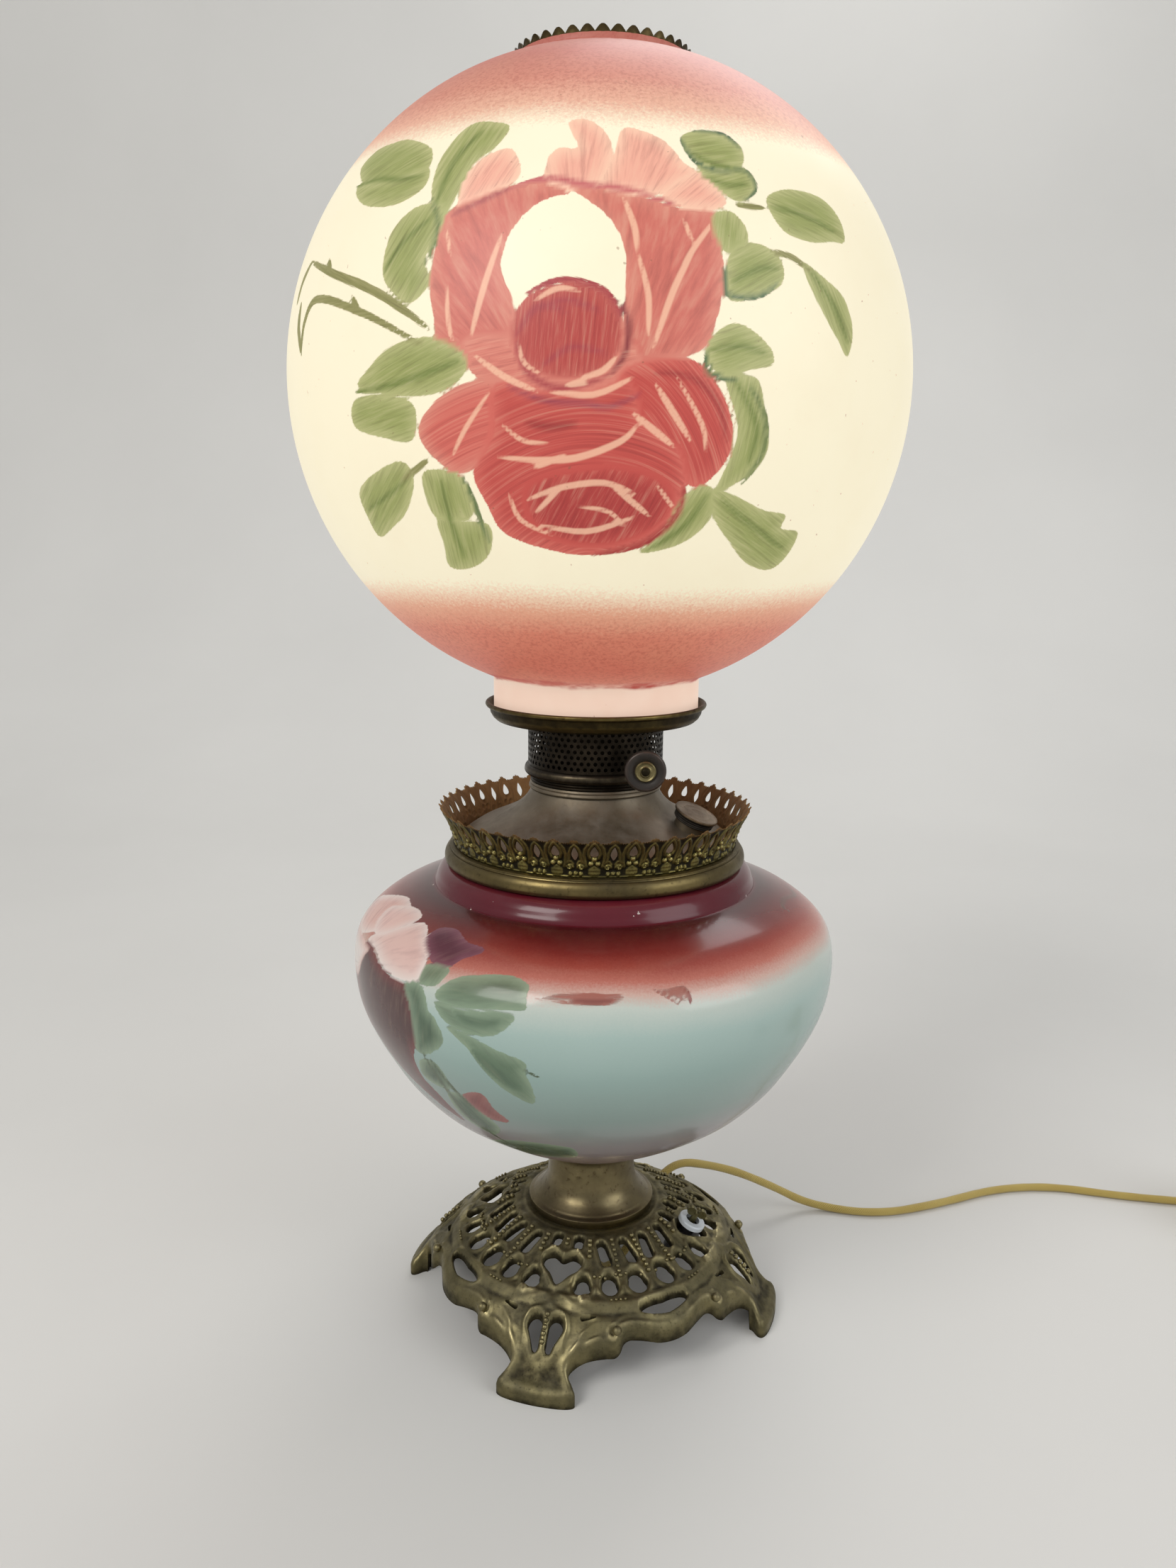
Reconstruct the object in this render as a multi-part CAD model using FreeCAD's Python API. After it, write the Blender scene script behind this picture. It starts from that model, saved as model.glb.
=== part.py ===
import FreeCAD, Part
import math
import os

os.makedirs("parts", exist_ok=True)

V = FreeCAD.Vector
UP = V(0, 0, 1)
CENTRE = V(0, 0, 0)

# Parlor lamp: a painted ball globe over a painted glass vase on a pierced cast base
# Origin on the table under the lamp's axis, +Z up, front along -Y, sizes in millimetres

# Shared clearances
OVERRUN = 2.0            # how far a cutter runs past the face that it cuts
RUN_GAP = 0.05           # radial gap of a running fit
REST_GAP = 0.3           # gap under a piece that is lifted off

# Cast base
BASE_TOP_Z = 52.0
BASE_EDGE_R = 82.5
BASE_TOE_R = 98.5
BASE_WALL = 3.4
BASE_TURN_DEG = -16.7    # the feet stand off the lamp's front by this
BASE_RIM_DROP = 7.0      # depth of the rolled edge between the feet
BASE_RIM_W = 5.5
BASE_HEEL_R = 88.0       # where the toes' solid part begins
TOE_HALF_W = 16.5
FOOT_COUNT = 4
SLOT_PAIRS = 3           # inner slots on each side of a foot's axis
INNER_SLOT_R = (40.5, 50.0)
SHORT_SLOT_R = (39.5, 42.0)
OUTER_SLOT_R = (57.0, 67.0)
INNER_SLOT_W = 4.2
OUTER_SLOT_W = 8.0
EDGE_SLOT_LEN = 25.0
EDGE_SLOT_W = 5.0
EDGE_SLOT_R = 74.0
HEART_R = 53.5
HEART_LEN = 15.5
HEART_W = 16.0
TEAR_R = 80.0
TEAR_LEN = 12.0
TEAR_W = 4.4
TEAR_OFFSET = 4.3

# Lamp pipe and its hardware
PIPE_R = 4.8
PIPE_BORE_R = 3.6
PIPE_LOW_Z = 38.0
NUT_ACROSS = 15.0
NUT_H = 4.5
WASHER_R = 12.0
WASHER_T = 1.2

# Spun stem between base and vase
STEM_H = 34.0
STEM_FOOT_R = 32.3
STEM_BAND_H = 4.3
STEM_WALL = 1.3

# Painted glass vase
VASE_R = 118.2
VASE_H = 153.0
VASE_WALL = 4.0
VASE_HOLE_R = 7.0
VASE_MOUTH_R = 64.0

# Rolled collar on the vase's mouth and the pierced crown on it
COLLAR_R = 72.7
COLLAR_H = 5.5
COLLAR_BORE_R = 66.0
STEP_R = 70.2
STEP_H = 1.7
CROWN_LOW_R = 68.8
CROWN_TOP_R = 76.7
CROWN_H = 19.3
CROWN_WALL = 0.9
CROWN_REPEATS = 26
LANCET_W = 5.0
LANCET_H = 8.0

# Drop-in oil font with its filler
FONT_DOME_H = 26.0
FONT_TANK_R = 60.0
FONT_TANK_H = 78.0
FONT_WALL = 1.0
FONT_FLANGE_T = 1.0
FONT_COLLAR_H = 3.4
FONT_COLLAR_BORE_R = 26.0
FILLER_R = 50.0
FILLER_AZ_DEG = 65.0     # from the front towards the right
FILLER_TILT_DEG = 24.0
FILLER_NECK_R = 8.0
FILLER_NECK_WALL = 1.0
FILLER_NECK_H = 4.6
FILLER_ROOT = 2.6        # how far the neck goes down through the dome
CAP_R = 10.8
CAP_H = 4.8
CAP_TOP_T = 1.2
CAP_RIBS = 36
GASKET_T = 1.0

# Burner
SKIRT_R = 31.6
SKIRT_H = 3.2
BEAD_R = 34.5
BEAD_H = 5.4
BURNER_WALL = 0.9
BASKET_R = 32.8
BASKET_H = 21.0
BASKET_HOLE_R = 1.5
BASKET_ROWS = 4
BASKET_PER_ROW = 30
THROAT_R = 20.5
DRAFT_R = 9.3
DRAFT_WALL = 0.9
DRAFT_TOP_OVER = 9.0     # above the burner's deck
WICK_GAP = 0.5
WICK_T = 2.0
WICK_H = 34.0
CARRIER_WALL = 0.9
CARRIER_H = 26.0
RACK_W = 3.0
RACK_TEETH = 6
PINION_TEETH = 10
GEAR_MODULE = 1.0
TOOTH_TIP = 0.8
TOOTH_ROOT = 1.0
TOOTH_FILL_SHARE = 0.33  # tooth thickness at the pitch line over the pitch
KNOB_X = 22.7
KNOB_OVER_DECK = 4.6     # shaft's height above the deck
KNOB_Y = -43.0
KNOB_R = 9.5
KNOB_T = 4.0
KNOB_BOSS_R = 4.8
KNOB_BOSS_T = 2.0
SHAFT_R = 1.5

# Shade ring
SHADE_RING_R = 53.3
SHADE_BAND_R = 51.2
SHADE_RING_H = 9.3
SHADE_RING_WALL = 0.9
SHADE_HOLE_R = 29.0

# Globe and the toothed ring in its top
GLOBE_R = 139.8
GLOBE_OVER_SEAT = 151.6  # ball's centre above the neck's lower edge
GLASS_WALL = 2.6
GLOBE_NECK_R = 49.2
GLOBE_TOP_R = 38.5
GLOBE_LIP_H = 3.2
TOP_RING_TEETH = 38
TOP_RING_T = 0.9
TOP_RING_OVER = 2.4      # teeth above the glass lip
TOP_RING_DEPTH = 6.0

# Socket and bulb
SOCKET_SEAT_H = 4.0      # socket's underside above the shade ring's floor
SOCKET_R = 17.6
SOCKET_CAP_H = 11.0
SOCKET_SHELL_H = 31.0
SOCKET_WALL = 0.7
LINER_T = 0.8
CORE_H = 14.0
SCREW_R = 13.1
SCREW_T = 0.5
SCREW_H = 22.0
SCREW_CLEAR = 0.25
BULB_BASE_H = 24.0
BULB_R = 24.0
BULB_H = 64.0
BULB_GLASS_T = 1.0

# Turn switch in the base
SWITCH_R_OUT = 53.8
SWITCH_TILT_DEG = 25.0
SWITCH_BODY_R = 7.0
SWITCH_BODY_H = 13.0
SWITCH_STEM_R = 1.7
BEZEL_R = 7.0
BEZEL_BORE_R = 3.7
BEZEL_H = 2.6
KEY_LOBE_R = 2.3
KEY_SPREAD = 2.9
KEY_T = 2.2
KEY_OVER = 4.6           # lobes' height above the white bezel

# Supply cord
CORD_R = 2.25
TAIL_LEAD = 32.0
COIL_R = 25.0
COIL_TURNS = 7
COIL_PITCH = 5.1
PLUG_R = 11.0
PLUG_LEN = 26.0
BLADE_GAP = 12.7
BLADE_LEN = 16.0
BLADE_W = 6.4
BLADE_T = 1.5

# Heights that follow from the pieces under them
STEM_TOP_Z = BASE_TOP_Z + STEM_H
VASE_TOP_Z = STEM_TOP_Z + VASE_H
COLLAR_TOP_Z = VASE_TOP_Z + COLLAR_H
STEP_TOP_Z = COLLAR_TOP_Z + STEP_H
FONT_TOP_Z = STEP_TOP_Z + FONT_FLANGE_T + FONT_DOME_H
SKIRT_Z = FONT_TOP_Z + FONT_COLLAR_H
BEAD_Z = SKIRT_Z + SKIRT_H
DECK_Z = BEAD_Z + BEAD_H
SHADE_Z = DECK_Z + BASKET_H
SHADE_FLOOR_Z = SHADE_Z + SHADE_RING_WALL
SHADE_TOP_Z = SHADE_Z + SHADE_RING_H
GLOBE_LOW_Z = SHADE_FLOOR_Z + REST_GAP
GLOBE_Z = GLOBE_LOW_Z + GLOBE_OVER_SEAT
SOCKET_Z = SHADE_FLOOR_Z + SOCKET_SEAT_H
SHELL_Z = SOCKET_Z + SOCKET_CAP_H
SHELL_TOP_Z = SHELL_Z + SOCKET_SHELL_H
KNOB_Z = DECK_Z + KNOB_OVER_DECK


# Shape helpers

def ring(inner, outer, low, high):
    """A plain ring about the lamp's axis."""
    body = Part.makeCylinder(outer, high - low, V(0, 0, low))
    if inner > 0:
        body = body.cut(Part.makeCylinder(inner, high - low + 2 * OVERRUN, V(0, 0, low - OVERRUN)))
    return body


def smooth(points):
    """One smooth edge through the points."""
    curve = Part.BSplineCurve()
    curve.interpolate(points)
    return curve.toShape()


def section(points):
    """Radius and height pairs as points of the turning section."""
    return [V(radius, 0, height) for radius, height in points]


def turned(edges):
    """A solid of revolution from a closed outline in the XZ plane."""
    face = Part.Face(Part.Wire(edges))
    solid = face.revolve(CENTRE, UP, 360)
    if solid.Volume < 0:
        solid.reverse()
    return solid


def turned_polygon(points):
    """A turned solid whose outline is straight from point to point."""
    return turned(Part.makePolygon(section(points + points[:1])).Edges)


def inside_of(points, wall):
    """The same outline moved to its left by the wall."""
    moved = []
    last = len(points) - 1
    for index, point in enumerate(points):
        along = points[min(index + 1, last)] - points[max(index - 1, 0)]
        along.normalize()
        moved.append(point + V(-along.z, 0, along.x) * wall)
    return moved


def spun(pairs, wall):
    """A spun shell: the outer outline from low to high, and its inside."""
    outer = section(pairs)
    inner = inside_of(outer, wall)
    return turned([
        smooth(outer),
        Part.makeLine(outer[-1], inner[-1]),
        smooth(inner[::-1]),
        Part.makeLine(inner[0], outer[0]),
    ])


def shared(pairs, across, height, low):
    """Pairs of shares as radius and height."""
    return [(across * radius, low + height * rise) for radius, rise in pairs]


def spin(shape, degrees):
    """A copy turned about the lamp's axis."""
    copy = shape.copy()
    copy.rotate(CENTRE, UP, degrees)
    return copy


def spun_copies(shape, count, start_deg=0.0):
    """Copies of a shape at equal steps round the axis."""
    return [spin(shape, start_deg + 360.0 * index / count) for index in range(count)]


def upright(outline, low, high):
    """A prism over a closed outline in the XY plane."""
    face = Part.Face(Part.Wire(outline))
    face.translate(V(0, 0, low - face.BoundBox.ZMin))
    return face.extrude(V(0, 0, high - low))


def stadium(start, end, width, low, high):
    """An upright cutter with round ends along a line in plan."""
    along = end - start
    side = V(-along.y, along.x, 0)
    side.normalize()
    side = side * (width / 2)
    tip = V(along)
    tip.normalize()
    tip = tip * (width / 2)
    edges = [
        Part.makeLine(start + side, end + side),
        Part.Arc(end + side, end + tip, end - side).toShape(),
        Part.makeLine(end - side, start - side),
        Part.Arc(start - side, start - tip, start + side).toShape(),
    ]
    return upright(edges, low, high)


def along_z(shape, origin, direction):
    """A piece made about +Z from zero, put at a place along a direction."""
    placed = shape.copy()
    placed.Placement = FreeCAD.Placement(origin, FreeCAD.Rotation(UP, direction))
    return placed


def hexagon(across, height, low, bore):
    """A hexagon nut about the lamp's axis."""
    corner = across / math.sqrt(3)
    points = []
    for index in range(7):
        turn = math.radians(60 * index)
        points.append(V(corner * math.cos(turn), corner * math.sin(turn), 0))
    body = upright(Part.makePolygon(points).Edges, low, low + height)
    return body.cut(Part.makeCylinder(bore, height + 2 * OVERRUN, V(0, 0, low - OVERRUN)))


def polar(radius, degrees):
    """A point in plan at an angle from the X axis."""
    turn = math.radians(degrees)
    return V(radius * math.cos(turn), radius * math.sin(turn), 0)


NODES = {}


def node(name, shape):
    """Keep one sub-part under its name."""
    NODES[name] = shape


# Cast base: a pierced dome clipped to its scrolled outline, on four toes

# Top surface from the plate to the toe: share of the toe's radius, share of the top's height
BASE_TOP_SHARES = [(0.386, 1.0), (0.46, 0.955), (0.54, 0.9), (0.63, 0.815), (0.72, 0.705),
                   (0.80, 0.585), (0.86, 0.455), (0.92, 0.315), (0.97, 0.17), (1.0, 0.06)]
# Half of one quarter's outline from the mid-side to the toe: degrees from the foot, share of edge
BASE_SIDE_SHARES = [(45.0, 1.0), (40.0, 0.985), (35.0, 0.945), (31.0, 0.95), (28.0, 0.985),
                    (24.5, 1.03), (21.0, 1.035), (18.0, 1.0)]
# The foot past the scroll: share of the toe's radius, share of the toe's half width
TOE_SHARES = [(0.80, 1.18), (0.835, 0.9), (0.87, 0.78), (0.905, 0.84), (0.94, 0.99), (0.975, 0.97),
              (0.992, 0.62)]
# Outer slots: share of the inner slots' step, from the foot's axis
OUTER_TURN_SHARES = (0.78, 1.64, 2.5)
# Half of the heart from its notch to its point: share of its length, share of its width
HEART_SHARES = [(-0.30, 0.0), (-0.46, 0.24), (-0.36, 0.47), (-0.08, 0.46), (0.20, 0.22), (0.54, 0.0)]


def base_outline():
    """The scrolled plan of the casting, four feet alike."""
    half = [polar(BASE_EDGE_R * reach, degrees) for degrees, reach in BASE_SIDE_SHARES]
    half += [V(BASE_TOE_R * reach, TOE_HALF_W * side, 0) for reach, side in TOE_SHARES]
    foot = half[1:] + [V(BASE_TOE_R, 0, 0)] + [V(p.x, -p.y, 0) for p in reversed(half)]
    points = []
    for index in range(FOOT_COUNT):
        turn = FreeCAD.Rotation(UP, -360.0 * index / FOOT_COUNT)
        points += [turn.multVec(point) for point in foot]
    curve = Part.BSplineCurve()
    curve.interpolate(points, PeriodicFlag=True)
    return curve.toShape()


def dome_height(radius):
    """The casting's top surface at a radius."""
    pairs = shared(BASE_TOP_SHARES, BASE_TOE_R, BASE_TOP_Z, 0)
    for (r_in, z_in), (r_out, z_out) in zip(pairs, pairs[1:]):
        if r_in <= radius <= r_out:
            return z_in + (z_out - z_in) * (radius - r_in) / (r_out - r_in)
    return BASE_TOP_Z


def base_dome():
    """The domed casting before it is clipped and pierced."""
    top = section(shared(BASE_TOP_SHARES, BASE_TOE_R, BASE_TOP_Z, 0))
    rim_in = BASE_EDGE_R - BASE_RIM_W
    rim_z = dome_height(BASE_EDGE_R) - BASE_RIM_DROP
    under = [point for point in inside_of(top, -BASE_WALL) if point.x < rim_in]
    bore = PIPE_R + REST_GAP
    edges = [Part.makeLine(V(bore, 0, BASE_TOP_Z), top[0]), smooth(top)]
    edges += Part.makePolygon([
        top[-1],
        V(BASE_TOE_R, 0, 0),
        V(BASE_HEEL_R + BASE_WALL, 0, 0),
        V(BASE_HEEL_R, 0, rim_z),
        V(rim_in + BASE_WALL / 2, 0, rim_z),
        V(rim_in, 0, rim_z + BASE_WALL),
        under[-1],
    ]).Edges
    edges.append(smooth(under[::-1]))
    edges += Part.makePolygon([
        under[0],
        V(bore, 0, BASE_TOP_Z - BASE_WALL),
        V(bore, 0, BASE_TOP_Z),
    ]).Edges
    return turned(edges)


def heart():
    """A heart-shaped cutter on the foot's axis, its point outwards."""
    side = [V(HEART_R + HEART_LEN * out, HEART_W * across, 0) for out, across in HEART_SHARES]
    edges = []
    edges.append(smooth(side))
    edges.append(smooth([V(p.x, -p.y, 0) for p in reversed(side)]))
    return upright(edges, 0, BASE_TOP_Z + OVERRUN)


def quarter_cutters():
    """Every opening that belongs to one foot, about the X axis."""
    low = 0
    high = BASE_TOP_Z + OVERRUN
    step = 90.0 / (2 * SLOT_PAIRS)
    cutters = [heart()]
    for side in (-1, 1):
        for index in range(SLOT_PAIRS):
            turn = side * step * (index + 0.5)
            near, far = SHORT_SLOT_R if index == 0 else INNER_SLOT_R
            cutters.append(stadium(polar(near, turn), polar(far, turn), INNER_SLOT_W, low, high))
            near, far = OUTER_SLOT_R
            reach = OUTER_SLOT_W / 2
            spread = side * step * OUTER_TURN_SHARES[index]
            cutters.append(stadium(polar(near + reach, spread), polar(far - reach, spread),
                                   OUTER_SLOT_W, low, high))
        tear_near = V(TEAR_R - TEAR_LEN / 2 + TEAR_W / 2, side * TEAR_OFFSET * 1.1, 0)
        tear_far = V(TEAR_R + TEAR_LEN / 2 - TEAR_W / 2, side * TEAR_OFFSET * 0.8, 0)
        cutters.append(stadium(tear_near, tear_far, TEAR_W, low, high))
    middle = polar(EDGE_SLOT_R, 45)
    tangent = polar(EDGE_SLOT_LEN / 2 - EDGE_SLOT_W / 2, 135)
    cutters.append(stadium(middle - tangent, middle + tangent, EDGE_SLOT_W, low, high))
    return cutters


def cast_base():
    """The pierced casting on its four feet."""
    stock = upright([base_outline()], 0, BASE_TOP_Z + OVERRUN)
    body = base_dome().common(stock)
    cutters = []
    for index in range(FOOT_COUNT):
        cutters += [spin(cutter, 360.0 * index / FOOT_COUNT) for cutter in quarter_cutters()]
    body = body.cut(Part.makeCompound(cutters))
    solids = sorted(body.Solids, key=lambda solid: solid.Volume)
    return spin(solids[-1], BASE_TURN_DEG)


node("cast_base", cast_base())

# Pipe through the whole lamp, clamping it together
pipe_top = SOCKET_Z + NUT_H + WASHER_T + OVERRUN
node("lamp_pipe", ring(PIPE_BORE_R, PIPE_R, PIPE_LOW_Z, pipe_top))
plate_under = BASE_TOP_Z - BASE_WALL
pipe_fit = PIPE_R + RUN_GAP
node("base_washer", ring(pipe_fit, WASHER_R, plate_under - WASHER_T, plate_under))
node("base_nut", hexagon(NUT_ACROSS, NUT_H, plate_under - WASHER_T - NUT_H, pipe_fit))
bushing = ring(CORD_R + REST_GAP, PIPE_BORE_R - RUN_GAP, PIPE_LOW_Z, PIPE_LOW_Z + NUT_H)
bushing_lip = ring(CORD_R + REST_GAP, PIPE_R, PIPE_LOW_Z - WASHER_T, PIPE_LOW_Z)
node("cord_bushing", bushing.fuse(bushing_lip))

# Spun stem: share of the foot's radius, share of the stem's height above the foot's band
STEM_SHARES = [(0.905, 0.0), (0.86, 0.045), (0.79, 0.13), (0.735, 0.24), (0.703, 0.36), (0.69, 0.52),
               (0.693, 0.76), (0.71, 0.88), (0.745, 1.0)]


def stem():
    """The waisted stem with its stepped foot and its closed top."""
    band_top = BASE_TOP_Z + STEM_BAND_H
    waist_low = band_top + STEM_WALL
    outer = section(shared(STEM_SHARES, STEM_FOOT_R, STEM_TOP_Z - waist_low, waist_low))
    inner = inside_of(outer, STEM_WALL)
    inner[-1] = V(inner[-1].x, 0, STEM_TOP_Z - STEM_WALL)
    bore = PIPE_R + REST_GAP
    inner_foot = STEM_FOOT_R - STEM_WALL
    edges = Part.makePolygon([
        V(STEM_FOOT_R, 0, BASE_TOP_Z),
        V(STEM_FOOT_R, 0, band_top),
        outer[0],
    ]).Edges
    edges.append(smooth(outer))
    edges += Part.makePolygon([
        outer[-1],
        V(bore, 0, STEM_TOP_Z),
        V(bore, 0, STEM_TOP_Z - STEM_WALL),
        inner[-1],
    ]).Edges
    edges.append(smooth(inner[::-1]))
    edges += Part.makePolygon([
        inner[0],
        V(inner_foot, 0, band_top - STEM_WALL),
        V(inner_foot, 0, BASE_TOP_Z),
        V(STEM_FOOT_R, 0, BASE_TOP_Z),
    ]).Edges
    return turned(edges)


node("stem", stem())

# Vase: share of the greatest radius, share of the height
VASE_SHARES = [(0.2, 0.0), (0.262, 0.012), (0.34, 0.042), (0.406, 0.072), (0.508, 0.118),
               (0.609, 0.17), (0.694, 0.219), (0.761, 0.271), (0.82, 0.326), (0.874, 0.392),
               (0.922, 0.457), (0.962, 0.523), (0.988, 0.588), (1.0, 0.667), (0.9965, 0.732),
               (0.975, 0.784), (0.926, 0.828), (0.855, 0.868), (0.783, 0.894), (0.72, 0.912),
               (0.668, 0.9235)]
# The bulged ring at the vase's neck, from the crease up to the mouth's flat rim
VASE_NECK_SHARES = [(0.668, 0.9235), (0.6585, 0.948), (0.646, 0.974), (0.622, 0.993),
                    (0.5965, 1.0)]


def vase():
    """The blown glass bowl with its bulged neck and open mouth."""
    outer = section(shared(VASE_SHARES, VASE_R, VASE_H, STEM_TOP_Z))
    neck = section(shared(VASE_NECK_SHARES, VASE_R, VASE_H, STEM_TOP_Z))
    inner = inside_of(outer, VASE_WALL)
    mouth_low = V(VASE_MOUTH_R, 0, VASE_TOP_Z - VASE_WALL)
    bulge = neck[1] - V(VASE_WALL, 0, 0)
    mouth_top = V(VASE_MOUTH_R, 0, VASE_TOP_Z)
    hole_low = V(VASE_HOLE_R, 0, STEM_TOP_Z)
    hole_top = V(VASE_HOLE_R, 0, STEM_TOP_Z + VASE_WALL)
    return turned([
        Part.makeLine(hole_low, outer[0]),
        smooth(outer),
        smooth(neck),
        Part.makeLine(neck[-1], mouth_top),
        Part.makeLine(mouth_top, mouth_low),
        Part.makeLine(mouth_low, bulge),
        Part.makeLine(bulge, inner[-1]),
        smooth(inner[::-1]),
        Part.makeLine(inner[0], hole_top),
        Part.makeLine(hole_top, hole_low),
    ])


node("vase", vase())


# Rolled collar with its step
def collar():
    """The half-round brass ring over the vase's mouth."""
    flat_r = VASE_NECK_SHARES[-1][0] * VASE_R
    low = VASE_TOP_Z
    crest = V(COLLAR_R, 0, low + COLLAR_H * 0.45)
    shoulder = V(STEP_R + (COLLAR_R - STEP_R) * 0.35, 0, COLLAR_TOP_Z)
    start = V(flat_r, 0, low)
    points = [
        shoulder,
        V(STEP_R, 0, COLLAR_TOP_Z),
        V(STEP_R, 0, STEP_TOP_Z),
        V(COLLAR_BORE_R, 0, STEP_TOP_Z),
        V(COLLAR_BORE_R, 0, low),
        start,
    ]
    edges = [Part.Arc(start, crest, shoulder).toShape()]
    edges += Part.makePolygon(points).Edges
    return turned(edges)


node("collar_ring", collar())


# Pierced crown
def lancet(foot_z, height, width):
    """A pointed opening cut outwards through the band, on the X axis."""
    half = width / 2
    spring = foot_z + height * 0.55
    near = CROWN_LOW_R * 0.9
    points = [V(near, -half * 0.6, foot_z), V(near, half * 0.6, foot_z), V(near, half, spring)]
    tip = V(near, 0, foot_z + height)
    left = V(near, -half, spring)
    bend = V(near, half * 0.7, foot_z + height * 0.82)
    bend_left = V(near, -half * 0.7, foot_z + height * 0.82)
    edges = Part.makePolygon(points).Edges
    edges.append(Part.Arc(points[-1], bend, tip).toShape())
    edges.append(Part.Arc(tip, bend_left, left).toShape())
    edges.append(Part.makeLine(left, points[0]))
    return Part.Face(Part.Wire(edges)).extrude(V(CROWN_TOP_R * 0.4, 0, 0))


def crown():
    """The flared gallery band: pointed openings below a toothed edge."""
    lean = (CROWN_TOP_R - CROWN_LOW_R) / CROWN_H
    wall = CROWN_WALL * math.sqrt(1 + lean * lean)
    top_z = STEP_TOP_Z + CROWN_H
    band = turned_polygon([
        (CROWN_LOW_R, STEP_TOP_Z),
        (CROWN_TOP_R, top_z),
        (CROWN_TOP_R - wall, top_z),
        (CROWN_LOW_R - wall, STEP_TOP_Z),
    ])
    window = lancet(STEP_TOP_Z + CROWN_H * 0.36, LANCET_H, LANCET_W)
    notch_w = 2 * math.pi * CROWN_TOP_R / CROWN_REPEATS / 2
    near = CROWN_LOW_R * 0.9
    notch = Part.Face(Part.makePolygon([
        V(near, -notch_w / 2, top_z + OVERRUN),
        V(near, notch_w / 2, top_z + OVERRUN),
        V(near, 0, top_z - CROWN_H * 0.2),
        V(near, -notch_w / 2, top_z + OVERRUN),
    ])).extrude(V(CROWN_TOP_R * 0.4, 0, 0))
    cutters = spun_copies(window, CROWN_REPEATS)
    cutters += spun_copies(notch, CROWN_REPEATS)
    cutters += spun_copies(notch, CROWN_REPEATS, 180.0 / CROWN_REPEATS)
    return band.cut(Part.makeCompound(cutters)).Solids[0]


node("crown_gallery", crown())

# Font: dome from its flange to its mouth, share of the flange's radius, share of the dome's height
FONT_DOME_SHARES = [(0.985, 0.0), (0.957, 0.1), (0.861, 0.269), (0.786, 0.36), (0.683, 0.48),
                    (0.582, 0.618), (0.505, 0.8), (0.457, 1.0)]
font_flange_r = CROWN_LOW_R - CROWN_WALL * 1.2 - REST_GAP


def filler_axis():
    """Where the filler neck stands on the dome, and which way it points."""
    azimuth = math.radians(FILLER_AZ_DEG)
    tilt = math.radians(FILLER_TILT_DEG)
    out = V(math.sin(azimuth), -math.cos(azimuth), 0)
    pairs = shared(FONT_DOME_SHARES, font_flange_r, FONT_DOME_H, STEP_TOP_Z + FONT_FLANGE_T)
    height = 0
    for (r_out, z_low), (r_in, z_high) in zip(pairs, pairs[1:]):
        if r_in <= FILLER_R <= r_out:
            height = z_low + (z_high - z_low) * (r_out - FILLER_R) / (r_out - r_in)
    foot = V(out.x * FILLER_R, out.y * FILLER_R, height)
    way = V(out.x * math.sin(tilt), out.y * math.sin(tilt), math.cos(tilt))
    return foot, way


filler_foot, filler_way = filler_axis()


def font():
    """The drop-in oil font: a peaked dome over a round tank."""
    flange_top = STEP_TOP_Z + FONT_FLANGE_T
    dome = section(shared(FONT_DOME_SHARES, font_flange_r, FONT_DOME_H, flange_top))
    under = inside_of(dome[1:], FONT_WALL)
    low = STEP_TOP_Z - FONT_TANK_H
    bore = DRAFT_R + REST_GAP
    heel = FONT_WALL * 5
    inner_r = FONT_TANK_R - FONT_WALL
    edges = Part.makePolygon([
        V(bore, 0, low),
        V(FONT_TANK_R - heel, 0, low),
        V(FONT_TANK_R, 0, low + heel),
        V(FONT_TANK_R, 0, STEP_TOP_Z),
        V(font_flange_r, 0, STEP_TOP_Z),
        V(font_flange_r, 0, flange_top),
        dome[0],
    ]).Edges
    edges.append(smooth(dome))
    edges.append(Part.makeLine(dome[-1], under[-1]))
    edges.append(smooth(under[::-1]))
    edges += Part.makePolygon([
        under[0],
        V(inner_r, 0, STEP_TOP_Z),
        V(inner_r, 0, low + heel),
        V(inner_r - heel + FONT_WALL / 2, 0, low + FONT_WALL),
        V(bore, 0, low + FONT_WALL),
        V(bore, 0, low),
    ]).Edges
    body = turned(edges)
    drill = Part.makeCylinder(FILLER_NECK_R, 2 * FILLER_ROOT + FILLER_NECK_H)
    return body.cut(along_z(drill, filler_foot - filler_way * (FILLER_ROOT * 2), filler_way))


node("font", font())

# Threaded ring in the font's mouth
mouth_ring = ring(FONT_COLLAR_BORE_R, SKIRT_R, FONT_TOP_Z, SKIRT_Z)
node("font_collar", mouth_ring)


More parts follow.
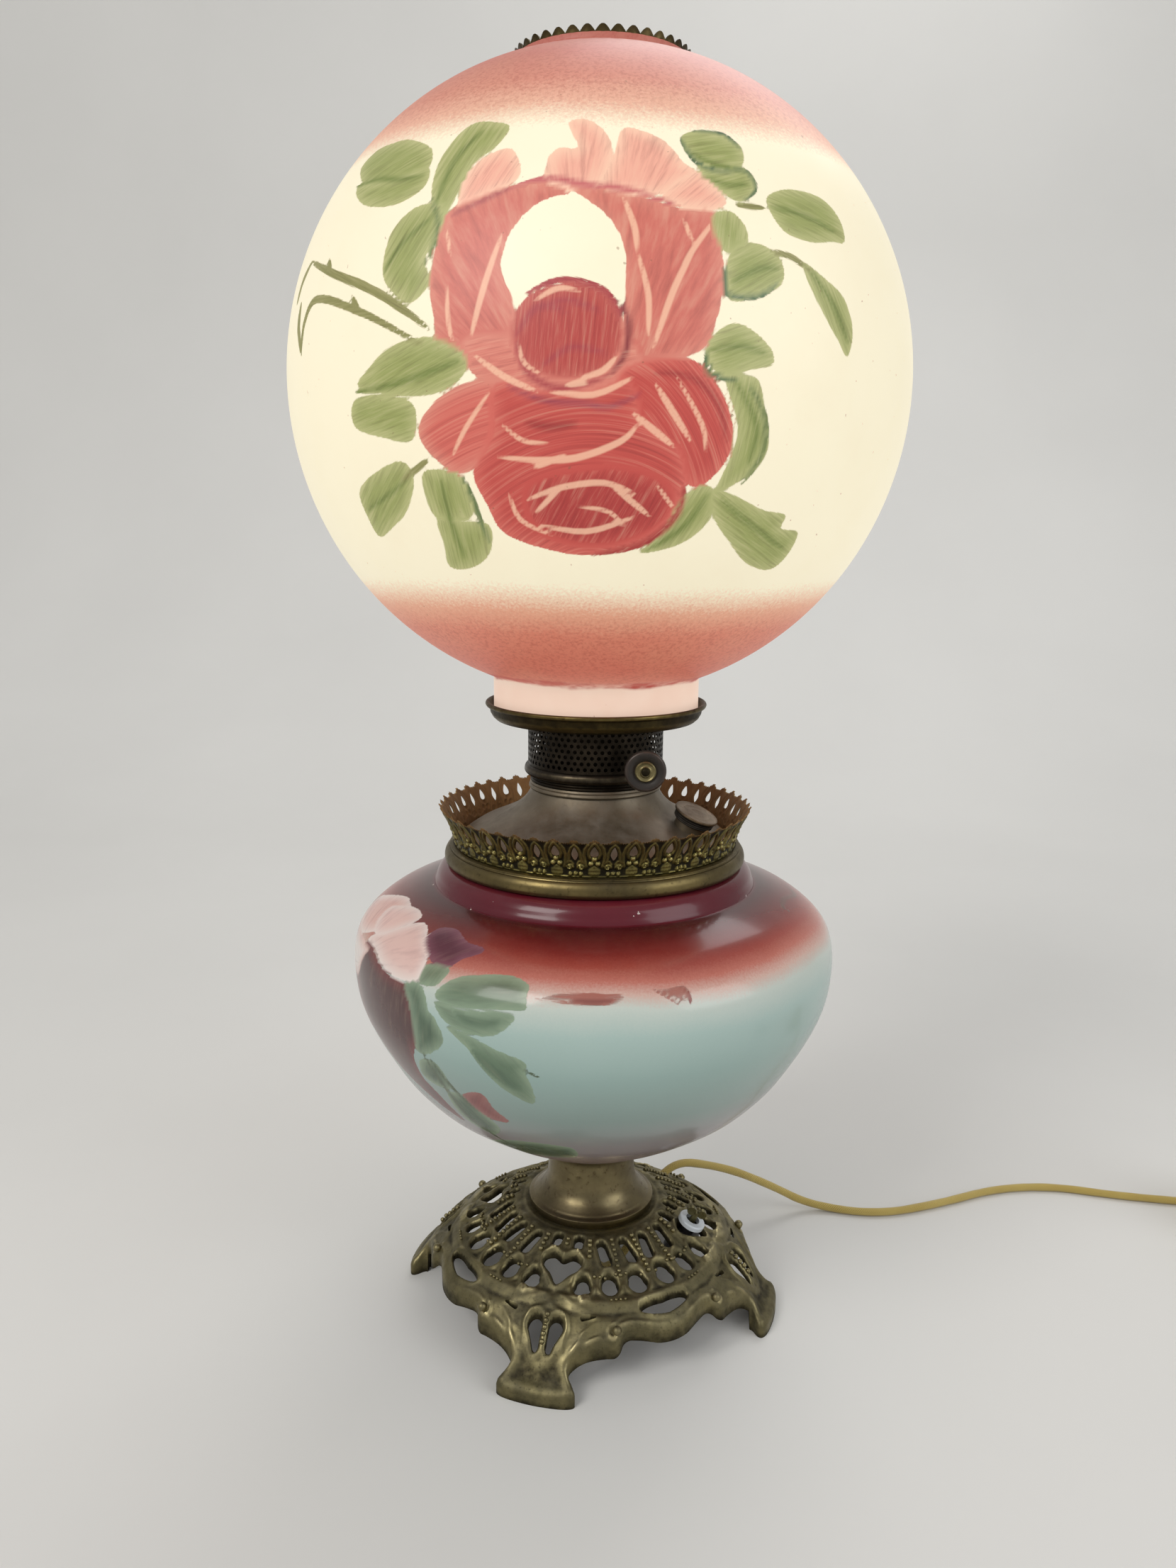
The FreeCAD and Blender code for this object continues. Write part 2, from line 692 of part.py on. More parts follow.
# Filler neck, its gasket and its knurled cap
def filler_pieces():
    """The three pieces on the filler's axis."""
    neck = Part.makeCylinder(FILLER_NECK_R, FILLER_NECK_H + FILLER_ROOT)
    neck = neck.cut(Part.makeCylinder(FILLER_NECK_R - FILLER_NECK_WALL,
                                      FILLER_NECK_H + FILLER_ROOT))
    node("filler_neck", along_z(neck, filler_foot - filler_way * FILLER_ROOT, filler_way))
    bore = FILLER_NECK_R + 2 * RUN_GAP
    seat = filler_foot + filler_way * FILLER_NECK_H
    gasket = Part.makeCylinder(FILLER_NECK_R - REST_GAP, GASKET_T)
    node("filler_gasket", along_z(gasket, seat, filler_way))
    cap = Part.makeCylinder(CAP_R, CAP_H)
    skirt_h = CAP_H - CAP_TOP_T
    cap = cap.cut(Part.makeCylinder(bore, skirt_h))
    groove_w = CAP_R * 0.09
    groove = Part.makeBox(groove_w, groove_w, CAP_H * 0.7,
                          V(CAP_R - groove_w / 2, -groove_w / 2, CAP_H * 0.1))
    cap = cap.cut(Part.makeCompound(spun_copies(groove, CAP_RIBS)))
    cap = cap.fuse(Part.makeCylinder(CAP_R * 0.6, CAP_TOP_T * 0.4, V(0, 0, CAP_H)))
    low = seat + filler_way * (GASKET_T - skirt_h)
    node("filler_cap", along_z(cap, low, filler_way))


filler_pieces()


# Burner base with its knurled bead and its threaded skirt
def burner_base():
    """The spun cup that screws on the font and carries the basket."""
    wall = BURNER_WALL
    bead_mid = BEAD_Z + BEAD_H / 2
    edges = Part.makePolygon([
        V(THROAT_R, 0, DECK_Z),
        V(THROAT_R, 0, DECK_Z - wall),
        V(SKIRT_R - wall, 0, DECK_Z - wall),
        V(SKIRT_R - wall, 0, SKIRT_Z),
        V(SKIRT_R, 0, SKIRT_Z),
        V(SKIRT_R, 0, BEAD_Z),
    ]).Edges
    edges.append(Part.Arc(V(SKIRT_R, 0, BEAD_Z), V(BEAD_R, 0, bead_mid),
                          V(BASKET_R, 0, DECK_Z)).toShape())
    edges.append(Part.makeLine(V(BASKET_R, 0, DECK_Z), V(THROAT_R, 0, DECK_Z)))
    body = turned(edges)
    tip_r = PINION_TEETH * GEAR_MODULE / 2 + TOOTH_TIP
    slot_w = RACK_W + BURNER_WALL
    slot_len = KNOB_X + tip_r + BURNER_WALL - THROAT_R + OVERRUN
    body = body.cut(Part.makeBox(slot_len, slot_w, BURNER_WALL + 2 * OVERRUN,
                                 V(THROAT_R - OVERRUN, -slot_w / 2, DECK_Z - BURNER_WALL - OVERRUN)))
    thread_r = SKIRT_H / 8
    for share in (0.3, 0.75):
        body = body.fuse(Part.makeTorus(SKIRT_R, thread_r, V(0, 0, SKIRT_Z + SKIRT_H * share)))
    return body


node("burner_base", burner_base())


# Perforated basket
def basket():
    """The pierced tube that feeds air and carries the shade ring."""
    wall = BURNER_WALL
    body = ring(BASKET_R - wall, BASKET_R, DECK_Z, SHADE_Z)
    body = body.fuse(ring(SHADE_HOLE_R, BASKET_R - wall / 2, SHADE_Z - wall, SHADE_Z))
    cutters = []
    rise = BASKET_H / (BASKET_ROWS + 1)
    bearing_place = V(KNOB_X, -math.sqrt(BASKET_R ** 2 - KNOB_X ** 2), KNOB_Z)
    hole = Part.makeCylinder(BASKET_HOLE_R, wall * 4, V(BASKET_R - wall * 2, 0, 0), V(1, 0, 0))
    for row in range(BASKET_ROWS):
        level = DECK_Z + rise * (row + 1)
        for copy in spun_copies(hole, BASKET_PER_ROW, 180.0 / BASKET_PER_ROW * (row % 2)):
            copy.translate(V(0, 0, level))
            if (copy.CenterOfMass - bearing_place).Length > BASKET_HOLE_R * 4:
                cutters.append(copy)
    bearing = Part.makeCylinder(SHAFT_R + RUN_GAP, BASKET_R * 2, V(KNOB_X, 0, KNOB_Z), V(0, -1, 0))
    cutters.append(bearing)
    return body.cut(Part.makeCompound(cutters)).Solids[0]


node("burner_basket", basket())

# Bearing plate for the shaft's inner end
bearing_y = RACK_W / 2 + BURNER_WALL * 2
bearing_t = BURNER_WALL * 2
plate_w = SHAFT_R * 4
bearing_plate = Part.makeBox(plate_w, bearing_t, KNOB_OVER_DECK + plate_w / 2,
                             V(KNOB_X - plate_w / 2, bearing_y, DECK_Z))
bearing_hole = Part.makeCylinder(SHAFT_R + RUN_GAP, bearing_t + 2 * OVERRUN,
                                 V(KNOB_X, bearing_y - OVERRUN, KNOB_Z), V(0, 1, 0))
node("shaft_bearing", bearing_plate.cut(bearing_hole))

# Draft tube up through the font and the burner
draft_low = STEP_TOP_Z - FONT_TANK_H
draft_top = DECK_Z + DRAFT_TOP_OVER
node("draft_tube", ring(DRAFT_R - DRAFT_WALL, DRAFT_R, draft_low, draft_top))

# Wick, its carrier with the rack, and the pinion that lifts it
wick_in = DRAFT_R + WICK_GAP
wick_out = wick_in + WICK_T
wick_top = draft_top - WICK_GAP
node("wick", ring(wick_in, wick_out, wick_top - WICK_H, wick_top))

carrier_in = wick_out
carrier_out = carrier_in + CARRIER_WALL
carrier_top = wick_top - WICK_T
pinion_r = PINION_TEETH * GEAR_MODULE / 2
gear_pitch = math.pi * GEAR_MODULE
rack_line = KNOB_X - pinion_r


def tooth(width_root, width_tip, height_root, height_tip):
    """The four corners of one tooth that points along +X."""
    return [
        V(-height_root, 0, -width_root / 2),
        V(height_tip, 0, -width_tip / 2),
        V(height_tip, 0, width_tip / 2),
        V(-height_root, 0, width_root / 2),
    ]


tooth_w = gear_pitch * TOOTH_FILL_SHARE
tooth_corners = tooth(tooth_w * 1.45, tooth_w * 0.62, TOOTH_ROOT, TOOTH_TIP)


def tooth_block():
    """One gear tooth about the Y axis, its pitch point at the origin."""
    outline = Part.makePolygon(tooth_corners + tooth_corners[:1])
    face = Part.Face(outline)
    face.translate(V(0, -RACK_W / 2, 0))
    return face.extrude(V(0, RACK_W, 0))


def carrier():
    """The tube that holds the wick, with a toothed strip at its side."""
    body = ring(carrier_in, carrier_out, carrier_top - CARRIER_H, carrier_top)
    above = 1
    root_x = rack_line - TOOTH_ROOT
    strip_low = KNOB_Z + (above - RACK_TEETH) * gear_pitch
    strip_high = KNOB_Z + above * gear_pitch
    strip = Part.makeBox(root_x - carrier_in - CARRIER_WALL / 2, RACK_W, strip_high - strip_low,
                         V(carrier_in + CARRIER_WALL / 2, -RACK_W / 2, strip_low))
    pieces = [strip]
    for index in range(RACK_TEETH):
        block = tooth_block()
        height = KNOB_Z + (above - index - 0.5) * gear_pitch
        block.translate(V(rack_line, 0, height))
        pieces.append(block)
    return body.fuse(pieces).removeSplitter()


node("wick_carrier", carrier())


def pinion():
    """The pinion, one tooth towards the rack's gap at rest."""
    hub = Part.makeCylinder(pinion_r - TOOTH_ROOT * 0.9, RACK_W, V(0, -RACK_W / 2, 0), V(0, 1, 0))
    pieces = []
    for index in range(PINION_TEETH):
        block = tooth_block()
        block.translate(V(pinion_r, 0, 0))
        block.rotate(CENTRE, V(0, 1, 0), 180.0 + 360.0 * index / PINION_TEETH)
        pieces.append(block)
    body = hub.fuse(pieces).removeSplitter()
    bore = Part.makeCylinder(SHAFT_R, RACK_W + 2 * OVERRUN, V(0, -RACK_W / 2 - OVERRUN, 0), V(0, 1, 0))
    body = body.cut(bore)
    body.translate(V(KNOB_X, 0, KNOB_Z))
    return body


node("wick_pinion", pinion())

shaft_in = bearing_y + bearing_t
shaft_len = shaft_in - KNOB_Y
node("knob_shaft", Part.makeCylinder(SHAFT_R, shaft_len, V(KNOB_X, shaft_in, KNOB_Z), V(0, -1, 0)))


def knob():
    """The knob's dished dark rim and the brass boss riveted in it."""
    face_y = KNOB_Y - KNOB_T
    front = V(0, -1, 0)
    disc = Part.makeCylinder(KNOB_R, KNOB_T, V(KNOB_X, KNOB_Y, KNOB_Z), front)
    disc = disc.makeFillet(KNOB_T * 0.3, [edge for edge in disc.Edges if edge.Closed][:2])
    recess_t = KNOB_BOSS_T / 2
    recess = Part.makeCylinder(KNOB_BOSS_R, recess_t + OVERRUN,
                               V(KNOB_X, face_y + recess_t, KNOB_Z), front)
    node("knob_rim", disc.cut(recess))
    boss = Part.makeCylinder(KNOB_BOSS_R, KNOB_BOSS_T, V(KNOB_X, face_y + recess_t, KNOB_Z), front)
    rivet = Part.makeSphere(SHAFT_R, V(KNOB_X, face_y + recess_t - KNOB_BOSS_T, KNOB_Z))
    node("knob_boss", boss.fuse(rivet))


knob()


# Shade ring
def shade_ring():
    """The dished ring that holds the globe's neck."""
    wall = SHADE_RING_WALL
    bead_r = (SHADE_RING_R - SHADE_BAND_R + wall) / 2
    body = turned_polygon([
        (SHADE_HOLE_R, SHADE_Z),
        (SHADE_BAND_R, SHADE_Z),
        (SHADE_BAND_R, SHADE_TOP_Z - bead_r),
        (SHADE_BAND_R - wall, SHADE_TOP_Z - bead_r),
        (SHADE_BAND_R - wall, SHADE_FLOOR_Z),
        (SHADE_HOLE_R, SHADE_FLOOR_Z),
    ])
    bead = Part.makeTorus(SHADE_RING_R - bead_r, bead_r, V(0, 0, SHADE_TOP_Z - bead_r))
    return body.fuse(bead)


node("shade_ring", shade_ring())


# Globe
def globe():
    """The blown ball with its straight neck and its open lipped top."""
    inner_r = GLOBE_R - GLASS_WALL
    neck_in = GLOBE_NECK_R - GLASS_WALL
    top_in = GLOBE_TOP_R - GLASS_WALL

    def on_ball(ball, radius, side):
        return V(radius, 0, GLOBE_Z + side * math.sqrt(ball * ball - radius * radius))

    neck_top = on_ball(GLOBE_R, GLOBE_NECK_R, -1)
    lip_low = on_ball(GLOBE_R, GLOBE_TOP_R, 1)
    inner_top = on_ball(inner_r, top_in, 1)
    inner_low = on_ball(inner_r, neck_in, -1)
    lip_z = lip_low.z + GLOBE_LIP_H
    edges = [
        Part.makeLine(V(GLOBE_NECK_R, 0, GLOBE_LOW_Z), neck_top),
        Part.Arc(neck_top, V(GLOBE_R, 0, GLOBE_Z), lip_low).toShape(),
    ]
    edges += Part.makePolygon([
        lip_low,
        V(GLOBE_TOP_R, 0, lip_z),
        V(top_in, 0, lip_z),
        inner_top,
    ]).Edges
    edges.append(Part.Arc(inner_top, V(inner_r, 0, GLOBE_Z), inner_low).toShape())
    edges += Part.makePolygon([
        inner_low,
        V(neck_in, 0, GLOBE_LOW_Z),
        V(GLOBE_NECK_R, 0, GLOBE_LOW_Z),
    ]).Edges
    node("globe", turned(edges))
    return lip_z


lip_top_z = globe()


# Toothed ring that sits in the globe's top
def top_ring():
    """The brass ring hung in the globe's mouth, toothed above the glass."""
    outer = GLOBE_TOP_R - GLASS_WALL
    inner = outer - TOP_RING_T
    tooth_z = lip_top_z + TOP_RING_OVER
    body = ring(inner, outer, lip_top_z - TOP_RING_DEPTH, lip_top_z + TOP_RING_T)
    lip = ring(inner, GLOBE_TOP_R, lip_top_z, lip_top_z + TOP_RING_T)
    teeth = ring(GLOBE_TOP_R - TOP_RING_T, GLOBE_TOP_R, lip_top_z, tooth_z)
    body = body.fuse([lip, teeth])
    gap_w = 2 * math.pi * outer / TOP_RING_TEETH / 2
    slot = Part.makeBox(GLOBE_TOP_R, gap_w, TOP_RING_OVER, V(0, -gap_w / 2, lip_top_z + TOP_RING_T))
    return body.cut(Part.makeCompound(spun_copies(slot, TOP_RING_TEETH))).Solids[0]


node("globe_top_ring", top_ring())

# Socket: cap, shell, liner, core with its screw shell, and the hardware that clamps it
node("shade_washer", ring(pipe_fit, SHADE_HOLE_R + OVERRUN, SHADE_FLOOR_Z, SHADE_FLOOR_Z + WASHER_T))
node("lock_nut", hexagon(NUT_ACROSS, SOCKET_Z - SHADE_FLOOR_Z - WASHER_T, SHADE_FLOOR_Z + WASHER_T,
                         pipe_fit))
CAP_SHARES = [(0.5, 0.0), (0.72, 0.12), (0.9, 0.4), (0.98, 0.75), (1.0, 1.0)]


def socket_cap():
    """The spun cap under the socket, with its threaded hub."""
    pairs = shared(CAP_SHARES, SOCKET_R, SOCKET_CAP_H, SOCKET_Z)
    shell = spun(pairs, SOCKET_WALL)
    shell = shell.cut(Part.makeCylinder(SOCKET_R * 2, SOCKET_CAP_H, V(0, 0, SHELL_Z)))
    hub = ring(pipe_fit, SOCKET_R * 0.5, SOCKET_Z, SOCKET_Z + NUT_H)
    return shell.fuse(hub)


node("socket_cap", socket_cap())
node("socket_shell", ring(SOCKET_R - SOCKET_WALL, SOCKET_R, SHELL_Z, SHELL_TOP_Z))
liner_r = SOCKET_R - SOCKET_WALL
node("socket_liner", ring(liner_r - LINER_T, liner_r, SHELL_Z, SHELL_TOP_Z - LINER_T))
core_r = liner_r - LINER_T
core_low = SHELL_Z - LINER_T
screw_out = SCREW_R + SCREW_T
core = ring(0, core_r, core_low, core_low + CORE_H / 2)
node("socket_core", core.fuse(ring(screw_out, core_r, core_low + CORE_H / 2, core_low + CORE_H)))
screw_low = core_low + CORE_H / 2
node("screw_shell", ring(SCREW_R, screw_out, screw_low, screw_low + SCREW_H))
contact_h = SCREW_T * 4
node("socket_contact", Part.makeCylinder(SCREW_R / 4, contact_h, V(0, 0, screw_low)))

# Bulb
bulb_low = screw_low + contact_h + REST_GAP
bulb_base_r = SCREW_R - SCREW_CLEAR
node("bulb_base", ring(0, bulb_base_r, bulb_low, bulb_low + BULB_BASE_H))
BULB_SHARES = [(0.52, 0.0), (0.56, 0.14), (0.72, 0.3), (0.92, 0.48), (1.0, 0.64), (0.94, 0.82),
               (0.7, 0.95), (0.36, 1.0)]


def bulb_glass():
    """The frosted glass envelope, closed at its crown."""
    pairs = shared(BULB_SHARES, BULB_R, BULB_H, bulb_low + BULB_BASE_H)
    outer = section(pairs)
    inner = inside_of(outer, BULB_GLASS_T)
    top = V(0, 0, outer[-1].z + BULB_GLASS_T / 2)
    top_in = V(0, 0, top.z - BULB_GLASS_T)
    inner[0] = V(inner[0].x, 0, outer[0].z)
    return turned([
        smooth(outer),
        Part.makeLine(outer[-1], top),
        Part.makeLine(top, top_in),
        Part.makeLine(top_in, inner[-1]),
        smooth(inner[::-1]),
        Part.makeLine(inner[0], outer[0]),
    ])


node("bulb_glass", bulb_glass())
filament_post = Part.makeCone(BULB_R * 0.16, BULB_R * 0.08, BULB_H * 0.5,
                              V(0, 0, bulb_low + BULB_BASE_H))
node("bulb_stem", filament_post)


# Turn switch: body under the casting, white bezel and two-lobed key above it
def switch_pieces():
    """The switch in the heart-shaped opening above the right foot."""
    turn = BASE_TURN_DEG
    tilt = math.radians(SWITCH_TILT_DEG)
    out = polar(1, turn)
    foot = V(out.x * SWITCH_R_OUT, out.y * SWITCH_R_OUT, dome_height(SWITCH_R_OUT))
    way = V(out.x * math.sin(tilt), out.y * math.sin(tilt), math.cos(tilt))
    lift = REST_GAP / 2
    body_top = BASE_WALL + 4 * REST_GAP
    stem_fit = SWITCH_STEM_R + RUN_GAP
    body = Part.makeCylinder(SWITCH_BODY_R, SWITCH_BODY_H, V(0, 0, -body_top - SWITCH_BODY_H))
    throat = Part.makeCylinder(BEZEL_BORE_R - RUN_GAP, body_top + lift, V(0, 0, -body_top))
    bore = Part.makeCylinder(stem_fit, body_top + lift + SWITCH_BODY_H / 2,
                             V(0, 0, -body_top - SWITCH_BODY_H / 2))
    node("switch_body", along_z(body.fuse(throat).cut(bore), foot, way))
    bezel = Part.makeCylinder(BEZEL_R, BEZEL_H, V(0, 0, lift))
    bezel = bezel.makeFillet(BEZEL_H * 0.35, [bezel.Edges[0]])
    bezel = bezel.cut(Part.makeCylinder(BEZEL_BORE_R, BEZEL_H * 2, V(0, 0, 0)))
    node("switch_bezel", along_z(bezel, foot, way))
    top = lift + BEZEL_H
    stem_low = -body_top - SWITCH_BODY_H / 2 + REST_GAP
    key = Part.makeCylinder(SWITCH_STEM_R, top + KEY_OVER - stem_low, V(0, 0, stem_low))
    for side in (-1, 1):
        key = key.fuse(Part.makeCylinder(KEY_LOBE_R, KEY_T, V(side * KEY_SPREAD, -KEY_T / 2, top + KEY_OVER),
                                         V(0, 1, 0)))
    node("switch_key", along_z(key, foot, way))
    return foot, way


switch_foot, switch_way = switch_pieces()

# Supply cord: points chosen by hand from inside the pipe to the coil
CORD_POINTS = [
    V(0, 0, 40), V(0, 0, 3), V(23, 29, 3), V(39.7, 47.8, 47.5), V(76, 61, 36.5),
    V(106, 72, 18.5), V(130, 79, CORD_R), V(168, 69, CORD_R), V(208, 82, CORD_R),
    V(246, 100, CORD_R), V(282, 104, CORD_R), V(318, 94, CORD_R), V(355, 88, CORD_R),
    V(392, 83, CORD_R),
]
CORD_EXIT = V(0, 0, PIPE_LOW_Z - WASHER_T)


def rounded(points):
    """The route's straight runs, joined by arcs tangent to both. Gives the edges and radii."""
    edges = []
    radii = []
    here = points[0]
    for before, corner, after in zip(points, points[1:], points[2:]):
        inward = corner - before
        outward = after - corner
        back = 0.45 * min(inward.Length, outward.Length)
        turn = inward.getAngle(outward)
        inward.normalize()
        outward.normalize()
        start = corner - inward * back
        end = corner + outward * back
        radius = back / math.tan(turn / 2)
        bisector = outward - inward
        bisector.normalize()
        depth = radius / math.cos(turn / 2) - radius
        edges.append(Part.makeLine(here, start))
        edges.append(Part.Arc(start, corner + bisector * depth, end).toShape())
        radii.append(round(radius, 1))
        here = end
    edges.append(Part.makeLine(here, points[-1]))
    return edges, radii


def tube(edges, radius):
    """A round tube along tangent edges."""
    path = Part.Wire(edges)
    first = path.Edges[0]
    way = first.tangentAt(first.FirstParameter)
    circle = Part.makeCircle(radius, path.Vertexes[0].Point, way)
    solid = path.makePipeShell([Part.Wire(circle)], True, False)
    if solid.Volume < 0:
        solid.reverse()
    return solid


def biarc(start, way_in, end, way_out):
    """Two arcs, tangent to each other and to both given directions."""
    chord = end - start
    ways = way_in + way_out
    lead = chord.dot(ways)
    spread = 2 * (1 - way_in.dot(way_out))
    reach = (-lead + math.sqrt(lead * lead + spread * chord.dot(chord))) / spread
    near = start + way_in * reach
    far = end - way_out * reach
    middle = (near + far) * 0.5
    edges = []
    for first, corner, last in ((start, near, middle), (middle, far, end)):
        half = (last - first).Length / 2
        base = (first + last) * 0.5
        rise = corner - base
        height = rise.Length
        side = math.hypot(half, height)
        radius = half * side / height
        depth = radius - math.sqrt(max(radius * radius - half * half, 0))
        rise.normalize()
        edges.append(Part.Arc(first, base + rise * depth, last).toShape())
    return edges


def coil_point(centre, start_deg, turns):
    """A point of the coil after so many turns, and the way it runs there."""
    turn = math.radians(start_deg - 360.0 * turns)
    place = centre + V(COIL_R * math.cos(turn), COIL_R * math.sin(turn), CORD_R + COIL_PITCH * turns)
    way = V(math.sin(turn), -math.cos(turn), COIL_PITCH / (2 * math.pi * COIL_R))
    way.normalize()
    return place, way


def least_gap(edges, radius, turns):
    """The least gap between one turn of the coil and the next, on points."""
    path = Part.Wire(edges)
    points = path.discretize(Number=int(turns * 48))
    least = COIL_R
    for index, point in enumerate(points):
        for other in points[index + 24:]:
            least = min(least, point.distanceToPoint(other))
    return least - 2 * radius


def cord_pieces():
    """The cord from the pipe to the coil, the coil, its tail, the tie and the plug."""
    edges, radii = rounded(CORD_POINTS)
    length = sum(edge.Length for edge in edges) - (CORD_POINTS[0] - CORD_EXIT).Length
    node("cord", tube(edges, CORD_R))
    entry = CORD_POINTS[-1]
    way = entry - CORD_POINTS[-2]
    way.normalize()
    right = V(way.y, -way.x, 0)
    centre = V(entry.x, entry.y, 0) + right * COIL_R
    start_deg = math.degrees(math.atan2(-right.y, -right.x))
    turns = COIL_TURNS + start_deg / 360.0
    steps = 2 * COIL_TURNS + 1
    coil_edges = []
    place, heading = coil_point(centre, start_deg, 0)
    heading = way
    for index in range(steps):
        after, heading_after = coil_point(centre, start_deg, turns * (index + 1) / steps)
        coil_edges += biarc(place, heading, after, heading_after)
        place, heading = after, heading_after
    node("cord_coil", tube(coil_edges, CORD_R))
    tail_points = [
        place,
        place + heading * TAIL_LEAD,
        V(412, -16, 20),
        V(408, -52, PLUG_R),
        V(404, -88, PLUG_R),
    ]
    tail_edges, tail_radii = rounded(tail_points)
    node("cord_tail", tube(tail_edges, CORD_R))
    coil_length = sum(edge.Length for edge in coil_edges)
    tail_length = sum(edge.Length for edge in tail_edges)
    print("cord radii", radii, "tail radii", tail_radii)
    print("cord lengths", round(length), round(coil_length), round(tail_length),
          "in all", round(length + coil_length + tail_length))
    print("least gap in the coil", round(least_gap(coil_edges, CORD_R, turns), 2))
    print("coil centre", centre, "start", round(start_deg, 2), "turns", round(turns, 3))
    cord_tie(centre)
    plug(tail_points[-1], tail_points[-1] - tail_points[-2])


def cord_tie(centre):
    """A flat strap round the coil's turns, on the side nearest the viewer."""
    ease = CORD_R / 3
    wall = CORD_R / 3
    width = CORD_R * 2.6
    low = CORD_R * 0.6 + wall
    high = 2 * CORD_R + COIL_PITCH * (COIL_TURNS - 0.35) + ease
    near = centre.y - COIL_R - CORD_R - ease
    deep = 2 * (CORD_R + ease)
    inner = Part.makeBox(width, deep, high - low, V(centre.x - width / 2, near, low))
    outer = Part.makeBox(width, deep + 2 * wall, high - low + 2 * wall,
                         V(centre.x - width / 2, near - wall, low - wall))
    node("cord_tie", outer.cut(inner))


def plug(entry, way):
    """The moulded plug at the cord's end, and its two flat blades."""
    way.normalize()
    relief = PLUG_LEN * 0.5
    body = Part.makeCone(CORD_R * 1.4, PLUG_R * 0.62, relief)
    head = Part.makeCylinder(PLUG_R, PLUG_LEN, V(0, 0, relief))
    head = head.makeFillet(PLUG_R * 0.18, [edge for edge in head.Edges if edge.Closed])
    body = body.fuse(head)
    front = relief + PLUG_LEN
    turned_body = along_z(body, entry, way)
    node("plug_body", turned_body)
    side = V(-way.y, way.x, 0)
    for name, sign in (("plug_blade_left", 1), ("plug_blade_right", -1)):
        blade = Part.makeBox(BLADE_LEN, BLADE_T, BLADE_W, V(0, -BLADE_T / 2, -BLADE_W / 2))
        place = entry + way * front + side * (sign * BLADE_GAP / 2)
        blade.Placement = FreeCAD.Placement(place, FreeCAD.Rotation(V(1, 0, 0), way))
        node(name, blade)


cord_pieces()

total_solids = 0
for name, shape in NODES.items():
    if not shape.isValid():
        print("not valid:", name)
    total_solids += len(shape.Solids)
    shape.exportStep("parts/" + name + ".step")
print(len(NODES), "nodes,", total_solids, "solids")
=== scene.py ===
# %% [markdown]
# # A painted parlor lamp, dressed in Blender
#
# The lamp is an old kerosene parlor lamp turned electric: a lit, painted milk-glass ball over a
# blackened burner, a dull font in a pierced brass crown, a painted glass vase, a spun stem and a
# pierced cast base on four feet. Its solids come from CAD. This lesson gives each visible piece the
# shape and finish that a hand would know: cast brass, oil paint on glass, sheet brass, woven cord.

# %% Load the frame
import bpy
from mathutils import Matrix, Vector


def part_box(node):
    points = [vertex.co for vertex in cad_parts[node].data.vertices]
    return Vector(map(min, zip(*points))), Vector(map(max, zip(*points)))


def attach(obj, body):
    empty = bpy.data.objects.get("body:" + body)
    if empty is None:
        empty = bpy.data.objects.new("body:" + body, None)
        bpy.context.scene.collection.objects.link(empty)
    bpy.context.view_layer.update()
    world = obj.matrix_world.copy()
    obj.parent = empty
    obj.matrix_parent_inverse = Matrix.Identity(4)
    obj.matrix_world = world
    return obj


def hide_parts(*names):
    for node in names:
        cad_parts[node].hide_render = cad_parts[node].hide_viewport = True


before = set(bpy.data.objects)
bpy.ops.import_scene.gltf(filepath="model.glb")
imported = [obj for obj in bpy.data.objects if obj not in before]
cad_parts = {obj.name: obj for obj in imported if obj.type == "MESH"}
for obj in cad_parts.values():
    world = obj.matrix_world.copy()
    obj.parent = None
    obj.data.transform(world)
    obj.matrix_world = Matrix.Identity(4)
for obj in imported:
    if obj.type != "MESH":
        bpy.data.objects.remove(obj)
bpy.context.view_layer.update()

# %% [markdown]
# Lengths in this lesson are written in millimetres, as on the part's drawing, and turned into metres
# when a mesh is made. Angles round the lamp are longitudes in degrees: 0 is the front (-Y) and 90 is
# the viewer's right (+X). Colours are written as the 0 to 255 numbers that a colour picker shows and
# turned into Blender's linear light.

# %% Numbers and colours
import math

import bpy
import numpy as np
from mathutils import Matrix, Vector

MM = 0.001
rng = np.random.default_rng(11)


def tone(red, green, blue):
    """A picker colour as linear light, by the usual sRGB curve."""
    shares = [value / 255.0 for value in (red, green, blue)]
    light = [s / 12.92 if s <= 0.04045 else ((s + 0.055) / 1.055) ** 2.4 for s in shares]
    return (*light, 1.0)


print("mid grey", [round(v, 3) for v in tone(128, 128, 128)])

# %% [markdown]
# The camera comes first, because everything is judged through it. Its place was worked out from the
# rings of the lamp, which show as ellipses in the photograph: it looks down by 12 degrees from 0.4 m
# above the table. The lens is set from the focal length in picture pixels over the picture's height.

# %% Camera
scene = bpy.context.scene
scene.view_settings.view_transform = "Standard"
PITCH, YAW, ROLL = math.radians(12.08), math.radians(-0.33), math.radians(0.52)
FOCAL_PIXELS, PICTURE_HEIGHT, SENSOR = 1789.0, 2212.0, 36.0
CAMERA_Y, CAMERA_Z = -0.608, 0.4041
ahead = Vector((math.sin(YAW) * math.cos(PITCH), math.cos(YAW) * math.cos(PITCH), -math.sin(PITCH)))
level = Vector((math.cos(YAW), -math.sin(YAW), 0.0))
below = ahead.cross(level)
camera_data = bpy.data.cameras.new("camera")
camera_data.sensor_width = SENSOR
camera_data.lens = SENSOR * FOCAL_PIXELS / PICTURE_HEIGHT
camera_data.clip_start = 0.02
camera = bpy.data.objects.new("camera", camera_data)
scene.collection.objects.link(camera)
side = level * math.cos(ROLL) - below * math.sin(ROLL)
upward = -(level * math.sin(ROLL) + below * math.cos(ROLL))
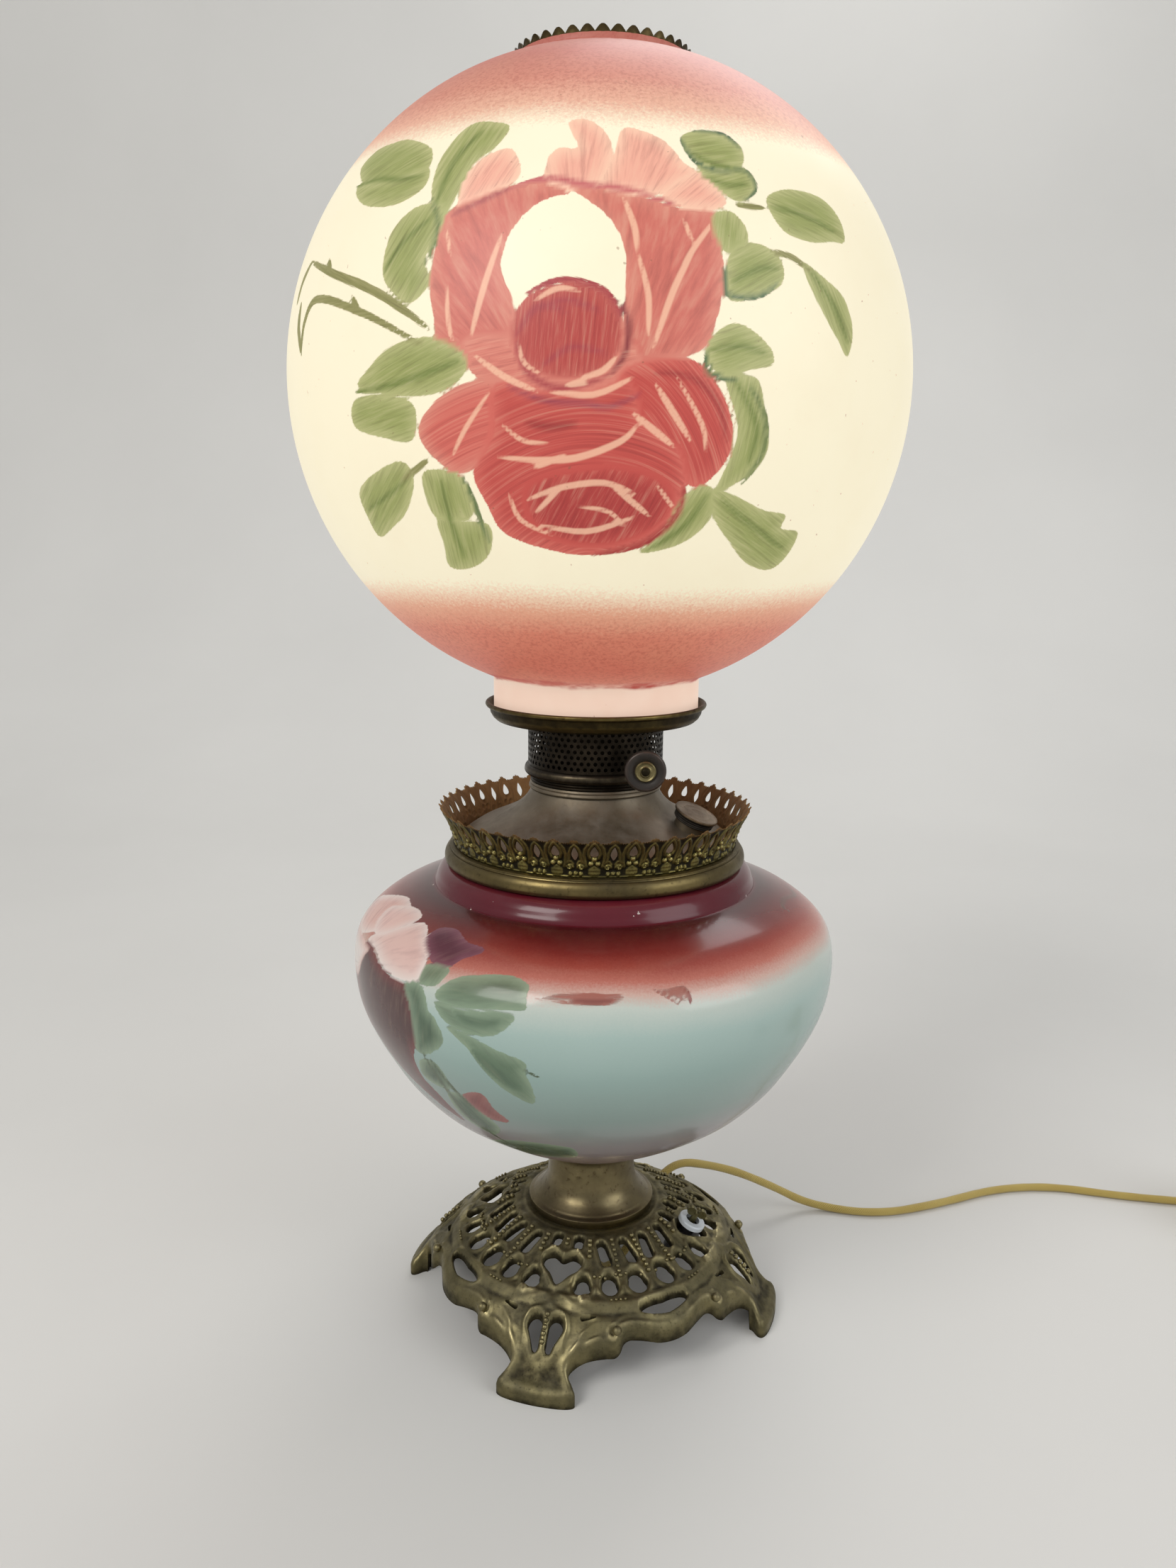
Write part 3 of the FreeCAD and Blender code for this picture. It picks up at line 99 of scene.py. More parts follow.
camera.matrix_world = Matrix((
    (side.x, upward.x, -ahead.x, 0.0),
    (side.y, upward.y, -ahead.y, CAMERA_Y),
    (side.z, upward.z, -ahead.z, CAMERA_Z),
    (0.0, 0.0, 0.0, 1.0),
))
scene.camera = camera
print("lens", round(camera_data.lens, 2), "mm at", tuple(round(v, 3) for v in camera.matrix_world.translation))

# %% [markdown]
# Every mesh in the lesson is made by one short helper: it takes points in millimetres and faces, and
# gives an object that stands at the origin with its place in its mesh, as a CAD node does. Smooth
# shading is split wherever two faces meet at more than a given angle, so that a lip stays crisp.

# %% Making a mesh


def piece(name, points, faces, coat=None, crisp=35.0):
    """A mesh object from points in millimetres and faces."""
    mesh = bpy.data.meshes.new(name)
    faces = faces.tolist() if isinstance(faces, np.ndarray) else faces
    mesh.from_pydata((np.asarray(points, float) * MM).tolist(), [], faces)
    mesh.update()
    mesh.shade_smooth()
    mesh.set_sharp_from_angle(angle=math.radians(crisp))
    made = bpy.data.objects.new(name, mesh)
    scene.collection.objects.link(made)
    if coat:
        mesh.materials.append(coat)
    return made


def give_numbers(made, name, values):
    """One number for each point of a mesh, for its material to read."""
    layer = made.data.attributes.new(name, "FLOAT", "POINT")
    layer.data.foreach_set("value", np.asarray(values, np.float32).ravel())


def give_colours(made, name, values):
    """One colour for each point of a mesh, for its material to read."""
    layer = made.data.attributes.new(name, "FLOAT_COLOR", "POINT")
    full = np.ones((len(values), 4), np.float32)
    full[:, :3] = values
    layer.data.foreach_set("color", full.ravel())


def give_map(made, name, places):
    """A pair of numbers for each face corner: a UV map."""
    layer = made.data.uv_layers.new(name=name)
    layer.data.foreach_set("uv", np.asarray(places, np.float32).ravel())


print("helpers ready")

# %% [markdown]
# The cord is gold cloth over twin wire, 4.5 mm thick. It leaves the pipe under the casting, climbs
# out through one of the casting's openings at the rear right and runs along the table. A cord lies in
# one smooth line, so its route is a NURBS curve through the part's own route points. What the
# photograph doesn't show is wound into a coil beyond the picture's edge, and ends in a plug.

# %% The cord's line
CORD_R, PIPE_MOUTH = 2.25, 36.8
route = [(0, 0, 40), (0, 0, 3), (23, 29, 3), (39.7, 47.8, 47.5), (76, 61, 36.5), (106, 72, 18.5),
         (130, 79, CORD_R), (168, 69, CORD_R), (208, 82, CORD_R), (246, 100, CORD_R),
         (282, 104, CORD_R), (318, 94, CORD_R), (355, 88, CORD_R), (392, 83, CORD_R)]
COIL_MID, COIL_R, COIL_PITCH, COIL_START, COIL_TURNS = (388.65, 58.23), 25.88, 5.1, 82.3, 7.229
POINTS_A_TURN, FIRST_POINT = 14, 0.35
COIL_END_R, TAIL_LEAD = 25.0, 32.0


def on_coil(turns, radius):
    """The place on the coil after so many turns, and its angle."""
    angle = math.radians(COIL_START - 360.0 * turns)
    return (COIL_MID[0] + radius * math.cos(angle), COIL_MID[1] + radius * math.sin(angle),
            CORD_R + COIL_PITCH * turns), angle


route += [on_coil((step + FIRST_POINT) / POINTS_A_TURN, COIL_R)[0]
    for step in range(1, int(COIL_TURNS * POINTS_A_TURN))]
coil_end, last_angle = on_coil(COIL_TURNS, COIL_END_R)
heading = Vector((math.sin(last_angle), -math.cos(last_angle), 0.0))
tail_lead = Vector(coil_end) + heading * TAIL_LEAD
route += [tuple(Vector(coil_end)), tuple(tail_lead), (412, -16, 20), (408, -52, 11), (404, -88, 11)]
line_data = bpy.data.curves.new("cord_line", "CURVE")
line_data.dimensions = "3D"
spline = line_data.splines.new("NURBS")
spline.points.add(len(route) - 1)
for point, place in zip(spline.points, route):
    point.co = (*(v * MM for v in place), 1.0)
spline.order_u = 3
spline.use_endpoint_u = True
spline.resolution_u = 10
line = bpy.data.objects.new("cord_line", line_data)
scene.collection.objects.link(line)
depsgraph = bpy.context.evaluated_depsgraph_get()
line_mesh = bpy.data.meshes.new_from_object(line.evaluated_get(depsgraph))
cord_path = np.array([tuple(v.co) for v in line_mesh.vertices]) / MM
bpy.data.objects.remove(line)
cord_path = cord_path[int(np.argmax(cord_path[:, 2] < PIPE_MOUTH)):]
cord_path[0] = (0.0, 0.0, PIPE_MOUTH)

# %% [markdown]
# A tube is laid along that line. Each ring of points is carried along by turning the last ring as
# little as possible, which keeps the tube free of twists. The UV map counts millimetres along the cord
# and turns round it, so that the weave later follows every bend.

# %% The cord's cloth tube


def headings(path):
    """The unit vector along a path at each of its points."""
    ways = np.gradient(np.asarray(path, float), axis=0)
    return ways / np.linalg.norm(ways, axis=1)[:, None]


def lengths_along(path):
    """How far along a path each of its points lies."""
    return np.concatenate([[0.0], np.cumsum(np.linalg.norm(np.diff(path, axis=0), axis=1))])


def ring_frames(path):
    """Two unit vectors across a path at each of its points, carried along without twist."""
    ways = headings(path)
    across = np.cross(ways[0], (0.0, 0.0, 1.0) if abs(ways[0][2]) < 0.9 else (1.0, 0.0, 0.0))
    frames = []
    for way in ways:
        across = across - way * np.dot(across, way)
        across /= np.linalg.norm(across)
        frames.append((across.copy(), np.cross(way, across)))
    return np.array([f[0] for f in frames]), np.array([f[1] for f in frames])


def tube_along(name, path, radii, sides):
    """A closed tube along a path, with a UV map of turns round it and millimetres along it."""
    first_way, second_way = ring_frames(path)
    turn = np.arange(sides) * 2 * math.pi / sides
    rings = (path[:, None, :] + radii[:, None, None] * (
        np.cos(turn)[None, :, None] * first_way[:, None, :] + np.sin(turn)[None, :, None] * second_way[:, None, :]))
    points = np.vstack([rings.reshape(-1, 3), path[0], path[-1]])
    along = lengths_along(path)
    faces, places = [], []
    for i in range(len(path) - 1):
        for j in range(sides):
            k = (j + 1) % sides
            faces.append((i * sides + j, i * sides + k, (i + 1) * sides + k, (i + 1) * sides + j))
            u, v = j / sides, (j + 1) / sides
            places += [(u, along[i]), (v, along[i]), (v, along[i + 1]), (u, along[i + 1])]
    start, end, top = len(points) - 2, len(points) - 1, (len(path) - 1) * sides
    for j in range(sides):
        k = (j + 1) % sides
        faces += [(start, k, j), (end, top + j, top + k)]
        places += [(0, 0), (0, 0), (0, 0), (0, along[-1]), (0, along[-1]), (0, along[-1])]
    made = piece(name, points, faces, crisp=60.0)
    give_map(made, "cloth", places)
    return made


swell = 1.0 + 0.02 * np.sin(np.arange(len(cord_path)) * 0.9) + 0.015 * rng.standard_normal(len(cord_path))
cord = tube_along("cord_cloth", cord_path, CORD_R * np.clip(swell, 0.96, 1.03), sides=12)
print("cord tube", len(cord.data.polygons), "faces")

# %% [markdown]
# The stage is a pale sweep: a floor that turns up into a wall in one curve, as photographers use, so
# no edge shows behind the lamp. Three big soft lamps and an even pale sky light it at a level where a
# colour comes out about as it is written. The sky shows itself to the camera as plain pale grey.

# %% Floor and lights
HALF_WIDTH, FLOOR_FRONT, FLOOR_BACK, BEND, WALL_TOP = 3500.0, -3200.0, 900.0, 900.0, 3600.0


def stage_sweep():
    """A floor with a curved back, 7 m wide."""
    profile = [(FLOOR_FRONT, 0.0), (FLOOR_BACK, 0.0)]
    profile += [(FLOOR_BACK + BEND * math.sin(a), BEND - BEND * math.cos(a))
        for a in np.linspace(0.1, math.pi / 2, 14)]
    profile += [(FLOOR_BACK + BEND, WALL_TOP)]
    points = [(x, y, z) for x in (-HALF_WIDTH, HALF_WIDTH) for y, z in profile]
    n = len(profile)
    faces = [(i, n + i, n + i + 1, i + 1) for i in range(n - 1)]
    return piece("sweep", points, faces, crisp=80.0)


sweep = stage_sweep()


def soft_lamp(name, place, aim, size, power, colour):
    """A big square lamp that points at the object."""
    data = bpy.data.lights.new(name, "AREA")
    data.size, data.energy, data.color = size, power, colour
    lamp = bpy.data.objects.new(name, data)
    scene.collection.objects.link(lamp)
    lamp.location = place
    lamp.rotation_euler = (Vector(aim) - Vector(place)).to_track_quat("-Z", "Y").to_euler()


soft_lamp("key", (-1.5, -1.7, 1.9), (0, 0, 0.25), 1.3, 34.0, (1.0, 0.985, 0.96))
soft_lamp("fill", (1.9, -1.2, 1.2), (0, 0, 0.25), 1.6, 17.0, (0.96, 0.98, 1.0))
soft_lamp("back", (0.5, 1.3, 2.0), (0, 0, 0.3), 1.2, 12.0, (1.0, 1.0, 1.0))

# %% [markdown]
# Materials are node trees. A few helpers keep them readable: `add` makes a node, sets its options and
# fills or links its sockets; `maths`, `mixed`, `noise` and `ramp` are the nodes used most. A shader
# group is a node tree of its own with named inputs, used by several materials with other values.

# %% Node helpers


def add(tree, kind, inputs=None, **settings):
    """A node with its options set and its sockets filled or linked."""
    node = tree.nodes.new(kind)
    for key, value in settings.items():
        setattr(node, key, value)
    for key, value in (inputs or {}).items():
        if isinstance(value, bpy.types.NodeSocket):
            tree.links.new(value, node.inputs[key])
        else:
            node.inputs[key].default_value = value
    return node


def maths(tree, operation, *values, clamp=False):
    """One sum, as a socket."""
    return add(tree, "ShaderNodeMath", dict(enumerate(values)), operation=operation, use_clamp=clamp).outputs[0]


def mixed(tree, share, first, second, mode="MIX"):
    """Two colours mixed by a share; 6 and 7 are the node's colour sockets."""
    return add(tree, "ShaderNodeMix", {0: share, 6: first, 7: second}, data_type="RGBA", blend_type=mode).outputs[2]


def noise(tree, where, scale, detail=3.0, rough=0.5):
    """Cloudy noise from 0 to 1."""
    return add(tree, "ShaderNodeTexNoise", {"Vector": where, "Scale": scale, "Detail": detail,
                                            "Roughness": rough}).outputs[0]


def wander(tree, where, scale, detail, rough, span):
    """Noise about zero, so many units from end to end."""
    return maths(tree, "MULTIPLY", maths(tree, "SUBTRACT", noise(tree, where, scale, detail, rough), 0.5), span)


def here(tree):
    """The shaded point's place on its own object, in metres."""
    return add(tree, "ShaderNodeTexCoord").outputs["Object"]


def parted(tree, place):
    """The three numbers of a place."""
    return add(tree, "ShaderNodeSeparateXYZ", {0: place}).outputs


def scaled(tree, where, factors):
    """Places stretched by three factors."""
    return add(tree, "ShaderNodeVectorMath", {0: where, 1: factors}, operation="MULTIPLY").outputs[0]


def joined(tree, x, y, z):
    """Three numbers as one place."""
    return add(tree, "ShaderNodeCombineXYZ", {0: x, 1: y, 2: z}).outputs[0]


def between(tree, value, low, high, to_low=0.0, to_high=1.0):
    """A value moved from one span to another, smoothly and within it."""
    return add(tree, "ShaderNodeMapRange", {"Value": value, "From Min": low, "From Max": high, "To Min": to_low,
                                            "To Max": to_high}, interpolation_type="SMOOTHSTEP").outputs[0]


def ramp(tree, value, stops):
    """A colour ramp through stops of (place, colour)."""
    node = add(tree, "ShaderNodeValToRGB", {0: value})
    elements = node.color_ramp.elements
    elements[0].position, elements[1].position = stops[0][0], stops[-1][0]
    for place, _ in stops[1:-1]:
        elements.new(place)
    for element, (_, colour) in zip(elements, stops):
        element.color = colour
    return node.outputs[0]


def reads(tree, name, colour=False):
    """An attribute of the mesh as a socket."""
    node = add(tree, "ShaderNodeAttribute", attribute_name=name)
    return node.outputs["Color"] if colour else node.outputs["Fac"]


def raised(tree, height, depth_mm):
    """A normal from a height between 0 and 1 that stands for so many millimetres."""
    return add(tree, "ShaderNodeBump", {"Height": height, "Distance": depth_mm * MM}).outputs[0]


def coat_of(name, **values):
    """A new material with its Principled sockets set, and its tree and shader node."""
    made = bpy.data.materials.new(name)
    made.use_nodes = True
    shader = made.node_tree.nodes["Principled BSDF"]
    for key, value in values.items():
        shader.inputs[key.replace("_", " ")].default_value = value
    return made, made.node_tree, shader


def wire(tree, shader, **sockets):
    """Links sockets to the shader's inputs by name."""
    for key, socket in sockets.items():
        tree.links.new(socket, shader.inputs[key.replace("_", " ")])


def group(name, inputs, outputs):
    """A shader group with named sockets."""
    tree = bpy.data.node_groups.new(name, "ShaderNodeTree")
    kinds = {"number": "NodeSocketFloat", "colour": "NodeSocketColor"}
    for label, kind, value in inputs:
        socket = tree.interface.new_socket(label, in_out="INPUT", socket_type=kinds[kind])
        if value is not None:
            socket.default_value = value
    for label, kind in outputs:
        tree.interface.new_socket(label, in_out="OUTPUT", socket_type=kinds[kind])
    return tree, tree.nodes.new("NodeGroupInput").outputs, tree.nodes.new("NodeGroupOutput")


def use(tree, shared, **inputs):
    """A group placed in a material with its own values."""
    return add(tree, "ShaderNodeGroup", {k.replace("_", " "): v for k, v in inputs.items()}, node_tree=shared).outputs


print("node helpers ready")

# %% [markdown]
# The sweep's own finish is a matt pale paint with a faint mottle. The sky is a light grey for the lamp
# and the same pale white as the sweep wherever the camera or a ray through glass looks past the floor.

# %% Stage finishes
paper, tree, shader = coat_of("sweep_paper", Roughness=0.85, Specular_IOR_Level=0.2)
place = here(tree)
mottle = noise(tree, place, 3.0, 4.0)
wire(tree, shader, Base_Color=mixed(tree, mottle, tone(214, 213, 210), tone(224, 223, 220)))
sweep.data.materials.append(paper)

world = bpy.data.worlds.new("studio")
world.use_nodes = True
scene.world = world
tree = world.node_tree
sky = tree.nodes["Background"]
sky.inputs["Color"].default_value = (1.0, 0.995, 0.985, 1.0)
sky.inputs["Strength"].default_value = 0.42
seen = add(tree, "ShaderNodeBackground", {"Color": tone(224, 224, 222), "Strength": 1.0})
rays = add(tree, "ShaderNodeLightPath")
looks = maths(tree, "MAXIMUM", rays.outputs["Is Camera Ray"], rays.outputs["Is Transmission Ray"])
both = add(tree, "ShaderNodeMixShader", {0: looks, 1: sky.outputs[0], 2: seen.outputs[0]})
tree.links.new(both.outputs[0], tree.nodes["World Output"].inputs["Surface"])
print("sky strength", round(sky.inputs["Strength"].default_value, 2))

# %% [markdown]
# Old brass is never one colour. The first shared group mixes clean metal with dull and dark tarnish by
# clouds of noise at two scales, and gives a roughness and a faint height with it, because tarnish is
# both rougher and a little proud. The second makes metal brighter where a mesh says that it stands
# proud and darker where it lies low: partly polish on the high spots and grime in the hollows, and
# partly painted highlight on what stands up and painted shade in what lies low.

# %% Shared metal groups
patina, inn, out = group("patina", [
    ("Clean", "colour", tone(150, 130, 80)), ("Dull", "colour", tone(110, 98, 66)),
    ("Dark", "colour", tone(50, 44, 30)),
    ("Amount", "number", 0.5), ("Size", "number", 60.0), ("Spots", "number", 0.4)],
    [("Color", "colour"), ("Roughness", "number"), ("Height", "number")])
place = here(patina)
cloud = noise(patina, place, inn["Size"], 5.0, 0.62)
fine = noise(patina, place, maths(patina, "MULTIPLY", inn["Size"], 9.0), 3.0, 0.6)
dullness = maths(patina, "ADD", maths(patina, "MULTIPLY", maths(patina, "SUBTRACT", cloud, 0.5), 3.2), inn["Amount"],
    clamp=True)
flecks = maths(patina, "MULTIPLY", between(patina, fine, 0.56, 0.74), inn["Spots"])
streaks = noise(patina, scaled(patina, place, (1.0, 1.0, 6.0)), maths(patina, "MULTIPLY", inn["Size"], 2.2), 2.0)
stain = maths(patina, "MULTIPLY", between(patina, streaks, 0.58, 0.8), maths(patina, "MULTIPLY", inn["Spots"], 0.7))
metal = mixed(patina, dullness, inn["Clean"], inn["Dull"])
metal = mixed(patina, maths(patina, "MAXIMUM", flecks, stain), metal, inn["Dark"])
patina.links.new(metal, out.inputs["Color"])
rough = maths(patina, "ADD", maths(patina, "MULTIPLY", dullness, 0.2), maths(patina, "MULTIPLY", flecks, 0.25))
patina.links.new(maths(patina, "ADD", rough, 0.27), out.inputs["Roughness"])
patina.links.new(maths(patina, "ADD", maths(patina, "MULTIPLY", fine, 0.6), maths(patina, "MULTIPLY", flecks, 0.4)),
    out.inputs["Height"])

wear_and_painted_light, inn, out = group("wear_and_painted_light", [
    ("Color", "colour", None), ("Bright", "colour", tone(190, 180, 140)), ("Grime_and_shade", "colour", tone(30, 26, 20)),
    ("Relief", "number", 0.5), ("Rub", "number", 0.7), ("Dirt", "number", 0.8)],
    [("Color", "colour"), ("Polish", "number")])
place = here(wear_and_painted_light)
breakup = wander(wear_and_painted_light, place, 260.0, 4.0, 0.5, 0.28)
level_here = maths(wear_and_painted_light, "ADD", inn["Relief"], breakup)
# Brighter where the metal stands proud: partly polish, partly painted highlight.
high = maths(wear_and_painted_light, "MULTIPLY", between(wear_and_painted_light, level_here, 0.62, 0.95), inn["Rub"])
# Darker where it lies low: partly grime, partly painted shade.
low = maths(wear_and_painted_light, "MULTIPLY", between(wear_and_painted_light, level_here, 0.42, 0.12), inn["Dirt"])
shade_now = mixed(wear_and_painted_light, low, mixed(wear_and_painted_light, high, inn["Color"], inn["Bright"]), inn["Grime_and_shade"])
wear_and_painted_light.links.new(shade_now, out.inputs["Color"])
wear_and_painted_light.links.new(maths(wear_and_painted_light, "SUBTRACT", high, low), out.inputs["Polish"])
print("groups", [g.name for g in bpy.data.node_groups])

# %% [markdown]
# Dust is the third shared effect: a pale film on whatever faces up, thicker in patches. It reads the
# surface's own normal, so it lies right from every side.

# %% Shared dust group
dusting, inn, out = group("dusting", [
    ("Color", "colour", None), ("Dust", "colour", tone(150, 145, 135)), ("Amount", "number", 0.4)],
    [("Color", "colour"), ("Mask", "number")])
facing = parted(dusting, add(dusting, "ShaderNodeNewGeometry").outputs["Normal"])[2]
place = here(dusting)
patch = between(dusting, noise(dusting, place, 85.0, 6.0, 0.65), 0.3, 0.75)
film = maths(dusting, "MULTIPLY", maths(dusting, "MULTIPLY", between(dusting, facing, 0.15, 0.95), patch),
    inn["Amount"])
dusting.links.new(mixed(dusting, film, inn["Color"], inn["Dust"]), out.inputs["Color"])
dusting.links.new(film, out.inputs["Mask"])


def aged_metal(name, clean, dull, dark, amount, size, dust, spots=0.4, rough=0.0, relief=None,
               bright=(190, 180, 140), rub_and_highlight=0.7, dirt_and_shade=0.8, depth=0.05, metallic=1.0):
    """An aged metal from the shared groups; `relief` names the mesh's own height attribute."""
    made, tree, shader = coat_of(name, Metallic=metallic)
    worn = use(tree, patina, Clean=tone(*clean), Dull=tone(*dull), Dark=tone(*dark), Amount=amount, Size=size,
        Spots=spots)
    colour, roughness = worn["Color"], maths(tree, "ADD", worn["Roughness"], rough)
    # With a relief attribute, raised parts come out brighter and low parts darker: partly wear and grime, partly
    # painted highlight and painted shade.
    if relief:
        worn_and_lit = use(tree, wear_and_painted_light, Color=colour, Bright=tone(*bright), Relief=reads(tree, relief), Rub=rub_and_highlight,
            Dirt=dirt_and_shade)
        colour = worn_and_lit["Color"]
        roughness = maths(tree, "SUBTRACT", roughness, maths(tree, "MULTIPLY", worn_and_lit["Polish"], 0.14))
    dusty = use(tree, dusting, Color=colour, Amount=dust)
    roughness = maths(tree, "ADD", roughness, maths(tree, "MULTIPLY", dusty["Mask"], 0.5), clamp=True)
    wire(tree, shader, Base_Color=dusty["Color"], Roughness=roughness, Normal=raised(tree, worn["Height"], depth))
    return made


print("dust and aged metal ready")

# %% [markdown]
# The cord's cloth is braided cotton in gold with an olive cast. The weave is two sets of waves that
# cross on the UV map, one leaning each way; where they are high the yarn shows its gold, and between
# yarns it is painted a darker brown as painted shade. Handling leaves it patchy, and one spot is
# stained brown.

# %% The cord's finish
cloth, tree, shader = coat_of("cord_cloth", Roughness=0.75, Sheen_Weight=0.3, Sheen_Roughness=0.5)
turns, along = parted(tree, add(tree, "ShaderNodeUVMap", uv_map="cloth").outputs[0])[:2]


def braid(tree, turns, along, yarns, pitch):
    """Two crossing sets of yarns, as a height from 0 to 1; the pitch is in millimetres."""
    lean = maths(tree, "DIVIDE", along, pitch)
    one, two = (maths(tree, "SINE", maths(tree, "MULTIPLY", maths(
        tree, side, maths(tree, "MULTIPLY", turns, yarns), lean), 2 * math.pi)) for side in ("ADD", "SUBTRACT"))
    return maths(tree, "MULTIPLY_ADD", maths(tree, "MAXIMUM", one, two), 0.5, 0.5)


weave = braid(tree, turns, along, yarns=9.0, pitch=1.25)
place = here(tree)
patchy = noise(tree, place, 55.0, 4.0)
yarn = mixed(tree, patchy, tone(176, 150, 70), tone(206, 184, 104))
# Painted shade: darker brown between the yarns, where the weave lies low.
yarn = mixed(tree, between(tree, weave, 0.55, 0.05), yarn, tone(96, 76, 34))
stain = between(tree, noise(tree, place, 18.0, 3.0), 0.63, 0.72, 0.0, 0.4)
yarn = mixed(tree, stain, yarn, tone(110, 86, 48))
spot = between(tree, maths(tree, "ABSOLUTE", maths(tree, "SUBTRACT", along, 452.0)), 4.5, 1.5, 0.0, 0.75)
yarn = mixed(tree, spot, yarn, tone(92, 50, 28))
fuzz = noise(tree, place, 1500.0, 2.0)
wire(tree, shader, Base_Color=yarn,
    Normal=raised(tree, maths(tree, "ADD", weave, maths(tree, "MULTIPLY", fuzz, 0.35)), 0.16))
cord.data.materials.append(cloth)
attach(cord, "lamp")
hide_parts("cord", "cord_coil", "cord_tail")
print("cord finished")

# %% [markdown]
# Turned pieces share one helper. It takes an outline of radius and height pairs and turns it about the
# lamp's axis. The outline closes on itself, as a ring's section does. Where the outer wall's outline
# runs upwards, the faces point outwards. The columns may be given as longitudes, so that a painted
# front can have many and a plain back few.

# %% The lathe


def around(radius, turn, height):
    """Places at a radius and height, turned round the lamp's axis from the front."""
    return np.column_stack([radius * np.sin(turn), -radius * np.cos(turn), height])


def lathe_mesh(outline, longitudes):
    """Points, faces and each point's row and longitude for a turned outline."""
    outline = np.asarray(outline, float)
    if isinstance(longitudes, int):
        longitudes = np.arange(longitudes) * 360.0 / longitudes
    turn = np.radians(longitudes)
    rows, columns = len(outline), len(turn)
    radius, height = np.repeat(outline[:, 0], columns), np.repeat(outline[:, 1], columns)
    angle = np.tile(turn, rows)
    points = around(radius, angle, height)
    i, j = np.meshgrid(np.arange(rows), np.arange(columns), indexing="ij")
    up, over = (i + 1) % rows, (j + 1) % columns
    faces = np.stack([i * columns + j, i * columns + over, up * columns + over, up * columns + j], -1).reshape(-1, 4)
    return points, faces, np.repeat(np.arange(rows), columns), np.degrees(angle)


def flowing(points, steps, closed=False):
    """A smooth line (a Catmull-Rom spline) through points, with so many steps between two of them."""
    points = np.asarray(points, float)
    n = len(points)
    at = [points[(k % n) if closed else min(max(k, 0), n - 1)] for k in range(-1, n + 2)]
    out = []
    for k in range(n if closed else n - 1):
        a, b, c, d = at[k:k + 4]
        rise, curl, twist = c - a, 2 * a - 5 * b + 4 * c - d, 3 * b - a - 3 * c + d
        out += [0.5 * (2 * b + rise * t + curl * t * t + twist * t ** 3) for t in np.arange(steps) / steps]
    if not closed:
        out.append(points[-1])
    return np.array(out)


def spaced(outline, step):
    """The same line with points at even steps along it."""
    outline = np.asarray(outline, float)
    runs = lengths_along(outline)
    marks = np.linspace(0.0, runs[-1], max(2, int(round(runs[-1] / step)) + 1))
    return np.column_stack([np.interp(marks, runs, outline[:, k]) for k in range(outline.shape[1])])


def moved_in(outline, wall):
    """The same outline moved to its left by the wall."""
    ways = headings(outline)
    return outline + wall * np.column_stack([-ways[:, 1], ways[:, 0]])


print("lathe ready")

# %% [markdown]
# The glass is painted by hand, so the painting is done as a painter does it: in dabs. Each dab is a
# loop of a few points on the flattened surface, with a colour and the way that the brush went. For
# each point of the mesh it is worked out which dab lies there, how deep inside its edge the point is,
# and where it is along and across the brush's way. The material turns these numbers into bristle
# streaks and ragged edges far finer than the mesh. Where a dab ends on another its colour blends into
# the one below, and the distance to that seam is kept too, because the streaks of two brush ways must
# fade before they meet. Light lines are wiped out of wet paint with the brush's handle, so they are
# kept as a distance of their own.

# %% Dabs of paint


def line_distance(at, line, closed=False):
    """Distance from each place to a line, and the share of the line's length passed there."""
    line = np.asarray(line, float)
    ends = np.roll(line, -1, axis=0) if closed else line[1:]
    starts = line if closed else line[:-1]
    best = np.full(len(at), 1e9)
    share = np.zeros(len(at))
    for k, (a, b) in enumerate(zip(starts, ends)):
        way = b - a
        t = np.clip(((at - a) @ way) / max(way @ way, 1e-9), 0.0, 1.0)
        gap = np.hypot(at[:, 0] - a[0] - t * way[0], at[:, 1] - a[1] - t * way[1])
        nearer = gap < best
        best[nearer], share[nearer] = gap[nearer], (k + t[nearer]) / len(starts)
    return best, share


def depth_inside(at, loop):
    """How deep each place lies inside a loop; less than 0 outside it."""
    gap, _ = line_distance(at, loop, closed=True)
    crossings = np.zeros(len(at), bool)
    for a, b in zip(loop, np.roll(loop, -1, axis=0)):
        straddles = (a[1] > at[:, 1]) != (b[1] > at[:, 1])
        if straddles.any():
            x = a[0] + (at[:, 1] - a[1]) * (b[0] - a[0]) / (b[1] - a[1] + 1e-12)
            crossings ^= straddles & (at[:, 0] < x)
    return np.where(crossings, gap, -gap)


def pure(colour):
    """A picker colour as three linear numbers."""
    return np.array(tone(*colour)[:3])


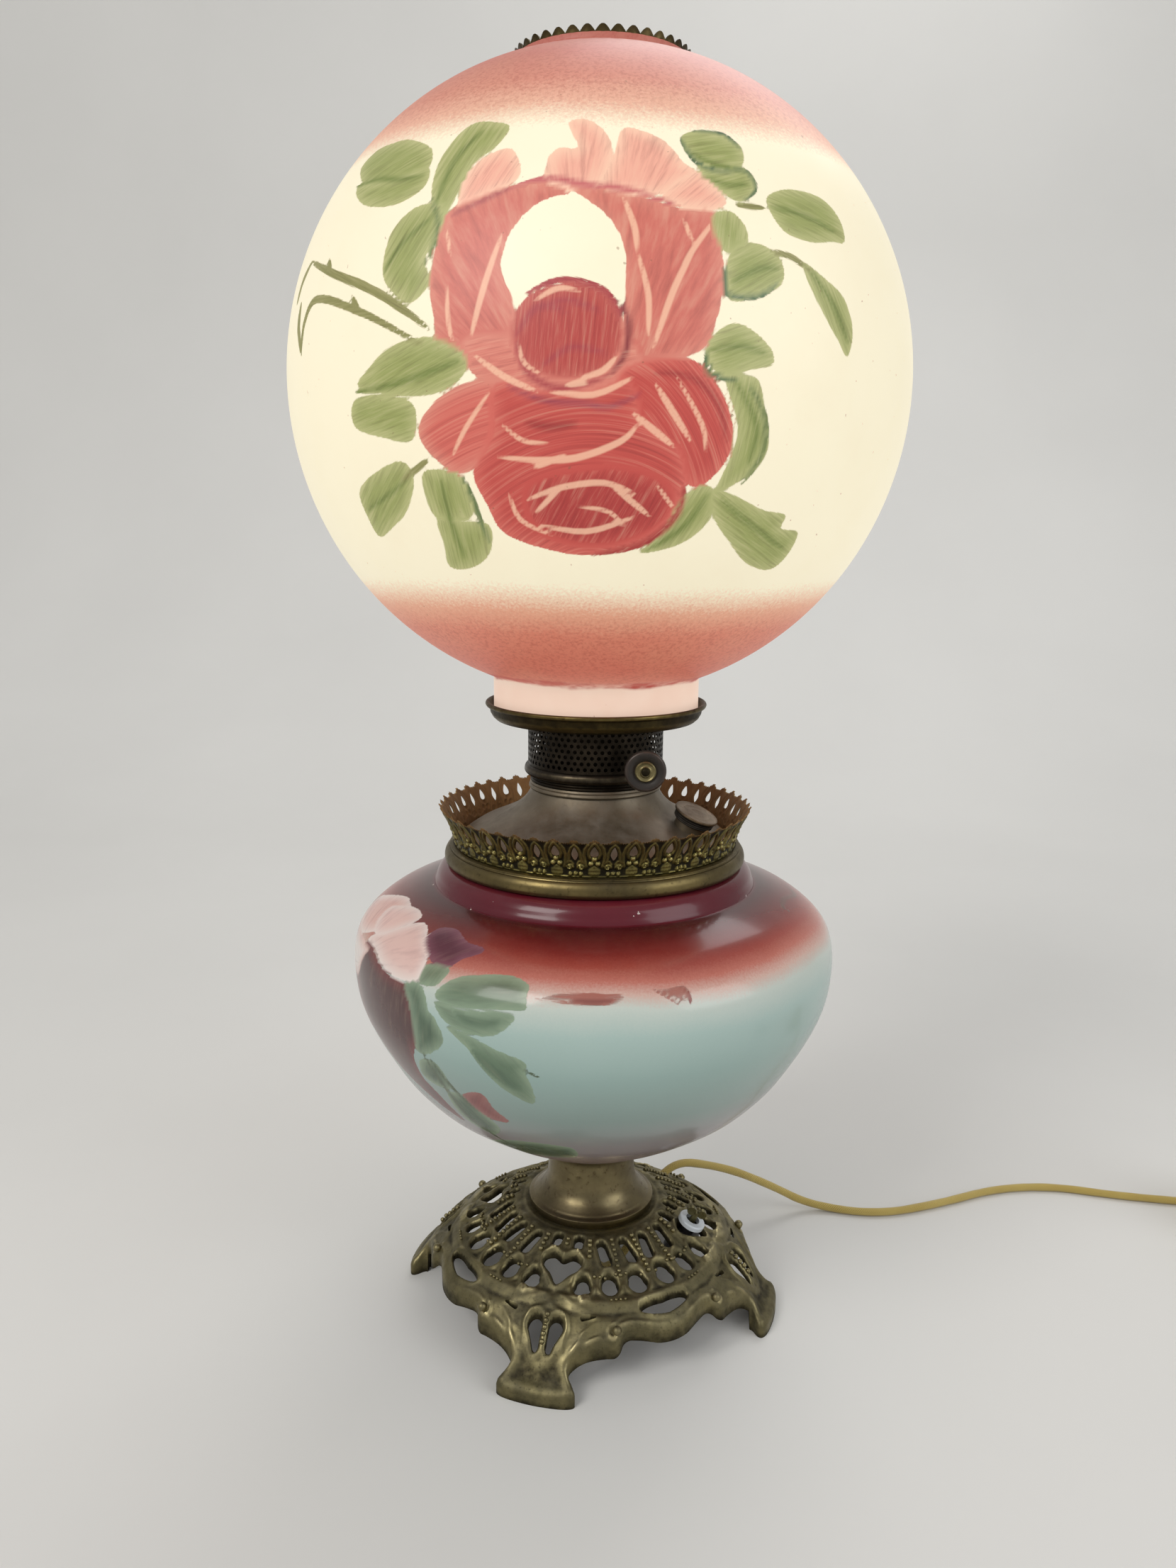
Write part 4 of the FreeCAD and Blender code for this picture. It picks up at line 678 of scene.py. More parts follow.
class Canvas:
    """The flattened surface with what has been painted on it. Its distances are in millimetres."""

    FAR = 40.0      # stands for "nothing near"
    REACH = 5.0     # how far round a shape its points are looked up
    HALO = 4.0      # how far outside a dab its colour and stroke are still kept, for the ragged edge
    RIM = 7.0       # how far the rim's colour reaches into a dab
    LAP = 22.0      # how wide a fan of strokes counts as for each radian

    def __init__(self, at, unit=(1.0, 1.0)):
        """`unit` is the size in millimetres of the two numbers that a painted place is written with."""
        count = len(at)
        self.at, self.unit, self.dabs = np.asarray(at, float) * unit, unit, 0
        self.colour, self.stroke = np.ones((count, 3)), np.zeros((count, 3))
        self.cover, self.wiped, self.seam = (np.full(count, sign * self.FAR) for sign in (-1, 1, 1))

    def drawn(self, points, steps, closed=False):
        """The smooth line through places as they are written."""
        return flowing(np.asarray(points, float) * self.unit, steps, closed)

    def near(self, line, margin):
        """The points within a margin of a line's or loop's box."""
        low, high = np.min(line, axis=0) - margin, np.max(line, axis=0) + margin
        return np.flatnonzero(((self.at >= low) & (self.at <= high)).all(axis=1))

    def lay(self, where, depth, main, rim, way):
        """Paint on the given points: main in the middle, rim towards the edge."""
        self.dabs += 1
        wet = (depth > 0) | ((depth > -self.HALO) & (depth > self.cover[where]))
        rows, deep = where[wet], depth[wet]
        covered = self.cover[where] > 0
        self.seam[rows[deep > 0]] = self.FAR
        self.seam[where[covered]] = np.minimum(self.seam[where[covered]], np.abs(depth[covered]))
        before = self.colour[rows].copy()
        share = np.clip(1.0 - deep / self.RIM, 0.0, 1.0)[:, None] ** 1.5
        fresh = pure(main) * (1 - share) + pure(rim) * share
        over = np.where(self.cover[rows] > 0, np.clip(0.35 + deep / 2.2, 0.0, 1.0), 1.0)[:, None]
        self.colour[rows] = before * (1 - over) + fresh * over
        x, y = self.at[rows].T
        if isinstance(way, tuple):
            along, across = np.hypot(x - way[0], y - way[1]), np.arctan2(y - way[1], x - way[0]) * self.LAP
            if len(way) == 3:
                along, across = across, along + 2.0 * np.sin(across * 0.15)
        else:
            turn = math.radians(way)
            along, across = x * math.cos(turn) + y * math.sin(turn), y * math.cos(turn) - x * math.sin(turn)
        self.stroke[rows] = np.column_stack([along, across, np.full(len(rows), self.dabs * 3.7)])
        self.wiped[rows[deep > 0]] = self.FAR
        self.cover[where] = np.maximum(self.cover[where], depth)

    def dab(self, loop, main, rim, way):
        """One brushed shape. Its brush goes at an angle, or fans out from a place, or turns round it.

        The way is a number of degrees, a place (two numbers), or a place and any third number."""
        loop = self.drawn(loop, 4, closed=True)
        where = self.near(loop, self.REACH)
        self.lay(where, depth_inside(self.at[where], loop), main, rim, way)

    def line(self, points, half, main):
        """One thin brushed line, thinner towards its ends."""
        points = self.drawn(points, 5)
        where = self.near(points, self.REACH + half)
        gap, share = line_distance(self.at[where], points)
        width = (half + 0.45) * np.sin(np.pi * np.clip(share, 0.02, 0.98)) ** 0.4
        way, depth, painted = points[-1] - points[0], width - gap, self.cover[where] > 1.0
        self.lay(where[~painted], depth[~painted], main, main, math.degrees(math.atan2(way[1], way[0])))
        part = np.clip(0.5 + depth[painted] / 1.7, 0.0, 1.0)[:, None]
        self.colour[where[painted]] = self.colour[where[painted]] * (1 - part) + pure(main) * part

    def lift(self, loop):
        """A shape left bare."""
        loop = self.drawn(loop, 4, closed=True)
        where = self.near(loop, self.REACH)
        self.cover[where] = np.minimum(self.cover[where], -depth_inside(self.at[where], loop))

    def wipe(self, points, half):
        """A light line wiped out of wet paint."""
        points = self.drawn(points, 4)
        where = self.near(points, self.HALO + half)
        gap, share = line_distance(self.at[where], points)
        width = 0.15 + (half + 0.15) * np.sin(np.pi * np.clip(share, 0.03, 0.97)) ** 0.5
        self.wiped[where] = np.minimum(self.wiped[where], gap - width)

    def hand_over(self, made):
        """Leaves the painting on a mesh, for its material to read."""
        give_colours(made, "paint", self.colour)
        for name in ("cover", "wiped", "seam"):
            give_numbers(made, name, getattr(self, name))
        layer = made.data.attributes.new("stroke", "FLOAT_VECTOR", "POINT")
        layer.data.foreach_set("vector", self.stroke.astype(np.float32).ravel())


brushwork, inn, out = group("brushwork", [
    ("Ragged", "number", 1.2), ("Streaks", "number", 0.5), ("Bristle", "number", 1.5), ("Thin", "number", 1.0)],
    [("Mask", "number"), ("Wiped", "number"), ("Color", "colour")])
parts = parted(brushwork, add(brushwork, "ShaderNodeAttribute", attribute_name="stroke").outputs["Vector"])
across = maths(brushwork, "MULTIPLY", parts[1], inn["Bristle"])
broad = noise(brushwork, joined(brushwork, maths(brushwork, "MULTIPLY", parts[0], 0.05),
    maths(brushwork, "MULTIPLY", across, 0.45), parts[2]), 1.0, 2.0)
hair = noise(brushwork, joined(brushwork, maths(brushwork, "MULTIPLY", parts[0], 0.12), across, parts[2]), 1.0, 3.0,
    0.65)
ragged = maths(brushwork, "MULTIPLY", maths(brushwork, "SUBTRACT", hair, 0.5), inn["Ragged"])
brushwork.links.new(between(brushwork, maths(brushwork, "ADD", reads(brushwork, "cover"), ragged), -0.3, 0.3),
    out.inputs["Mask"])
wobble = maths(brushwork, "ADD", reads(brushwork, "wiped"), maths(brushwork, "MULTIPLY", ragged, 0.2))
brushwork.links.new(between(brushwork, wobble, 0.45, -0.45), out.inputs["Wiped"])
paint = reads(brushwork, "paint", colour=True)
tonal = maths(brushwork, "ADD", maths(brushwork, "MULTIPLY", broad, 0.6), maths(brushwork, "MULTIPLY", hair, 0.4))
pull = maths(brushwork, "MULTIPLY",
             maths(brushwork, "MULTIPLY", maths(brushwork, "SUBTRACT", tonal, 0.5), inn["Streaks"]),
             between(brushwork, reads(brushwork, "seam"), 0.6, 2.0, 0.12, 1.0))
darker = mixed(brushwork, maths(brushwork, "MULTIPLY", pull, -2.2, clamp=True), paint,
    mixed(brushwork, 1.0, paint, (0.45, 0.36, 0.4, 1.0), "MULTIPLY"))
lighter = mixed(brushwork, maths(brushwork, "MULTIPLY", maths(brushwork, "MULTIPLY", pull, 1.6, clamp=True),
    inn["Thin"]), darker, tone(246, 226, 190))
brushwork.links.new(lighter, out.inputs["Color"])
print("brushwork group ready")

# %% [markdown]
# The globe is a blown ball 280 mm across with a straight neck below and a short lip above. Its outline
# is worked out from the circle, once outside and once 2.6 mm further in, and closed at both ends. The
# front has a column for each 1.5 mm, which is what the painting's edges need.

# %% The globe's glass
GLOBE_R, GLOBE_Z, NECK_R, NECK_LOW, MOUTH_R, LIP, GLASS = 139.8, 459.0, 49.2, 307.4, 38.5, 3.2, 2.6
FINE_STEP, COARSE_STEP = 1.42, 7.0


def ball_arc(radius, low_r, high_r, step):
    """Outline of the ball between two radii, from low to high."""
    start, end = -math.acos(low_r / radius), math.acos(high_r / radius)
    angles = np.linspace(start, end, int(round((end - start) * radius / step)) + 1)
    return np.column_stack([radius * np.cos(angles), GLOBE_Z + radius * np.sin(angles)])


outer = ball_arc(GLOBE_R, NECK_R + 0.8, MOUTH_R + 0.6, FINE_STEP)
inner = ball_arc(GLOBE_R - GLASS, NECK_R - GLASS, MOUTH_R - GLASS, COARSE_STEP)[::-1]
lip_top = outer[-1][1] + LIP
neck = [(NECK_R, z) for z in np.linspace(NECK_LOW + 0.6, outer[0][1] - 1.0, 8)]
outline = np.vstack([[(NECK_R - 0.6, NECK_LOW)], neck, outer,
                     [(MOUTH_R, lip_top - 2.2), (MOUTH_R, lip_top - 0.5), (MOUTH_R - 0.5, lip_top),
                      (MOUTH_R - GLASS + 0.5, lip_top), (MOUTH_R - GLASS, lip_top - 0.6)], inner,
                     [(NECK_R - GLASS, NECK_LOW + 0.6), (NECK_R - GLASS + 0.6, NECK_LOW)]])
front, back = np.arange(-76.0, 76.01, 0.62), np.arange(80.0, 281.0, 4.0)
points, faces, _, _ = lathe_mesh(outline, np.concatenate([front, back]))
globe = piece("painted_globe", points, faces, crisp=50.0)
print("globe", len(points), "points,", 2 * len(faces), "triangles")

# %% [markdown]
# The painting on the globe is the usual one for such lamps: two blown roses among leaves, laid thin
# over cream and lit from inside. The places below are millimetres on the ball, flattened about the
# point that faces the front: a place's distance from that point is kept, and so is its direction.
# Pale petals come first, then the rosy pair with its bare centre, the ball of the bud, and the deep
# red flower below with its wiped lines. Leaves and stems go round them.

# %% Painting the globe
spokes = points - np.array([0.0, 0.0, GLOBE_Z])
unit = spokes / np.linalg.norm(spokes, axis=1)[:, None]
away = np.arccos(np.clip(-unit[:, 1], -1.0, 1.0))
spread = GLOBE_R * away / np.maximum(np.hypot(unit[:, 0], unit[:, 2]), 1e-6)
ball = Canvas(np.column_stack([unit[:, 0] * spread, unit[:, 2] * spread]))
PALE, PALE_RIM, ROSE, ROSE_RIM = (236, 172, 150), (244, 200, 172), (204, 112, 98), (214, 134, 116)
DEEP, DEEP_RIM = (192, 76, 68), (206, 100, 88)
LEAF, LEAF_RIM, LEAF_DARK = (150, 158, 92), (178, 180, 122), (118, 132, 66)
for loop, way in (
        ([(-53, 52), (-54, 63), (-48, 73), (-41, 77), (-34, 77), (-30, 67), (-34, 61), (-44, 57)], 60.0),
        ([(-20, 61), (-20, 71), (-16, 76), (-9, 76), (-13, 88), (-5, 89), (2, 82), (4, 73), (0, 61), (-8, 57)],
            (-10.0, 30.0)),
        ([(0, 60), (5, 74), (8, 85), (16, 84), (24, 80), (31, 71), (35, 67), (22, 57), (8, 56)], (4.0, 30.0)),
        ([(22, 57), (35, 68), (42, 63), (47, 57), (43, 53), (31, 52)], 45.0)):
    ball.dab(loop, PALE, PALE_RIM, way)
ball.dab([(-59, 52), (-46, 58), (-34, 61), (-19, 61), (-12, 56), (-22, 49), (-33, 39), (-36, 31), (-32, 21),
    (-30, 11), (-28, -2), (-39, -3), (-49, 1), (-60, 1), (-62, 13), (-64, 28)], ROSE, ROSE_RIM, (-10.0, -30.0))
ball.dab([(-12, 60), (8, 57), (29, 52), (41, 52), (44, 39), (45, 26), (42, 12), (38, 3), (25, -3), (14, -5),
    (5, -4), (8, 11), (9, 24), (8, 37), (3, 47), (-5, 54)], ROSE, ROSE_RIM, (0.0, -40.0))
ball.dab([(-50, 6), (-30, 6), (-20, -4), (-3, -6), (12, 4), (14, -10), (-3, -16), (-18, -16), (-27, -17), (-36, -12),
    (-47, -6)],
         (212, 124, 108), ROSE_RIM, 10.0)
ball.line([(-34, 60), (-20, 63), (-6, 60), (10, 58), (28, 53)], 0.9, (196, 104, 104))
ball.lift([(-13, 56), (-4, 53), (3, 47), (8, 38), (9, 28), (6, 19), (-12, 17), (-30, 20), (-35, 29), (-34, 40),
    (-28, 49), (-21, 54)])
ball.dab([(-70, -25), (-62, -16), (-50, -10), (-37, -9), (-25, -16), (-29, -25), (-38, -35), (-53, -43), (-62, -39),
    (-69, -32)],
         DEEP_RIM, ROSE_RIM, (-20.0, -120.0, 1.0))
ball.dab([(10, -4), (32, -1), (44, -11), (50, -24), (49, -36), (40, -46), (33, -45), (25, -34), (12, -26), (5, -16)],
    DEEP, DEEP_RIM, (-6.0, -52.0, 1.0))
ball.dab([(-38, -10), (-22, -12), (-5, -13), (11, -9), (17, -24), (30, -33), (33, -45), (28, -59), (18, -69),
    (-3, -74), (-20, -72), (-37, -66), (-43, -55), (-48, -42), (-40, -28)], DEEP, DEEP_RIM, (-4.0, -104.0, 1.0))
ball.dab([(-26, -46), (-12, -41), (6, -39), (22, -43), (29, -52), (22, -63), (3, -70), (-18, -67), (-27, -58)],
    (172, 58, 54), DEEP, 62.0)
ball.dab([(-12, 24), (-4, 24), (3, 20), (8, 10), (7, 1), (2, -6), (-11, -9), (-24, -6), (-31, 3), (-31, 12),
    (-25, 20)], (180, 72, 66), (190, 92, 82), 84.0)
for line in ([(-27, 20), (-14, 25), (2, 21), (8, 10)], [(-24, 14), (-12, 18), (0, 14)],
        [(-30, 6), (-22, 16), (-12, 14)], [(-20, -4), (-10, 2), (2, 0)],
        [(-30, 4), (-26, -6), (-14, -12), (2, -8)]):
    ball.line(line, 0.7, (168, 66, 70))
for points_of, half in (([(-36, 42), (-42, 24), (-47, 6)], 0.9), ([(-57, 26), (-56, 12), (-54, 4)], 0.7),
        ([(-58, 46), (-56, 36)], 0.5), ([(8, 55), (12, 44), (13, 35)], 0.9), ([(13, 35), (17, 20), (17, 6)], 0.8),
        ([(35, 40), (26, 22), (19, 2)], 0.9), ([(42, 49), (34, 38), (29, 30)], 0.7), ([(30, 48), (33, 40)], 0.6),
        ([(-18, -13), (-2, -14), (12, -8)], 0.8), ([(-46, 0), (-34, -8), (-22, -13)], 0.9),
        ([(-40, -13), (-50, -26), (-56, -36)], 0.6),
        ([(-38, -36), (-24, -37), (-8, -36), (8, -30), (14, -24)], 1.0), ([(-24, -40), (-12, -35)], 0.8),
        ([(12, -20), (28, -32)], 1.0), ([(20, -10), (34, -30)], 1.0), ([(28, -8), (38, -24), (40, -34)], 0.7),
        ([(-34, -50), (-30, -60), (-18, -66)], 0.7), ([(-27, -52), (-14, -47), (2, -45), (14, -49)], 0.9),
        ([(-14, -47), (-24, -57)], 0.7), ([(4, -45), (20, -58)], 0.9), ([(-22, -62), (-4, -64), (14, -58)], 0.9),
        ([(-8, -54), (4, -56), (10, -62)], 0.6), ([(22, -46), (30, -56)], 0.6),
        ([(-36, -24), (-28, -30), (-18, -31)], 0.6), ([(-23, 18), (-15, 22), (-7, 21)], 0.7),
        ([(-29, 4), (-27, -3), (-21, -7)], 0.6), ([(-6, -8), (1, -6), (6, -1)], 0.8),
        ([(-12, -11), (-7, -10), (-4, -10)], 0.9)):
    ball.wipe(points_of, half)
for loop, way in (
        ([(-116, 94), (-107, 101), (-94, 99), (-84, 96), (-70, 85), (-71, 74), (-86, 72), (-105, 78)], 15.0),
        ([(-113, 80), (-98, 78), (-84, 76), (-70, 76), (-71, 66), (-86, 62), (-104, 68)], 8.0),
        ([(-66, 60), (-66, 74), (-60, 87), (-52, 94), (-42, 92), (-36, 88), (-41, 79), (-49, 73), (-55, 60),
            (-60, 52)], 62.0),
        ([(-87, 38), (-84, 50), (-74, 58), (-60, 57), (-61, 45), (-67, 36), (-64, 27), (-73, 20), (-81, 25),
            (-86, 31)], 55.0),
        ([(-100, -10), (-94, -3), (-81, 5), (-62, 7), (-49, 0), (-50, -7), (-60, -13), (-78, -14)], 22.0),
        ([(-104, -16), (-92, -13), (-76, -15), (-71, -20), (-74, -31), (-88, -30), (-104, -26)], 15.0),
        ([(-108, -54), (-96, -45), (-80, -39), (-75, -47), (-81, -60), (-90, -68), (-101, -75), (-106, -66)], 50.0),
        ([(-70, -43), (-58, -42), (-52, -46), (-49, -57), (-54, -62), (-66, -62), (-70, -54)], 100.0),
        ([(-66, -62), (-54, -62), (-43, -63), (-44, -75), (-53, -83), (-64, -84), (-65, -72)], 95.0),
        ([(30, 82), (36, 87), (46, 88), (55, 84), (55, 74), (44, 70), (34, 74)], 20.0),
        ([(36, 70), (46, 70), (56, 73), (60, 66), (54, 58), (46, 60)], 25.0),
        ([(64, 60), (70, 66), (80, 69), (94, 69), (103, 62), (104, 52), (96, 50), (84, 47), (71, 49)], -10.0),
        ([(79, 38), (91, 33), (101, 27), (106, 15), (103, 4), (97, 10), (90, 18), (83, 28)], -60.0),
        ([(41, 51), (49, 53), (55, 46), (53, 39), (46, 37), (41, 44)], 80.0),
        ([(46, 32), (50, 40), (60, 42), (69, 37), (69, 28), (58, 22), (47, 20)], 30.0),
        ([(38, 1), (43, 9), (50, 12), (58, 9), (65, 3), (65, -2), (56, -4), (45, -7)], 20.0),
        ([(46, -7), (54, -6), (60, -8), (63, -18), (66, -31), (62, -40), (53, -46), (45, -49), (50, -36), (52, -24)],
            80.0),
        ([(16, -73), (24, -66), (31, -52), (40, -46), (46, -50), (44, -60), (36, -68), (26, -72)], 60.0),
        ([(44, -48), (55, -51), (67, -57), (79, -60), (78, -66), (88, -69), (85, -80), (77, -86), (64, -81),
            (54, -70), (45, -58)], -35.0)):
    ball.dab(loop, LEAF, LEAF_RIM, way)
for line, half in (([(-114, 82), (-98, 79), (-84, 74), (-72, 72)], 0.9), ([(-86, 34), (-78, 44), (-66, 52)], 0.7),
        ([(-64, 58), (-58, 76), (-48, 88)], 0.8), ([(-102, -12), (-84, -10), (-66, -6), (-52, -2)], 0.9),
        ([(-104, -62), (-90, -54), (-78, -46)], 0.7), ([(-62, -46), (-60, -62), (-56, -78)], 0.8),
        ([(34, 76), (44, 72), (56, 72)], 0.8), ([(66, 58), (82, 58), (98, 55)], 0.8),
        ([(82, 36), (94, 24), (103, 10)], 0.7), ([(48, 26), (58, 32), (68, 34)], 0.7),
        ([(50, -8), (60, -24), (58, -38)], 0.8), ([(48, -52), (64, -64), (82, -76)], 0.8),
        ([(20, -72), (34, -62), (42, -50)], 0.8), ([(40, 2), (52, 4), (62, 2)], 0.6),
        ([(38, 66), (48, 64), (57, 66)], 0.6)):
    ball.line(line, half, LEAF_DARK)
for line, half in (([(-64, 10), (-89, 26), (-121, 41), (-143, 53)], 1.5),
        ([(-68, 5), (-99, 20), (-131, 31), (-143, 23), (-146, 10)], 1.4),
        ([(-143, 53), (-153, 45), (-158, 35)], 1.6), ([(-121, 41), (-124, 48)], 1.0),
        ([(-99, 20), (-104, 27)], 0.9), ([(-150, 34), (-151, 22), (-146, 8)], 1.6), ([(51, 56), (63, 57)], 0.9),
        ([(65, 40), (74, 39), (83, 35)], 0.9), ([(-81, -47), (-67, -38)], 0.9)):
    ball.line(line, half, (140, 138, 84))
for line, half, main in (([(7, 18), (10, 10), (9, 0), (4, -7)], 0.5, (132, 50, 56)),
        ([(-33, -11), (-20, -16), (-6, -17), (4, -18), (14, -14)], 0.5, (156, 66, 78)),
        ([(20, -6), (34, -8), (44, -17), (48, -30)], 0.9, (168, 62, 58)),
        ([(33, -46), (30, -58), (18, -69), (-2, -74)], 1.0, (164, 54, 50)),
        ([(-26, -24), (-18, -25), (-8, -24)], 1.0, (156, 50, 48)),
        ([(-34, 60), (-42, 57), (-56, 52)], 0.6, (176, 92, 90)),
        ([(30, 82), (34, 74), (40, 70), (50, 70)], 0.6, (84, 108, 74)),
        ([(36, 87), (48, 88), (56, 82)], 0.5, (84, 108, 74)),
        ([(46, 70), (56, 72), (60, 65), (54, 58)], 0.5, (92, 114, 76)),
        ([(46, 32), (46, 22), (58, 22), (68, 28)], 0.6, (88, 112, 78)),
        ([(38, 2), (40, -6), (50, -8)], 0.6, (88, 112, 72)),
        ([(56, -10), (63, -20), (64, -34), (56, -46)], 0.8, (108, 124, 70)),
        ([(-52, -44), (-48, -56), (-44, -70)], 0.7, (100, 118, 70)),
        ([(-66, 60), (-62, 48), (-66, 34)], 0.6, (110, 126, 72))):
    ball.line(line, half, main)
ball.hand_over(globe)
print(ball.dabs, "dabs,", int((ball.cover > 0).sum()), "painted points")

# %% [markdown]
# The globe's finish: cream glass with salmon bands sprayed on its top and bottom, and the brushwork
# over them. It is lit from inside, so about two fifths of what is seen is the glass's own glow, and
# the rest comes back from the room like any paint. The glow carries the same colours, because the
# light shines through the paint. The sprayed edges break into a fine grain of droplets.

# %% The globe's finish
globe_paint, tree, shader = coat_of("globe_paint", Roughness=0.48, Coat_Weight=0.08, Coat_Roughness=0.3,
    Emission_Strength=0.52)
place = here(tree)
height = maths(tree, "SUBTRACT", maths(tree, "MULTIPLY", parted(tree, place)[2], 1 / MM), GLOBE_Z)
drift = wander(tree, place, 9.0, 2.0, 0.5, 10.0)
grain = wander(tree, place, 900.0, 2.0, 0.7, 13.0)
sprayed = maths(tree, "ADD", height, maths(tree, "ADD", drift, grain))
CREAM = tone(250, 242, 212)
bands = ramp(tree, add(tree, "ShaderNodeMapRange", {
    "Value": sprayed, "From Min": -150.0, "From Max": 150.0}).outputs[0], [
    (0.0, tone(192, 98, 82)), (0.09, tone(204, 112, 92)), (0.155, tone(214, 130, 106)), (0.19, tone(228, 168, 138)),
    (0.225, CREAM), (0.77, CREAM), (0.805, tone(230, 178, 152)), (0.845, tone(206, 134, 114)),
    (0.9, tone(188, 108, 94)), (1.0, tone(166, 88, 78))])
age = between(tree, noise(tree, place, 24.0, 5.0, 0.6), 0.35, 0.8, 0.0, 0.10)
ground = mixed(tree, age, bands, tone(220, 198, 156))
stroked = use(tree, brushwork, Ragged=1.5, Streaks=1.1, Bristle=2.0, Thin=0.5)
painted = mixed(tree, stroked["Mask"], ground, stroked["Color"])
painted = mixed(tree, maths(tree, "MULTIPLY", maths(tree, "MULTIPLY", stroked["Wiped"], stroked["Mask"]), 0.72),
    painted, tone(244, 196, 164))
neck_share = between(tree, height, -127.0, -131.5)
neck_tone = mixed(tree, noise(tree, place, 60.0, 3.0), tone(240, 208, 186), tone(248, 224, 204))
painted = mixed(tree, neck_share, painted, neck_tone)
uneven = maths(tree, "ADD", height, maths(tree, "ADD", 129.5, wander(tree, place, 45.0, 3.0, 0.5, 4.0)))
seam = maths(tree, "SUBTRACT", 1.0, between(tree, maths(tree, "ABSOLUTE", uneven), 0.9, 2.6))
painted = mixed(tree, maths(tree, "MULTIPLY", seam, between(
    tree, noise(tree, place, 70.0, 3.0, 0.6), 0.35, 0.6, 0.25, 0.95)), painted, tone(176, 58, 50))
sprayed_on = maths(tree, "MAXIMUM", between(tree, height, 78.0, 104.0),
    maths(tree, "MULTIPLY", between(tree, height, -88.0, -108.0), maths(tree, "SUBTRACT", 1.0, neck_share)))
painted = mixed(tree, maths(tree, "MULTIPLY", sprayed_on, between(
    tree, noise(tree, place, 620.0, 2.0, 0.7), 0.42, 0.7, 0.0, 0.42)), painted, tone(160, 72, 60))
specks = between(tree, noise(tree, place, 420.0, 1.0, 0.5), 0.77, 0.82, 0.0, 0.45)
painted = mixed(tree, specks, painted, tone(120, 84, 60))
wire(tree, shader, Base_Color=mixed(tree, 1.0, painted, (0.6, 0.58, 0.58, 1.0), "MULTIPLY"), Emission_Color=painted,
     Normal=raised(tree, stroked["Mask"], 0.05))
globe.data.materials.append(globe_paint)
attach(globe, "globe")
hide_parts("globe")
print("globe finished")

# %% [markdown]
# The vase is a blown bowl 236 mm across with a bulged ring at its neck. Its outline is the part's own
# table of shares, drawn through smoothly and spaced evenly. Where the painting lies, at the front and
# left, there is a column for each 1.4 mm. The distance up the outline is kept for each point, because
# the ground colours are sprayed in bands that follow it.

# %% The vase's glass
VASE_R, VASE_LOW, VASE_H, VASE_WALL, VASE_HOLE = 118.2, 86.0, 153.0, 4.0, 7.0
INNER_ARC, RING_GAP = 150.0, 2.0
vase_shares = [(0.2, 0.0), (0.262, 0.012), (0.34, 0.042), (0.406, 0.072), (0.508, 0.118), (0.609, 0.17),
               (0.694, 0.219), (0.761, 0.271), (0.82, 0.326), (0.874, 0.392), (0.922, 0.457), (0.962, 0.523),
               (0.988, 0.588), (1.0, 0.667), (0.9965, 0.732), (0.975, 0.784), (0.926, 0.828), (0.855, 0.868),
               (0.783, 0.894), (0.72, 0.912), (0.668, 0.9235)]
neck_shares = [(0.668, 0.9235), (0.6655, 0.932), (0.6585, 0.942), (0.6535, 0.953), (0.646, 0.963), (0.636, 0.972),
    (0.622, 0.98), (0.5965, 0.986)]
outer = spaced(flowing([(VASE_R * r, VASE_LOW + VASE_H * z) for r, z in vase_shares], 6), 1.35)
ring_line = spaced(flowing([(VASE_R * r, VASE_LOW + VASE_H * z) for r, z in neck_shares], 5), 1.1)[1:]
inner = spaced(moved_in(outer, VASE_WALL), COARSE_STEP)[::-1]
inner = inner[(inner[:, 1] > VASE_LOW + VASE_WALL) & (inner[:, 0] > VASE_HOLE + 1.0)]
outline = np.vstack([[(VASE_HOLE, VASE_LOW)], outer, ring_line,
                     [(64.4, VASE_LOW + 0.986 * VASE_H), (64.0, VASE_LOW + 0.982 * VASE_H),
                      (64.0, VASE_LOW + 0.96 * VASE_H), (VASE_R * 0.6585 - VASE_WALL, VASE_LOW + VASE_H * 0.948)],
                     inner, [(VASE_HOLE, VASE_LOW + VASE_WALL)]])
runs = lengths_along(outer)
arc_rows = np.full(len(outline), INNER_ARC)
up_to_ring = np.concatenate([[0.0], runs, runs[-1] + RING_GAP + np.arange(len(ring_line))])
arc_rows[:len(up_to_ring)] = up_to_ring
painted_side, plain_side = np.arange(-112.0, 32.0, 0.68), np.arange(34.0, 246.0, 2.6)
points, faces, rows, longitude = lathe_mesh(outline, np.concatenate([painted_side, plain_side]))
vase = piece("painted_vase", points, faces, crisp=50.0)
arc = arc_rows[rows]
give_numbers(vase, "arc", arc)
print("vase", 2 * len(faces), "triangles, outline", round(runs[-1]), "mm long")

# %% [markdown]
# On the vase the painting sits at the left: a white and pink blossom at the shoulder, dark maroon
# petals that hang down the side, a purple bud and green leaves that reach to the front, with a few
# loose strokes. Places are degrees round the vase from the front and millimetres up its outline.

# %% Painting the vase
MM_A_DEGREE = 2.0
lap = np.where(longitude > 180.0, longitude - 360.0, longitude)
bowl = Canvas(np.column_stack([lap, arc]), unit=(MM_A_DEGREE, 1.0))
WHITE, BLUSH, WINE, WINE_RIM = (236, 224, 218), (224, 182, 172), (70, 10, 16), (112, 34, 36)
BLUE_LEAF, LEAF_EDGE, DEEP_LEAF = (94, 116, 90), (136, 156, 130), (70, 92, 68)
bowl.dab([(-66, 168), (-58, 164), (-52, 161), (-44, 160), (-42, 152), (-40, 140), (-44, 126), (-45, 112),
    (-42, 102), (-38, 84), (-48, 96), (-58, 108), (-66, 126), (-70, 142), (-70, 158)], WINE, WINE_RIM, 80.0)
bowl.dab([(-84, 160), (-76, 164), (-68, 160), (-70, 142), (-66, 126), (-74, 120), (-84, 130), (-88, 146)],
    (94, 22, 26), WINE_RIM, 100.0)
